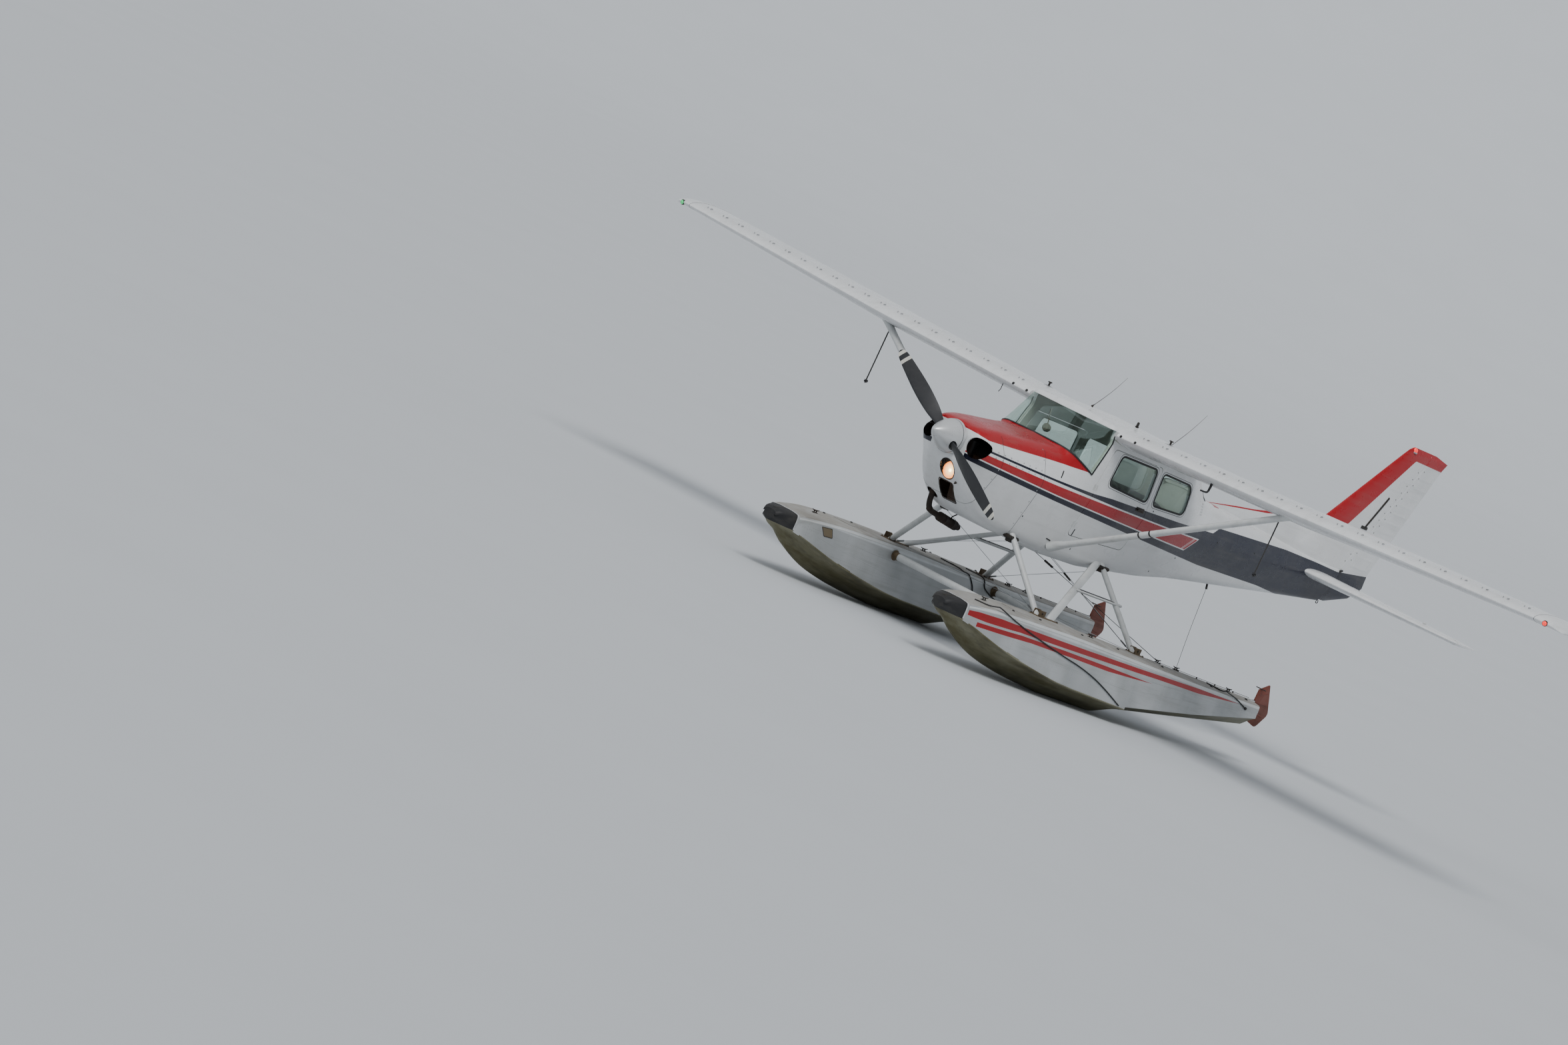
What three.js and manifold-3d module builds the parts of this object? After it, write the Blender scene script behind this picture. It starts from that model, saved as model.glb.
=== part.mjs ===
// High-wing light aircraft on twin floats. Millimetres: X to its left wing, Y aft from the firewall,
// Z up from the thrust line. The group at the end stands the keels on Z = 0.
import * as THREE from 'three';
import { mergeVertices } from 'three/addons/utils/BufferGeometryUtils.js';
import Module from 'manifold-3d';

const wasm = await Module();
wasm.setup();

// Driving dimensions
const SEAT = 0.35;
const MOVING_GAP = 6;
const CABIN_WALL = 35;
const SKIN = 8;
const GLASS = 6;
const FIREWALL_Y = 0;
const CABIN_END_Y = 2950;
const SPINNER_TIP_Y = -1200;
const SPINNER_BASE_Y = -905;
const SPINNER_RADIUS = 165;
const PROP_RADIUS = 1000;
const PROP_Y = -985;
const HUB_RADIUS = 95;
const HUB_HALF = 30;
const PROP_REST_ANGLE = THREE.MathUtils.degToRad(150);
const ROOF_HALF = 545;
const WING_ROOT_X = ROOF_HALF + SEAT;
const WING_BREAK_X = 2560;
const WING_TIP_X = 5520;
const WING_LE_Y = 700;
const WING_LE_Z = 585;
const DIHEDRAL = Math.tan(THREE.MathUtils.degToRad(1.9));
const ROOT_CHORD = 1630;
const TIP_CHORD = 1120;
const FLOAT_X = 1060;
const FLOAT_STEP_Y = 1410;
const KEEL_Z = -1820;
const KEEL_STRIP = 18;
const DECK_Z = -1178;
const TRANSOM_Y = 3860;
const BOW_Y = -1500;
const FIN_END_Y = 6992;
const MIDDLE_Y = (BOW_Y + FIN_END_Y) / 2;

// Geometry helpers

function toManifold(geometry) {
  const bare = geometry.clone();
  bare.deleteAttribute('normal');
  bare.deleteAttribute('uv');
  const merged = mergeVertices(bare, 1e-3);
  return new wasm.Manifold(new wasm.Mesh({
    numProp: 3,
    vertProperties: Float32Array.from(merged.attributes.position.array),
    triVerts: Uint32Array.from(merged.index.array),
  }));
}

function toGeometry(manifold) {
  const mesh = manifold.getMesh();
  const geometry = new THREE.BufferGeometry();
  geometry.setAttribute('position', new THREE.BufferAttribute(Float32Array.from(mesh.vertProperties), 3));
  geometry.setIndex(Array.from(mesh.triVerts));
  return geometry;
}

// Each argument of join, cut and common is a closed geometry.
const join = (...pieces) => toGeometry(pieces.map(toManifold).reduce((a, b) => a.add(b)));
const cut = (piece, ...tools) => toGeometry(tools.map(toManifold).reduce((a, b) => a.subtract(b), toManifold(piece)));
const common = (a, b) => toGeometry(toManifold(a).intersect(toManifold(b)));
// The largest closed body of a geometry, for a piece whose cut leaves crumbs.
const mainBody = (geometry) => toGeometry(toManifold(geometry).decompose().reduce((a, b) => (a.volume() > b.volume() ? a : b)));
const shifted = (geometry, x, y, z) => geometry.clone().translate(x, y, z);

// The same piece on the other side of the symmetry plane, faces turned out again.
function mirrored(geometry) {
  const copy = geometry.clone().scale(-1, 1, 1);
  const index = copy.index.array;
  for (let i = 0; i < index.length; i += 3) {
    [index[i], index[i + 1]] = [index[i + 1], index[i]];
  }
  return copy;
}

const FLAT = {
  x: (p) => new THREE.Vector2(p.y, p.z),
  y: (p) => new THREE.Vector2(p.z, p.x),
  z: (p) => new THREE.Vector2(p.x, p.y),
};

// A closed skin through rings of equal point counts that lie in planes across one axis.
function loft(axis, ringsIn) {
  const flat = FLAT[axis];
  const turned = THREE.ShapeUtils.area(ringsIn[0].map(flat)) < 0;
  const forward = ringsIn[0][0][axis] < ringsIn.at(-1)[0][axis];
  let rings = turned ? ringsIn.map((ring) => ring.toReversed()) : ringsIn;
  rings = forward ? rings : rings.toReversed();
  const count = rings[0].length;
  const index = [];
  for (let r = 0; r < rings.length - 1; r += 1) {
    for (let i = 0; i < count; i += 1) {
      const a = r * count + i;
      const b = r * count + (i + 1) % count;
      index.push(a, b, b + count, a, b + count, a + count);
    }
  }
  for (const [a, b, c] of THREE.ShapeUtils.triangulateShape(rings[0].map(flat), [])) {
    index.push(a, c, b);
  }
  const last = (rings.length - 1) * count;
  for (const [a, b, c] of THREE.ShapeUtils.triangulateShape(rings.at(-1).map(flat), [])) {
    index.push(last + a, last + b, last + c);
  }
  const geometry = new THREE.BufferGeometry();
  geometry.setAttribute('position', new THREE.Float32BufferAttribute(rings.flat().flatMap((p) => p.toArray()), 3));
  geometry.setIndex(index);
  return geometry;
}

// Corner rows are [u, v, radius]; each becomes an arc of equal steps, or one point at radius 0.
function roundedCorners(corners, steps, closed = true) {
  const out = [];
  corners.forEach(([u, v, radius], i) => {
    const here = new THREE.Vector2(u, v);
    const end = !closed && (i === 0 || i === corners.length - 1);
    if (end || radius === 0) {
      out.push(here);
      return;
    }
    const before = new THREE.Vector2(...corners.at(i - 1)).sub(here);
    const after = new THREE.Vector2(...corners[(i + 1) % corners.length]).sub(here);
    const half = before.angleTo(after) / 2;
    const reach = Math.min(radius / Math.tan(half), before.length() * 0.48, after.length() * 0.48);
    const a = before.normalize().multiplyScalar(reach).add(here);
    const b = after.normalize().multiplyScalar(reach).add(here);
    const arc = new THREE.QuadraticBezierCurve(a, here, b);
    out.push(...arc.getPoints(steps));
  });
  return out;
}

// A prism across one axis; outline points are (Y, Z) for x, (X, Z) for y and (X, Y) for z.
function prism(axis, outline, from, to) {
  const place = {
    x: (p, d) => new THREE.Vector3(d, p.x, p.y),
    y: (p, d) => new THREE.Vector3(p.x, d, p.y),
    z: (p, d) => new THREE.Vector3(p.x, p.y, d),
  }[axis];
  return loft(axis, [from, to].map((d) => outline.map((p) => place(p, d))));
}

const polygon = (...pairs) => pairs.map(([u, v]) => new THREE.Vector2(u, v));

function block(x0, x1, y0, y1, z0, z1) {
  return new THREE.BoxGeometry(x1 - x0, y1 - y0, z1 - z0)
    .translate((x0 + x1) / 2, (y0 + y1) / 2, (z0 + z1) / 2);
}

// A round rod from a to b, with its own radius at each end.
function rod(a, b, radiusA, radiusB = radiusA, sides = 16) {
  const along = b.clone().sub(a);
  const turn = new THREE.Quaternion().setFromUnitVectors(new THREE.Vector3(0, 1, 0), along.clone().normalize());
  return new THREE.CylinderGeometry(radiusB, radiusA, along.length(), sides)
    .applyQuaternion(turn)
    .translate((a.x + b.x) / 2, (a.y + b.y) / 2, (a.z + b.z) / 2);
}

const at = (x, y, z) => new THREE.Vector3(x, y, z);

function tube(points, radius, sides, steps) {
  const path = new THREE.CatmullRomCurve3(points);
  const section = new THREE.Shape();
  for (let i = 0; i < sides; i += 1) {
    const angle = (i / sides) * Math.PI * 2;
    const corner = [radius * Math.cos(angle), radius * Math.sin(angle)];
    if (i === 0) section.moveTo(...corner);
    else section.lineTo(...corner);
  }
  return join(new THREE.ExtrudeGeometry(section, { steps, extrudePath: path, bevelEnabled: false }));
}

// Half thickness of a foil with thickness ratio 1 at chord fraction s.
const foilHalf = (s) => 5 * (0.2969 * Math.sqrt(s) - 0.126 * s - 0.3516 * s ** 2 + 0.2843 * s ** 3 - 0.1036 * s ** 4);
// Camber line of 2 percent at 40 percent chord.
const camber = (s) => (s < 0.4 ? (0.02 / 0.16) * (0.8 * s - s * s) : (0.02 / 0.36) * (0.2 + 0.8 * s - s * s));

// Chord fractions from the trailing edge over the top to the nose and back below.
const FOIL_STEPS = 9;
const foilWalk = [];
for (let i = 0; i <= FOIL_STEPS; i += 1) foilWalk.push([(1 + Math.cos((Math.PI * i) / FOIL_STEPS)) / 2, 1]);
for (let i = FOIL_STEPS - 1; i > 0; i -= 1) foilWalk.push([(1 + Math.cos((Math.PI * i) / FOIL_STEPS)) / 2, -1]);

function interpolate(rows, key, value) {
  const above = rows.findIndex((row) => row[key] > value);
  const i = above < 0 ? rows.length - 1 : Math.max(above, 1);
  const [a, b] = [rows[i - 1], rows[i]];
  const share = (value - a[key]) / (b[key] - a[key]);
  return a.map((v, k) => v + (b[k] - v) * share);
}

// Fuselage sections. Columns: Y, bottom Z, top Z, half widths at bottom, middle and top, middle Z,
// corner radii at bottom and top.
const COWL_ROWS = [
  [-890, -118, 150, 120, 290, 120, 5, 110, 110],
  [-865, -215, 172, 190, 385, 200, 0, 150, 140],
  [-790, -325, 194, 245, 432, 240, -10, 170, 160],
  [-640, -490, 220, 290, 462, 280, -30, 180, 180],
  [-420, -612, 243, 330, 490, 320, -40, 180, 200],
  [-180, -655, 265, 370, 512, 355, -50, 160, 215],
  [0, -655, 283, 390, 525, 380, -50, 150, 230],
];
const CABIN_ROWS = [
  [0, -655, 283, 390, 525, 380, -50, 150, 230],
  [250, -672, 318, 405, 540, 410, -50, 150, 220],
  [700, -690, 706, 405, 545, 505, -50, 140, 60],
  [1300, -676, 742, 405, 545, 505, -50, 140, 60],
  [2330, -570, 700, 345, 480, 440, -20, 130, 60],
  [2950, -482, 352, 275, 390, 250, 10, 120, 150],
];
const TAIL_ROWS = [
  [2950, -482, 352, 275, 390, 250, 10, 120, 150],
  [4400, -325, 272, 155, 240, 130, 20, 90, 100],
  [5300, -222, 212, 85, 138, 75, 30, 60, 60],
  [6040, -140, 205, 40, 58, 40, 40, 30, 35],
];
const ROOF_CROWN = 0.06;

// The left half of a fuselage ring; grow pushes every side out, and a corner drawn in is tighter.
const TIGHTEST_CORNER = 20;
function fuselageRing(row, grow, growBottom = grow) {
  const [y, bottom, top, lowHalf, midHalf, topHalf, midZ, lowRadius, topRadius] = row;
  const shoulder = top - ROOF_CROWN * topHalf;
  return roundedCorners([
    [0, top + grow, 0],
    [topHalf + grow, shoulder + grow, Math.max(topRadius + grow, TIGHTEST_CORNER)],
    [midHalf + grow, midZ, 260],
    [lowHalf + grow, bottom - growBottom, Math.max(lowRadius + growBottom, TIGHTEST_CORNER)],
    [0, bottom - growBottom, 0],
  ], 3, false).map((p) => at(p.x, y, p.y));
}

function fuselage(rows, grow = 0, growBottom = grow) {
  const left = loft('y', rows.map((row) => fuselageRing(row, grow, growBottom)));
  return join(left, mirrored(left));
}

// Rows between two stations, with the end rows worked out where they fall between stations.
function rowsBetween(rows, from, to) {
  const inner = rows.filter((row) => row[0] > from && row[0] < to);
  return [interpolate(rows, 0, from), ...inner, interpolate(rows, 0, to)];
}

// Wing sections. Columns: X, leading edge Y, chord, thickness ratio, twist in degrees, Z drop of the section.
const WING_ROWS = [
  [0, WING_LE_Y, ROOT_CHORD, 0.115, 1.5, 0],
  [WING_BREAK_X, WING_LE_Y, ROOT_CHORD, 0.115, 1.5, 0],
  [5330, WING_LE_Y + 188, TIP_CHORD, 0.095, -1.5, -20],
  [5450, WING_LE_Y + 225, 1050, 0.08, -1.5, -12],
  [WING_TIP_X, WING_LE_Y + 320, 880, 0.04, -1.5, 10],
];

function wingPoint(x, s, side) {
  const [, leY, chord, ratio, twist, drop] = interpolate(WING_ROWS, 0, x);
  const angle = THREE.MathUtils.degToRad(twist);
  const up = (camber(s) + side * ratio * foilHalf(s)) * chord;
  const back = s * chord;
  return at(
    x,
    leY + back * Math.cos(angle) + up * Math.sin(angle),
    WING_LE_Z + x * DIHEDRAL - drop - back * Math.sin(angle) + up * Math.cos(angle),
  );
}

function wingLoft() {
  const stations = [WING_ROOT_X, ...WING_ROWS.slice(1).map(([x]) => x)];
  return loft('x', stations.map((x) => foilWalk.map(([s, side]) => wingPoint(x, s, side))));
}

// Points of a hinge line on the wing, at a chord fraction and between the skins.
const wingHinge = (x, s) => wingPoint(x, s, 1).lerp(wingPoint(x, s, -1), 0.5);
const wingHalf = (x, s) => wingPoint(x, s, 1).distanceTo(wingPoint(x, s, -1)) / 2;

// A moving surface behind a hinge line from a to b. Its nose is round about the line; the fixed part is
// cut MOVING_GAP wider, apart from two narrow bearings that carry the nose.
const BEARINGS = [0.2, 0.8];
const BEARING_HALF = 0.012;
const BEARING_GAP = 1;
const NOSE_SIDES = 24;

function noseRods(a, b, radiusA, radiusB, clearance) {
  const past = (MOVING_GAP + 1) / a.distanceTo(b);
  const spans = [];
  let from = -past;
  for (const mid of BEARINGS) {
    spans.push([from, mid - BEARING_HALF, clearance], [mid - BEARING_HALF - past, mid + BEARING_HALF + past, BEARING_GAP]);
    from = mid + BEARING_HALF;
  }
  spans.push([from, 1 + past, clearance]);
  return spans.map(([s0, s1, extra]) => rod(
    a.clone().lerp(b, s0),
    a.clone().lerp(b, s1),
    THREE.MathUtils.lerp(radiusA, radiusB, s0) + extra,
    THREE.MathUtils.lerp(radiusA, radiusB, s1) + extra,
    NOSE_SIDES,
  ));
}

// Wing

const AILERON = { inner: 2574, outer: 5080, chordShare: 0.77, endGap: 7 };
const FLAP = { inner: 600, outer: 2546, chordShare: 0.735, endGap: 7, slot: 12, pin: 6 };

// Everything behind a hinge line on the wing, from x0 to x1, moved back by shift.
function behindLine(x0, x1, lineY, shift) {
  const deep = 600;
  return loft('x', [x0, x1].map((x) => {
    const y = lineY(x) + shift;
    return [at(x, y, -deep), at(x, y + 2 * deep, -deep), at(x, y + 2 * deep, 2 * deep), at(x, y, 2 * deep)];
  }));
}

function makeWing() {
  const whole = wingLoft();
  const a = wingHinge(AILERON.inner, AILERON.chordShare);
  const b = wingHinge(AILERON.outer, AILERON.chordShare);
  const radiusA = wingHalf(AILERON.inner, AILERON.chordShare) + 1;
  const radiusB = wingHalf(AILERON.outer, AILERON.chordShare) + 1;
  const aileronLine = (x) => THREE.MathUtils.mapLinear(x, a.x, b.x, a.y, b.y);
  const aileronBehind = behindLine(AILERON.inner, AILERON.outer, aileronLine, 0);
  const aileron = common(whole, join(aileronBehind, rod(a, b, radiusA, radiusB, NOSE_SIDES)));
  const ends = behindLine(AILERON.inner - AILERON.endGap, AILERON.outer + AILERON.endGap, aileronLine, -MOVING_GAP);
  let fixed = cut(whole, ends, ...noseRods(a, b, radiusA, radiusB, MOVING_GAP));

  const flapLine = () => wingPoint(WING_ROOT_X, FLAP.chordShare, -1).y;
  const flapPin = [FLAP.inner, FLAP.outer].map((x) => wingPoint(x, FLAP.chordShare, -1).add(at(0, FLAP.pin, 14)));
  const flapBody = common(whole, behindLine(FLAP.inner, FLAP.outer, flapLine, 0));
  const outward = flapPin[1].clone().sub(flapPin[0]).normalize().multiplyScalar(FLAP.endGap - SEAT);
  const pins = rod(flapPin[0].clone().sub(outward), flapPin[1].clone().add(outward), FLAP.pin, FLAP.pin, 12);
  const flap = join(flapBody, pins);
  fixed = mainBody(
    cut(fixed, behindLine(FLAP.inner - FLAP.endGap, FLAP.outer + FLAP.endGap, flapLine, -FLAP.slot)),
  );
  return { fixed, aileron, flap, whole };
}

const wing = makeWing();

// Cabin

const FIREWALL_THICK = 20;
const FLOOR_THICK = 60;
const cabinOuter = fuselage(CABIN_ROWS);
const FLOOR_Z = -610;
const BULKHEAD_THICK = 45;
// The room inside the walls, drawn in by a further gap at the walls and below.
const roomInside = (gap, below) => common(
  fuselage(
    rowsBetween(CABIN_ROWS, FIREWALL_Y + FIREWALL_THICK + gap, CABIN_END_Y - BULKHEAD_THICK - gap),
    -CABIN_WALL - gap,
    -FLOOR_THICK - below,
  ),
  block(-900, 900, -100, 3100, FLOOR_Z + below, 1000),
);
const cabinHollow = roomInside(0, 0);
const panelRoom = roomInside(SEAT, SEAT);
const seatRoom = roomInside(MOVING_GAP, SEAT);
const glassHollow = fuselage(rowsBetween(CABIN_ROWS, 10, CABIN_END_Y - 10), -GLASS);

// Side outlines, as Y and Z with a corner radius.
const DOOR = [[760, -415, 60], [1712, -375, 60], [1712, 484, 50], [842, 484, 50], [760, 130, 40]];
const DOOR_WINDOW = [[938, 158, 60], [1652, 130, 60], [1634, 452, 60], [985, 452, 60]];
const QUARTER_WINDOW = [[1776, 128, 60], [2385, 145, 80], [2345, 428, 110], [1768, 440, 50]];
const WINDSHIELD = [[238, 330, 0], [632, 186, 0], [742, 520, 0], [712, 800, 0], [238, 800, 0]];
const REAR_WINDOW = [[2420, 800, 0], [2420, 470, 0], [2900, 340, 0], [2900, 800, 0]];

function sideOutline(corners, grow) {
  const centre = corners.reduce((sum, [u, v]) => [sum[0] + u / corners.length, sum[1] + v / corners.length], [0, 0]);
  return roundedCorners(corners.map(([u, v, radius]) => [
    u + Math.sign(u - centre[0]) * grow,
    v + Math.sign(v - centre[1]) * grow,
    radius,
  ]), 5);
}

const DOOR_GAP = 5;
const leftSide = (corners, grow, from = 150, to = 800) => prism('x', sideOutline(corners, grow), from, to);
const acrossSides = (corners, grow) => prism('x', sideOutline(corners, grow), -800, 800);
const REAR_WINDOW_HALF = 290;

const roofFoil = loft('x', [-ROOF_HALF, ROOF_HALF].map((x) => foilWalk.map(([s, side]) => {
  const p = wingPoint(Math.abs(x), s, side);
  return at(x, p.y, p.z);
})));

// Blocks in the door's front gap, on the hinge line, that carry the closed and the open door.
const HINGE_BLOCKS = [[-330, -270], [60, 120]];

function makeCabin() {
  let shell = join(cut(cabinOuter, cabinHollow), cut(roofFoil, cabinHollow));
  const doorway = leftSide(DOOR, DOOR_GAP);
  const blocks = HINGE_BLOCKS.map(([z0, z1]) => common(
    cut(cabinOuter, cabinHollow),
    block(150, 800, DOOR[0][0] - DOOR_GAP - 1, DOOR[0][0] - SEAT, z0, z1),
  ));
  shell = cut(
    shell,
    doorway,
    mirrored(doorway),
    acrossSides(QUARTER_WINDOW, SEAT),
    acrossSides(WINDSHIELD, SEAT),
    common(prism('x', sideOutline(REAR_WINDOW, 0), -REAR_WINDOW_HALF, REAR_WINDOW_HALF), block(-900, 900, 2300, 3000, 300, 900)),
  );
  return join(shell, ...blocks, ...blocks.map(mirrored));
}

const cabinShell = makeCabin();
const wallOnly = cut(cabinOuter, cabinHollow);
const glassOnly = cut(cabinOuter, glassHollow);
const doorLeft = cut(common(wallOnly, leftSide(DOOR, 0)), leftSide(DOOR_WINDOW, SEAT));
const doorGlassLeft = common(glassOnly, leftSide(DOOR_WINDOW, 0));
const quarterGlassLeft = common(glassOnly, leftSide(QUARTER_WINDOW, 0));
const windshield = common(cut(glassOnly, roofFoil), acrossSides(WINDSHIELD, 0));
const rearWindow = common(
  glassOnly,
  prism('x', sideOutline(REAR_WINDOW, -SEAT), -REAR_WINDOW_HALF + SEAT, REAR_WINDOW_HALF - SEAT),
);

// Tail

const HINGE_BOTTOM = at(0, 5778, -175);
const HINGE_TOP = at(0, 6682, 1610);
const RUDDER_NOSE = [48, 23];
// Tail fin and rudder outline. Columns: Z, leading edge Y, trailing edge Y, full thickness.
const FIN_ROWS = [
  [-150, 5560, 5965, 76],
  [-38, 5430, 6365, 92],
  [95, 5180, 6520, 104],
  [245, 4968, 6506, 110],
  [1475, 6146, 6940, 62],
  [1562, 6232, FIN_END_Y, 44],
  [1598, 6300, 6740, 14],
];
const finBody = loft('z', FIN_ROWS.map(([z, le, te, thick]) => foilWalk.map(([s, side]) => at(
  side * foilHalf(s) * thick,
  le + s * (te - le),
  z,
))));
const dorsal = loft('y', [
  [3290, 316, 6],
  [4360, 461, 16],
  [5450, 672, 30],
].map(([y, top, half]) => [at(-half, y, 100), at(half, y, 100), at(half * 0.5, y, top), at(-half * 0.5, y, top)]));

function rudderRegion(shift) {
  const along = HINGE_TOP.clone().sub(HINGE_BOTTOM);
  const low = HINGE_BOTTOM.clone().addScaledVector(along, -0.1);
  const high = HINGE_TOP.clone().addScaledVector(along, 0.1);
  return loft('z', [low, high].map((p) => [
    at(-200, p.y + shift, p.z), at(200, p.y + shift, p.z), at(200, p.y + 900, p.z), at(-200, p.y + 900, p.z),
  ]));
}

const tailOuter = fuselage(TAIL_ROWS);
const rudderNose = rod(HINGE_BOTTOM, HINGE_TOP, ...RUDDER_NOSE, NOSE_SIDES);
const rudderTools = [rudderRegion(-MOVING_GAP), ...noseRods(HINGE_BOTTOM, HINGE_TOP, ...RUDDER_NOSE, MOVING_GAP)];
const rudder = common(finBody, join(rudderRegion(0), rudderNose));
const fin = mainBody(cut(join(finBody, dorsal), ...rudderTools, tailOuter, shifted(tailOuter, 0, 0, SEAT)));

const ELEVATOR_Y = 5800;
const STAB_Z = 65;
const STAB_TIP_X = 1725;
// Tailplane outline. Columns: X, leading edge Y, trailing edge Y, full thickness.
const STAB_ROWS = [
  [0, 5190, 6330, 104],
  [1660, 5690, 6245, 52],
  [STAB_TIP_X, 5790, 6190, 16],
];
const stabBody = loft('x', STAB_ROWS.map(([x, le, te, thick]) => foilWalk.map(([s, side]) => at(
  x,
  le + s * (te - le),
  STAB_Z + side * foilHalf(s) * thick,
))));
const ELEVATOR_INNER_X = 89;
const ELEVATOR_NOSE = [46, 30];
const TORQUE_TUBE = 18;
const elevatorRoot = at(ELEVATOR_INNER_X, ELEVATOR_Y, STAB_Z);
const elevatorTip = at(1640, ELEVATOR_Y, STAB_Z);
// The inner edge leaves room for the rudder at full travel.
const elevatorPlan = polygon(
  [ELEVATOR_INNER_X, 5600],
  [ELEVATOR_INNER_X, 5815],
  [262, 6420],
  [2000, 6420],
  [2000, ELEVATOR_Y],
  [1640, ELEVATOR_Y],
  [1640, 5600],
);
const elevatorBehind = block(0, 2000, ELEVATOR_Y, 6500, -300, 400);
const elevator = common(
  common(stabBody, join(elevatorBehind, rod(elevatorRoot, elevatorTip, ...ELEVATOR_NOSE, NOSE_SIDES))),
  prism('z', elevatorPlan, -300, 400),
);
const stabilizer = cut(
  stabBody,
  block(0, 2000, ELEVATOR_Y - MOVING_GAP, 6500, -300, 400),
  ...noseRods(elevatorRoot, elevatorTip, ...ELEVATOR_NOSE, MOVING_GAP),
  block(0, ELEVATOR_INNER_X, ELEVATOR_Y - 60, 6500, -300, 400),
  block(1640 - MOVING_GAP, 2000, ELEVATOR_Y - 18, 6500, -300, 400),
  tailOuter,
  shifted(tailOuter, SEAT, 0, 0),
  block(-10, 45, 5000, 6500, -200, 300),
);
const torqueTube = rod(
  at(-ELEVATOR_INNER_X + SEAT, ELEVATOR_Y, STAB_Z),
  at(ELEVATOR_INNER_X - SEAT, ELEVATOR_Y, STAB_Z),
  TORQUE_TUBE,
  TORQUE_TUBE,
  24,
);
const tailBore = rod(at(-200, ELEVATOR_Y, STAB_Z), at(200, ELEVATOR_Y, STAB_Z), TORQUE_TUBE + 1, TORQUE_TUBE + 1, 24);
const TAIL_SKIN = 10;
const tailHollow = fuselage(rowsBetween(TAIL_ROWS, CABIN_END_Y + 20, 5600), -TAIL_SKIN);
const cablePort = rod(at(0, CABIN_END_Y - 10, 0), at(0, CABIN_END_Y + 40, 0), 90, 90, 20);
const tailCone = mainBody(shifted(cut(tailOuter, ...rudderTools, tailBore, tailHollow, cablePort), 0, SEAT, 0));

// Nose

const SPLIT_Z = 20;
const cowlRows = rowsBetween(COWL_ROWS, -890, -SEAT);
const cowlHollow = fuselage([...rowsBetween(COWL_ROWS, -875, -SEAT), [5, -655, 283, 390, 525, 380, -50, 150, 230]], -SKIN);
const INLET = { x: 285, z: 0, wide: 105, high: 98 };
const LAMP = { x: 55, z: -283, radius: 84 };
const INTAKE = { x0: -45, x1: 120, z0: -545, z1: -395 };
const EXIT = { half: 230, from: -170 };
const EXHAUST_X = -190;
const EXHAUST_EXIT_Y = -535;
const EXHAUST_HOLE = 62;

function ellipse(cx, cy, rx, ry, count) {
  return Array.from({ length: count }, (_, i) => {
    const angle = (i / count) * 2 * Math.PI;
    return new THREE.Vector2(cx + rx * Math.cos(angle), cy + ry * Math.sin(angle));
  });
}

function makeCowls() {
  const inlet = prism('y', ellipse(INLET.x, INLET.z, INLET.wide, INLET.high, 16), -1000, -700);
  const shell = cut(
    fuselage(cowlRows),
    cowlHollow,
    inlet,
    mirrored(inlet),
    rod(at(0, -1000, 0), at(0, -800, 0), 62),
    rod(at(LAMP.x, -1000, LAMP.z), at(LAMP.x, -600, LAMP.z), LAMP.radius + SEAT, LAMP.radius + SEAT, 20),
    block(INTAKE.x0, INTAKE.x1, -900, -450, INTAKE.z0, INTAKE.z1),
    block(-EXIT.half, EXIT.half, EXIT.from, 20, -720, -560),
    rod(at(EXHAUST_X, EXHAUST_EXIT_Y, -400), at(EXHAUST_X, EXHAUST_EXIT_Y, -700), EXHAUST_HOLE, EXHAUST_HOLE, 16),
  );
  const above = block(-700, 700, -790, 20, SPLIT_Z, 500);
  const lower = cut(shell, above);
  const upper = common(shell, block(-700, 700, -790 + SEAT, 20, SPLIT_Z + SEAT, 500));
  return { lower, upper };
}

const cowls = makeCowls();
const lampBody = common(
  fuselage(cowlRows),
  rod(at(LAMP.x, -1000, LAMP.z), at(LAMP.x, -720, LAMP.z), LAMP.radius, LAMP.radius, 20),
);

function makeEngine() {
  const parts = [block(-330, 330, -690, -115, -190, 100), rod(at(0, -600, 0), at(0, PROP_Y + HUB_HALF + SEAT, 0), 42, 42, 20)];
  for (const x of [-230, 230]) {
    for (const z of [-150, 90]) parts.push(rod(at(x, -130, z), at(x, -SEAT, z), 16, 16, 10));
  }
  return join(...parts);
}

// Propeller. Columns: radius, chord, thickness, blade angle in degrees.
const BLADE_ROWS = [
  [70, 74, 60, 50],
  [160, 92, 34, 42],
  [300, 136, 24, 33],
  [520, 150, 17, 24],
  [760, 128, 12, 18],
  [930, 96, 8, 15],
  [PROP_RADIUS, 44, 4, 14],
];

function makeBlade() {
  return loft('x', BLADE_ROWS.map(([r, chord, thick, angle]) => {
    const turn = THREE.MathUtils.degToRad(angle);
    return ellipse(0, 0, chord / 2, thick / 2, 12).map((p) => at(
      r,
      p.y * Math.cos(turn) - p.x * Math.sin(turn),
      p.x * Math.cos(turn) + p.y * Math.sin(turn),
    ));
  }));
}

function makePropeller() {
  const blade = makeBlade();
  const hub = rod(at(0, -HUB_HALF, 0), at(0, HUB_HALF, 0), HUB_RADIUS, HUB_RADIUS, 20);
  const other = blade.clone().rotateY(Math.PI);
  return join(hub, blade, other).rotateY(-PROP_REST_ANGLE).translate(0, PROP_Y, 0);
}

// The spinner's slot for one blade root, MOVING_GAP clear of it all round.
function bladeSlot() {
  const [, , , angle] = BLADE_ROWS[1];
  const turn = THREE.MathUtils.degToRad(angle);
  return loft('x', [SPINNER_RADIUS * 0.4, SPINNER_RADIUS + 20].map((r) => ellipse(0, 0, 54, 38, 12).map((p) => at(
    r,
    p.y * Math.cos(turn) - p.x * Math.sin(turn),
    p.x * Math.cos(turn) + p.y * Math.sin(turn),
  ))));
}

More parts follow.
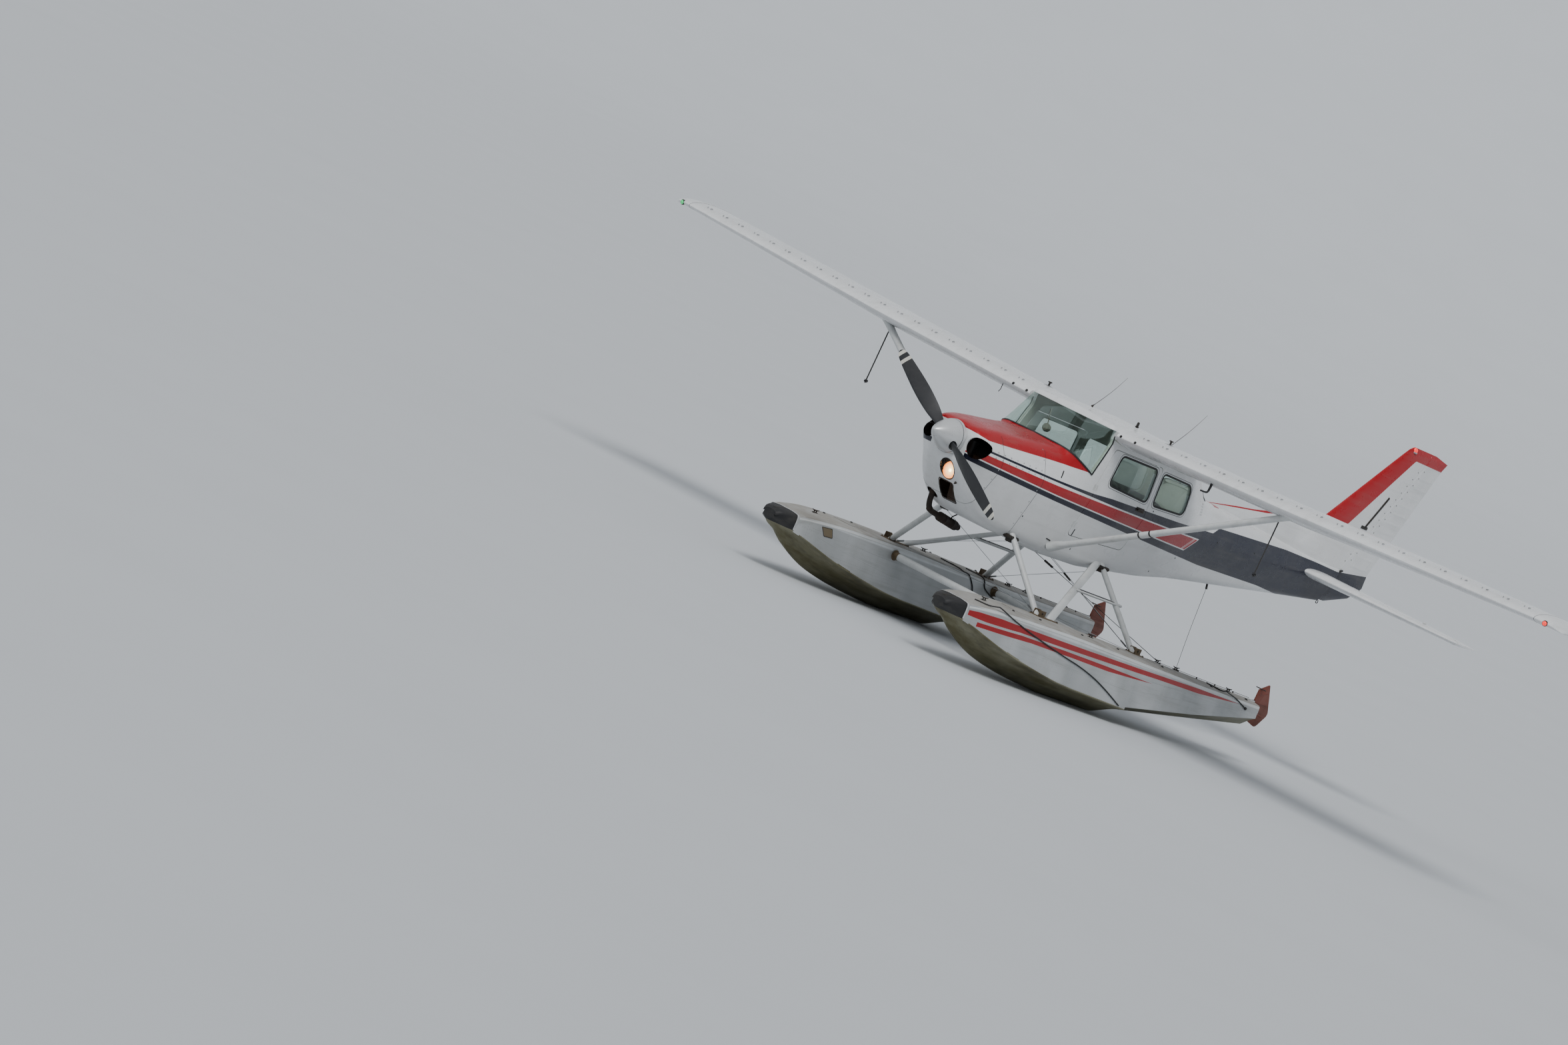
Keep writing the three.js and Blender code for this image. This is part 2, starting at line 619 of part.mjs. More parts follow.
function makeSpinner() {
  const profile = [new THREE.Vector2(0, 0)];
  const steps = 8;
  const length = SPINNER_BASE_Y - SPINNER_TIP_Y;
  for (let i = 0; i <= steps; i += 1) {
    const s = i / steps;
    profile.push(new THREE.Vector2(SPINNER_RADIUS * Math.sqrt(1 - s ** 1.7), s * length));
  }
  profile.at(-1).x = 0;
  const body = new THREE.LatheGeometry(profile, 20).rotateX(Math.PI).translate(0, SPINNER_BASE_Y, 0);
  const crankBore = rod(at(0, PROP_Y, 0), at(0, SPINNER_BASE_Y + 10, 0), 52);
  const hubRoom = rod(at(0, -HUB_HALF - SEAT, 0), at(0, HUB_HALF + SEAT, 0), HUB_RADIUS + SEAT, HUB_RADIUS + SEAT, 20);
  const slot = bladeSlot();
  const room = join(hubRoom, slot, slot.clone().rotateY(Math.PI)).rotateY(-PROP_REST_ANGLE).translate(0, PROP_Y, 0);
  return mainBody(cut(body, crankBore, room));
}

const propeller = makePropeller();
const spinner = makeSpinner();

const EXHAUST_PATH = [
  at(EXHAUST_X, EXHAUST_EXIT_Y, -190 - SEAT), at(EXHAUST_X, EXHAUST_EXIT_Y, -400), at(EXHAUST_X, EXHAUST_EXIT_Y, -600),
  at(EXHAUST_X, -470, -705), at(EXHAUST_X, -300, -735),
];
const exhaust = join(
  tube(EXHAUST_PATH, 27, 10, 14),
  rod(at(EXHAUST_X, -310, -733), at(EXHAUST_X, 70, -775), 46, 46, 14),
);

// Floats, about their own centre plane. Columns: Y, keel Z, chine Z, chine half, deck Z, deck half.
const FLOAT_ROWS = [
  [BOW_Y, -1385, -1362, 62, -1300, 55],
  [-1440, -1425, -1378, 105, -1272, 90],
  [-1290, -1476, -1408, 178, -1250, 150],
  [-1130, -1560, -1440, 238, -1226, 192],
  [-740, -1690, -1526, 322, -1194, 256],
  [-300, -1764, -1588, 356, DECK_Z - 6, 280],
  [150, -1803, -1634, 370, DECK_Z, 286],
  [450, KEEL_Z, -1648, 370, DECK_Z, 286],
  [FLOAT_STEP_Y, KEEL_Z, -1664, 370, DECK_Z - 12, 286],
  [FLOAT_STEP_Y + 2, -1772, -1634, 366, DECK_Z - 12, 286],
  [2600, -1622, -1495, 300, -1208, 232],
  [TRANSOM_Y, -1455, -1345, 150, -1218, 122],
];
const BUMPER_Y = -1280;
const BUMPER_Z = -1396;

function floatRing([y, keel, chine, chineHalf, deck, deckHalf], dx) {
  const strip = Math.min(KEEL_STRIP, chineHalf / 3);
  const half = [
    [strip, keel], [chineHalf, chine], [chineHalf - 4, chine + 34], [deckHalf + 22, deck - 34], [deckHalf, deck],
    [deckHalf * 0.5, deck + 9],
  ];
  return [
    ...half.map(([x, z]) => at(dx + x, y, z)),
    ...half.toReversed().map(([x, z]) => at(dx - x, y, z)),
  ];
}

const floatHull = (rows, dx) => loft('y', rows.map((row) => floatRing(row, dx)));

// Water rudder hinge behind the transom: a post between two lugs of the float.
const WATER_HINGE_Y = TRANSOM_Y + 62;
const LUGS = [[-1372, -1352], [-1222, -1202]];
const WATER_BLADE = [[3935, -1230, 0], [3935, -1085, 0], [4085, -1008, 20], [4262, -1290, 60], [4140, -1445, 70], [3935, -1400, 50]];

function makeFloat() {
  const nose = block(FLOAT_X - 400, FLOAT_X + 400, -1600, BUMPER_Y + SEAT, BUMPER_Z - SEAT, -1100);
  const lugs = LUGS.map(([z0, z1]) => block(FLOAT_X - 16, FLOAT_X + 16, TRANSOM_Y - 30, WATER_HINGE_Y + 14, z0, z1));
  return join(cut(floatHull(FLOAT_ROWS, FLOAT_X), nose), ...lugs);
}

const floatLeft = makeFloat();
const bumperLeft = common(
  floatHull(FLOAT_ROWS, FLOAT_X),
  block(FLOAT_X - 400, FLOAT_X + 400, -1600, BUMPER_Y, BUMPER_Z, -1100),
);
const bladeOutline = roundedCorners(WATER_BLADE.map(([y, z, r]) => [y, z, r]), 4);
const waterRudderLeft = join(
  cut(
    join(
      prism('x', bladeOutline, FLOAT_X - 9, FLOAT_X + 9),
      block(FLOAT_X - 9, FLOAT_X + 9, WATER_HINGE_Y, WATER_HINGE_Y + 40, LUGS[0][1] + 6, LUGS[1][0] - 6),
    ),
    ...LUGS.map(([z0, z1]) => block(FLOAT_X - 60, FLOAT_X + 60, TRANSOM_Y, WATER_HINGE_Y + 28, z0 - 6, z1 + 6)),
  ),
  rod(at(FLOAT_X, WATER_HINGE_Y, LUGS[0][1] + SEAT), at(FLOAT_X, WATER_HINGE_Y, LUGS[1][0] - SEAT), 12, 12, 16),
);

// Struts

// A streamlined strut between two points, its long side along Y; ends are trimmed by what they meet.
function strut(a, b, chord, thick) {
  const walk = foilWalk.map(([s, side]) => [(s - 0.35) * chord, side * foilHalf(s) * thick]);
  const along = b.clone().sub(a).normalize();
  const forward = at(0, 1, 0);
  const across = new THREE.Vector3().crossVectors(along, forward).normalize();
  const reach = along.clone().multiplyScalar(1);
  const ring = (p) => walk.map(([u, v]) => {
    const point = p.clone().addScaledVector(across, v);
    point.y += u;
    return point;
  });
  const axis = Math.abs(along.x) > Math.abs(along.z) ? 'x' : 'z';
  return loft(axis, [ring(a.clone().sub(reach)), ring(b.clone().add(reach))]);
}

const clearOf = (piece, neighbour, dx, dy, dz) => cut(piece, neighbour, shifted(neighbour, dx, dy, dz));

const FUSELAGE_FRONT = at(405, 45, -600);
const FUSELAGE_REAR = at(400, 1570, -560);
const DECK_FRONT = at(940, 205, -1200);
const DECK_REAR = at(955, 1872, -1215);
const STRUT_LOW = at(480, 632, -560);
const STRUT_HIGH = at(2590, 880, 665);

const wingStrutLeft = clearOf(
  clearOf(strut(STRUT_LOW, STRUT_HIGH, 132, 58), cabinOuter, SEAT, 0, 0),
  wing.whole,
  0,
  0,
  -SEAT,
);
const onFloatAndHull = (piece) => clearOf(clearOf(piece, cabinOuter, SEAT, 0, -SEAT), floatLeft, 0, 0, SEAT);
const frontStrutLeft = onFloatAndHull(strut(DECK_FRONT, FUSELAGE_FRONT, 95, 48));
const rearStrutLeft = onFloatAndHull(strut(DECK_REAR, FUSELAGE_REAR, 95, 48));
const DIAGONAL_LOW = DECK_FRONT.clone().add(at(0, 165, 0));
const DIAGONAL_HIGH = FUSELAGE_REAR.clone().add(at(0, -80, 0));
const diagonalLeft = cut(
  onFloatAndHull(strut(DIAGONAL_LOW, DIAGONAL_HIGH, 140, 40)),
  rearStrutLeft,
  shifted(rearStrutLeft, 0, -SEAT, 0),
  frontStrutLeft,
  shifted(frontStrutLeft, 0, SEAT, 0),
);
const STEP_Z = -845;
const onLine = (a, b, z) => a.clone().lerp(b, (z - a.z) / (b.z - a.z));
const stepFront = onLine(DIAGONAL_LOW, DIAGONAL_HIGH, STEP_Z);
const stepRear = onLine(DECK_REAR, FUSELAGE_REAR, STEP_Z);
const footstepLeft = cut(
  block(stepFront.x - 40, stepFront.x + 40, stepFront.y, stepRear.y + 90, STEP_Z - 14, STEP_Z + 14),
  diagonalLeft,
  shifted(diagonalLeft, 0, SEAT, 0),
  rearStrutLeft,
  shifted(rearStrutLeft, 0, SEAT, 0),
  shifted(rearStrutLeft, 0, -SEAT, 0),
  shifted(rearStrutLeft, SEAT, 0, 0),
  shifted(rearStrutLeft, -SEAT, 0, 0),
);

const SPREADERS = { front: 120, rear: 1850, z: -1272, radius: 34 };
const spreader = (y) => {
  const whole = rod(at(-1000, y, SPREADERS.z), at(1000, y, SPREADERS.z), SPREADERS.radius, SPREADERS.radius, 14);
  const left = clearOf(whole, floatLeft, -SEAT, 0, 0);
  return clearOf(left, mirrored(floatLeft), SEAT, 0, 0);
};

// Mooring ropes hang from the strut tops. Points repeat in metres where the rope is drawn.
const ROPE_RADIUS = 7;
const ROPE_X = 2440;
const ROPE_Y = 866;
const ROPE_POINTS = Array.from({ length: 15 }, (_, i) => at(ROPE_X, ROPE_Y, 585 - i * 42));
const ropeLeft = mainBody(clearOf(tube(ROPE_POINTS, ROPE_RADIUS, 8, 18), wingStrutLeft, 0, 0, -SEAT));

// Inside

const PANEL_Y = 420;

function makePanel() {
  const face = roundedCorners([[-540, -60, 0], [540, -60, 0], [540, 225, 0], [-540, 225, 0]], 4);
  const parts = [
    prism('y', face, PANEL_Y - 40, PANEL_Y),
    block(-400, 400, 270, PANEL_Y - 20, 175, 200),
    block(-80, 80, 60, PANEL_Y - 20, -100, -60),
    block(-80, 80, PANEL_Y - 40, PANEL_Y, -600, 0),
  ];
  for (const x of [-240, 240]) {
    parts.push(rod(at(x, PANEL_Y - 10, 60), at(x, PANEL_Y + 170, 60), 12, 12, 10));
    parts.push(block(x - 140, x + 140, PANEL_Y + 158, PANEL_Y + 182, 45, 75));
    parts.push(block(x - 140, x - 112, PANEL_Y + 158, PANEL_Y + 182, 45, 150));
    parts.push(block(x + 112, x + 140, PANEL_Y + 158, PANEL_Y + 182, 45, 150));
  }
  return common(join(...parts), panelRoom);
}

// Side outline of a seat, extruded across its width.
function makeSeat(x0, x1, y, back) {
  const outline = roundedCorners([
    [y, -300, 40],
    [y + 460, -330, 30],
    [y + 600, back, 50],
    [y + 700, back, 50],
    [y + 560, -440, 40],
    [y + 540, FLOOR_Z - 20, 0],
    [y + 60, FLOOR_Z - 20, 0],
    [y + 30, -430, 40],
  ], 3);
  return common(prism('x', outline, x0, x1), seatRoom);
}

// Materials as [name, colour, roughness, metalness]
const PAINTS = {
  white: [0xe6e7e6, 0.38, 0],
  red: [0xb3121c, 0.35, 0],
  silver: [0xa9adb2, 0.4, 0.5],
  black: [0x17181a, 0.6, 0],
  rust: [0x4a2a1e, 0.8, 0.2],
  glass: [0x9fc4b4, 0.1, 0],
  float: [0xa3a7a8, 0.5, 0.3],
  cloth: [0x54565a, 0.9, 0],
  lamp: [0xffd9a0, 0.2, 0],
  rope: [0x2b2a28, 0.9, 0],
};

const group = new THREE.Group();

function add(name, geometry, paint) {
  const [color, roughness, metalness] = PAINTS[paint];
  const mesh = new THREE.Mesh(geometry, new THREE.MeshStandardMaterial({ color, roughness, metalness }));
  mesh.name = name;
  group.add(mesh);
}

function addPair(name, geometry, paint) {
  add(`${name}_left`, geometry, paint);
  add(`${name}_right`, mirrored(geometry), paint);
}

add('cowl_lower', cowls.lower, 'white');
add('cowl_upper', cowls.upper, 'red');
add('landing_light', cut(lampBody, cowlHollow), 'lamp');
add('engine_block', makeEngine(), 'black');
add('propeller', propeller, 'black');
add('spinner', spinner, 'silver');
add('exhaust', exhaust, 'rust');
add('cabin_shell', cabinShell, 'white');
add('windshield', windshield, 'glass');
add('rear_window', rearWindow, 'glass');
addPair('door', doorLeft, 'white');
addPair('door_window', doorGlassLeft, 'glass');
addPair('quarter_window', quarterGlassLeft, 'glass');
add('instrument_panel', makePanel(), 'black');
addPair('front_seat', makeSeat(45, 455, 620, 190), 'cloth');
add('rear_seat', makeSeat(-400, 400, 1560, 150), 'cloth');
add('tail_cone', tailCone, 'white');
add('fin', fin, 'white');
add('rudder', rudder, 'white');
addPair('stabilizer', stabilizer, 'white');
addPair('elevator', elevator, 'white');
add('elevator_tube', torqueTube, 'silver');
addPair('wing', wing.fixed, 'white');
addPair('flap', wing.flap, 'white');
addPair('aileron', wing.aileron, 'white');
addPair('wing_strut', wingStrutLeft, 'white');
addPair('float', floatLeft, 'float');
addPair('bow_bumper', bumperLeft, 'black');
addPair('float_strut_front', frontStrutLeft, 'white');
addPair('float_strut_diagonal', diagonalLeft, 'white');
addPair('float_strut_rear', rearStrutLeft, 'white');
addPair('footstep', footstepLeft, 'white');
add('spreader_front', spreader(SPREADERS.front), 'silver');
add('spreader_rear', spreader(SPREADERS.rear), 'silver');
addPair('water_rudder', waterRudderLeft, 'rust');
addPair('mooring_rope', ropeLeft, 'rope');

group.position.set(0, -MIDDLE_Y, -KEEL_Z);

export default group;
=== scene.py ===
"""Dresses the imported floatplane: fine skins, paint, glass, seats, rigging, small fittings and the stage.

Shapes are worked out in aircraft coordinates in metres: X to the left wing, Y aft of the firewall,
Z up from the thrust line. SHIFT takes them to the part's own frame.
"""
import math
from functools import partialmethod

import bmesh
import bpy
import numpy as np
from bpy.props import FloatProperty, FloatVectorProperty, IntProperty
from mathutils import Matrix


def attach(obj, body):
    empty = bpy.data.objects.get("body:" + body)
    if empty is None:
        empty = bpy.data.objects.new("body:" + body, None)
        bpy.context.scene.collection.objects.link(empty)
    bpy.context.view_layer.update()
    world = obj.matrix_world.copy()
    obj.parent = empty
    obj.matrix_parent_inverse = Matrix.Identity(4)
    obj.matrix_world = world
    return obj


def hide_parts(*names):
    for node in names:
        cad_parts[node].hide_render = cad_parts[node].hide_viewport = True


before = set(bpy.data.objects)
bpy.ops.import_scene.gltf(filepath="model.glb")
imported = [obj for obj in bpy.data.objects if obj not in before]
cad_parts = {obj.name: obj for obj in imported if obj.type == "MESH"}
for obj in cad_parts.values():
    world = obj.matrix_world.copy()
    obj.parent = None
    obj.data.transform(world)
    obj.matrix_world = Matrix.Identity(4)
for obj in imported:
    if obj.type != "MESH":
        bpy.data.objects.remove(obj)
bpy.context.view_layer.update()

bl_info = {
    "name": "Floatplane dressing",
    "version": (1, 0, 0),
    "blender": (4, 5, 0),
    "location": "View3D > Sidebar > Floatplane",
    "description": "Paint, glass, seats, rigging and fittings for a high-wing aircraft on twin floats",
    "category": "Object",
}

# Sizes shared with the solids, in metres
SHIFT = np.array([0.0, -2.746, 1.820])
MOVING_GAP = 0.006
CABIN_WALL = 0.035
GLASS_THICK = 0.006
TOUCH_GAP = 0.00035
HAIRLINE = 0.0004
COWL_SKIN = 0.008
ROOF_HALF = 0.545
WING_ROOT_X = 0.5454
DIHEDRAL = math.tan(math.radians(1.9))
FLOAT_X = 1.060


class FloatplaneSettings(bpy.types.PropertyGroup):
    white: FloatVectorProperty(
        name="White paint", description="Main colour of the skins", subtype="COLOR", size=3,
        default=(0.74, 0.75, 0.755), min=0, max=1,
    )
    red: FloatVectorProperty(
        name="Red paint", description="Deck, stripes and fin edge", subtype="COLOR", size=3,
        default=(0.38, 0.004, 0.010), min=0, max=1,
    )
    navy: FloatVectorProperty(
        name="Navy paint", description="Dark stripes and tail band", subtype="COLOR", size=3,
        default=(0.004, 0.006, 0.020), min=0, max=1,
    )
    hull: FloatVectorProperty(
        name="Float paint", description="Weathered aluminium paint of the float sides", subtype="COLOR",
        size=3, default=(0.46, 0.475, 0.48), min=0, max=1,
    )
    generators: IntProperty(
        name="Vortex generators", description="Pairs on each wing", default=20, min=0, max=40,
    )
    wire: FloatProperty(
        name="Bracing wire", description="Thickness of the float bracing wires", subtype="DISTANCE",
        unit="LENGTH", default=0.006, min=0.002, max=0.02,
    )
    whip: FloatProperty(
        name="Whip antenna", description="Thickness at the foot of a roof antenna", subtype="DISTANCE",
        unit="LENGTH", default=0.006, min=0.002, max=0.02,
    )


def settings():
    return bpy.context.scene.floatplane


# Meshes from arrays of points


def unit(vectors):
    """A vector, or each row of an array of vectors, brought to length one."""
    vectors = np.asarray(vectors, float)
    return vectors / np.linalg.norm(vectors, axis=-1, keepdims=True)


def between(a, b, share):
    """The point at a share of the way from a to b."""
    return a + (b - a) * share


def looked_up(rows, at, *which):
    """Columns of a table, read at places along its first column."""
    return [np.interp(at, rows[:, 0], rows[:, k]) for k in which]


def columns(*parts):
    """Points as rows from their coordinates; a coordinate may be one number for all of them."""
    return np.column_stack(np.broadcast_arrays(*parts))


def around(count):
    """Equal angles once round a circle."""
    return np.arange(count) * (2 * np.pi / count)


def spokes(side, up, count, flat=1.0):
    """Directions all round each place of a path, turned from its side direction towards its up direction."""
    angle = around(count)[None, :, None]
    return np.cos(angle) * side[:, None] + flat * np.sin(angle) * up[:, None]


def quads(rows, columns, closed_rows=False, closed_columns=False):
    """The four-sided faces of a grid of points that is stored row by row."""
    r = np.arange(rows if closed_rows else rows - 1)
    c = np.arange(columns if closed_columns else columns - 1)
    r, c = np.meshgrid(r, c, indexing="ij")
    r2, c2 = (r + 1) % rows, (c + 1) % columns
    corners = [r * columns + c, r * columns + c2, r2 * columns + c2, r2 * columns + c]
    return np.stack(corners, -1).reshape(-1, 4).tolist()


def loft(rings, capped=True):
    """A skin through closed rings of equal point counts, with a flat cap at each end."""
    rings = np.asarray(rings, float)
    rows, columns = rings.shape[:2]
    faces = quads(rows, columns, closed_columns=True)
    if capped:
        faces.append(list(range(columns))[::-1])
        faces.append([(rows - 1) * columns + i for i in range(columns)])
    return rings.reshape(-1, 3), faces


def together(*shapes):
    """Several shapes as one, with no points merged."""
    points, faces, start = [], [], 0
    for p, f in shapes:
        points.append(np.asarray(p, float))
        faces += [[i + start for i in face] for face in f]
        start += len(p)
    return np.concatenate(points), faces


def mirrored(shape):
    """The same shape on the other side of the symmetry plane."""
    points, faces = shape
    return points * [-1, 1, 1], [face[::-1] for face in faces]


def moved(shape, offset):
    return shape[0] + np.asarray(offset, float), shape[1]


def ring_frames(path):
    """Tangents and two normals along a path; each normal is the last one turned as little as possible."""
    path = np.asarray(path, float)
    along = unit(np.gradient(path, axis=0))
    side = np.cross(along[0], [0, 0, 1] if abs(along[0, 2]) < 0.9 else [0, 1, 0])
    sides = []
    for t in along:
        side = unit(side - t * (side @ t))
        sides.append(side)
    sides = np.array(sides)
    return along, sides, np.cross(along, sides)


def swept(path, radius, count=10, flat=1.0, capped=True):
    """A tube: a circle, or an ellipse where flat is under 1, of the given radius carried along a path."""
    path = np.asarray(path, float)
    _, side, up = ring_frames(path)
    radius = np.broadcast_to(np.asarray(radius, float), len(path))[:, None, None]
    return loft(path[:, None] + spokes(side, up, count, flat) * radius, capped)


def rod(a, b, radius, radius_b=None, count=12):
    """A straight round rod between two points, which may taper."""
    ends = radius if radius_b is None else radius_b
    return swept([a, b], [radius, ends], count)


def turned(profile, start, direction, count=40):
    """A profile of (distance along, radius) turned about a line from start in a direction."""
    profile = np.asarray(profile, float)
    direction = unit(direction)
    side = unit(np.cross(direction, [0, 0, 1] if abs(direction[2]) < 0.9 else [0, 1, 0]))
    centre = np.asarray(start, float) + profile[:, :1] * direction
    ring = spokes(side[None], np.cross(direction, side)[None], count)
    return loft(centre[:, None] + np.maximum(profile[:, 1], 1e-5)[:, None, None] * ring)


def slab(low, high, bevel=0.002):
    """A box between two corners whose edges along Z are rounded and whose top and bottom draw in."""
    low, high = np.asarray(low, float), np.asarray(high, float)
    half, centre = (high - low) / 2, (high + low) / 2
    r = min(bevel, *(half * 0.9))
    angle = np.linspace(0, 2 * np.pi, 17)[:16] + np.pi / 16
    corner = np.sign(np.stack([np.cos(angle), np.sin(angle)], -1))
    rings = []
    for z, inset in ((-half[2], r), (-half[2] + r, 0), (half[2] - r, 0), (half[2], r)):
        reach = half[:2] - r
        plan = corner * reach + (r - inset) * np.stack([np.cos(angle), np.sin(angle)], -1)
        rings.append(np.column_stack([plan, np.full(16, z)]) + centre)
    return loft(rings)


def prism(axis, outline, start, stop):
    """An outline carried straight along an axis: (Y, Z) along x, (X, Z) along y, (X, Y) along z."""
    outline = np.asarray(outline, float)
    order = {"x": [2, 0, 1], "y": [0, 2, 1], "z": [0, 1, 2]}[axis]
    rings = [np.column_stack([outline, np.full(len(outline), d)])[:, order] for d in (start, stop)]
    return loft(rings)


def block(x0, x1, y0, y1, z0, z1):
    return prism("x", [[y0, z0], [y1, z0], [y1, z1], [y0, z1]], x0, x1)


def corner_ends(before, here, after, radius):
    """Where each rounded corner leaves the side before it and joins the side after it: the tangent points
    of its radius, at most 48 percent along either side."""
    before, after = before - here, after - here
    lb, la = np.linalg.norm(before, axis=-1), np.linalg.norm(after, axis=-1)
    half = np.arccos(np.clip((before * after).sum(-1) / (lb * la), -1, 1)) / 2
    reach = np.minimum(np.minimum(radius / np.tan(half), lb * 0.48), la * 0.48)[..., None]
    return here + before / lb[..., None] * reach, here + after / la[..., None] * reach


def rounded(corners, steps=8):
    """A closed outline whose corners, given as (u, v, radius), are quadratic curves of equal steps."""
    corners = np.asarray(corners, float)
    here, radius = corners[:, :2], corners[:, 2]
    a, b = corner_ends(np.roll(here, 1, 0), here, np.roll(here, -1, 0), radius)
    t = np.linspace(0, 1, steps + 1)[None, :, None]
    arc = (1 - t) ** 2 * a[:, None] + 2 * t * (1 - t) * here[:, None] + t**2 * b[:, None]
    return arc.reshape(-1, 2)


def walked(path):
    """The distance walked along a path up to each of its points."""
    return np.concatenate([[0], np.cumsum(np.linalg.norm(np.diff(path, axis=0), axis=1))])


def evened(path, step, closed=False):
    """A path with points about one step apart, measured along it."""
    path = np.asarray(path, float)
    if closed:
        path = np.vstack([path, path[:1]])
    length = walked(path)
    at = np.linspace(0, length[-1], max(int(round(length[-1] / step)), 2) + 1)
    out = np.column_stack([np.interp(at, length, path[:, k]) for k in range(path.shape[1])])
    return out[:-1] if closed else out


def curve_through(points, count):
    """A smooth path through points: cubic pieces whose slope at a point is that of its neighbours."""
    p = np.asarray(points, float)
    slope = np.gradient(p, axis=0)
    at = np.linspace(0, len(p) - 1, count)
    i = np.minimum(at.astype(int), len(p) - 2)
    t = (at - i)[:, None]
    h00, h10 = 2 * t**3 - 3 * t**2 + 1, t**3 - 2 * t**2 + t
    h01, h11 = -2 * t**3 + 3 * t**2, t**3 - t**2
    return h00 * p[i] + h10 * slope[i] + h01 * p[i + 1] + h11 * slope[i + 1]


def softened(table, at, reach):
    """Rows of a table at values of its first column, from straight lines averaged over a reach each way."""
    table, at = np.asarray(table, float), np.asarray(at, float)
    reach = np.broadcast_to(np.asarray(reach, float), at.shape)
    lean = np.linspace(-1, 1, 9)
    where = at[:, None] + lean[None] * reach[:, None]
    means = [np.interp(where, table[:, 0], table[:, k]).mean(1) for k in range(1, table.shape[1])]
    return np.column_stack([at, *means])


class Carved(tuple):
    """A shape that came out of a carve, so its faces already point outwards, also round its hollows."""


def turn_out(mesh, shape):
    """Turn a mesh's faces outwards, unless a carve has done so."""
    if isinstance(shape, Carved):
        return
    loose = bmesh.new()
    loose.from_mesh(mesh)
    bmesh.ops.recalc_face_normals(loose, faces=loose.faces)
    loose.to_mesh(mesh)
    loose.free()


def raw_object(shape):
    """A loose object of a closed shape with its faces turned outwards."""
    points, faces = shape
    mesh = bpy.data.meshes.new("loose")
    mesh.from_pydata(np.asarray(points, float).tolist(), [], faces)
    turn_out(mesh, shape)
    loose = bpy.data.objects.new("loose", mesh)
    bpy.context.scene.collection.objects.link(loose)
    return loose


def shape_of(mesh):
    """The points and faces of a mesh as arrays."""
    points = np.empty(len(mesh.vertices) * 3)
    mesh.vertices.foreach_get("co", points)
    corners = np.empty(len(mesh.loops), int)
    mesh.loops.foreach_get("vertex_index", corners)
    starts = np.empty(len(mesh.polygons), int)
    mesh.polygons.foreach_get("loop_start", starts)
    return points.reshape(-1, 3), [f.tolist() for f in np.split(corners, starts[1:])]


def carved(shape, tool, how="DIFFERENCE"):
    """What is left of a closed shape when a closed tool is taken away, joined or crossed with it."""
    subject, cutter = raw_object(shape), raw_object(tool)
    carve = subject.modifiers.new("carve", "BOOLEAN")
    carve.operation, carve.solver, carve.object = how, "MANIFOLD", cutter
    result = bpy.data.meshes.new_from_object(subject.evaluated_get(bpy.context.evaluated_depsgraph_get()))
    out = Carved(shape_of(result))
    for loose in (subject, cutter):
        mesh = loose.data
        bpy.data.objects.remove(loose)
        bpy.data.meshes.remove(mesh)
    bpy.data.meshes.remove(result)
    return out


def cut(shape, *tools):
    for tool in tools:
        shape = carved(shape, tool)
    return shape


def common(a, b):
    return carved(a, b, "INTERSECT")


def joined(*shapes):
    out = shapes[0]
    for shape in shapes[1:]:
        out = carved(out, shape, "UNION")
    return out


def piece(name, shape, paints, sharp=40, replaces="", body="airframe", zones=None):
    """A finished piece of the object from a closed shape in aircraft coordinates. Edges sharper than the
    angle stay crisp, and zones say which of several paints each face takes."""
    points, faces = shape
    mesh = bpy.data.meshes.new(name)
    mesh.from_pydata((np.asarray(points, float) + SHIFT).tolist(), [], faces)
    for paint in [paints] if isinstance(paints, str) else paints:
        mesh.materials.append(MATERIALS[paint])
    if zones is not None:
        mesh.polygons.foreach_set("material_index", np.asarray(zones, np.int32))
    turn_out(mesh, shape)
    mesh.shade_smooth()
    mesh.set_sharp_from_angle(angle=math.radians(sharp))
    made = bpy.data.objects.new(name, mesh)
    bpy.context.scene.collection.objects.link(made)
    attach(made, body)
    if replaces:
        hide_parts(replaces)
    return made


def pair(name, shape, paints, sharp=40, replaces="", body="airframe", zones=None):
    """A piece on the left and its mirror on the right; names and bodies with {} take the side."""
    for side, s in (("left", shape), ("right", mirrored(shape))):
        names = f"{name}_{side}", replaces.format(side), body.format(side)
        piece(names[0], s, paints, sharp, names[1], names[2], zones)


# Materials


def node_group(name, inputs, outputs):
    """An empty shader node group with named sockets."""
    tree = bpy.data.node_groups.new(name, "ShaderNodeTree")
    for label, kind, value in inputs:
        s = tree.interface.new_socket(label, in_out="INPUT", socket_type=kind)
        if value is not None:
            s.default_value = value
    for label, kind in outputs:
        tree.interface.new_socket(label, in_out="OUTPUT", socket_type=kind)
    return tree


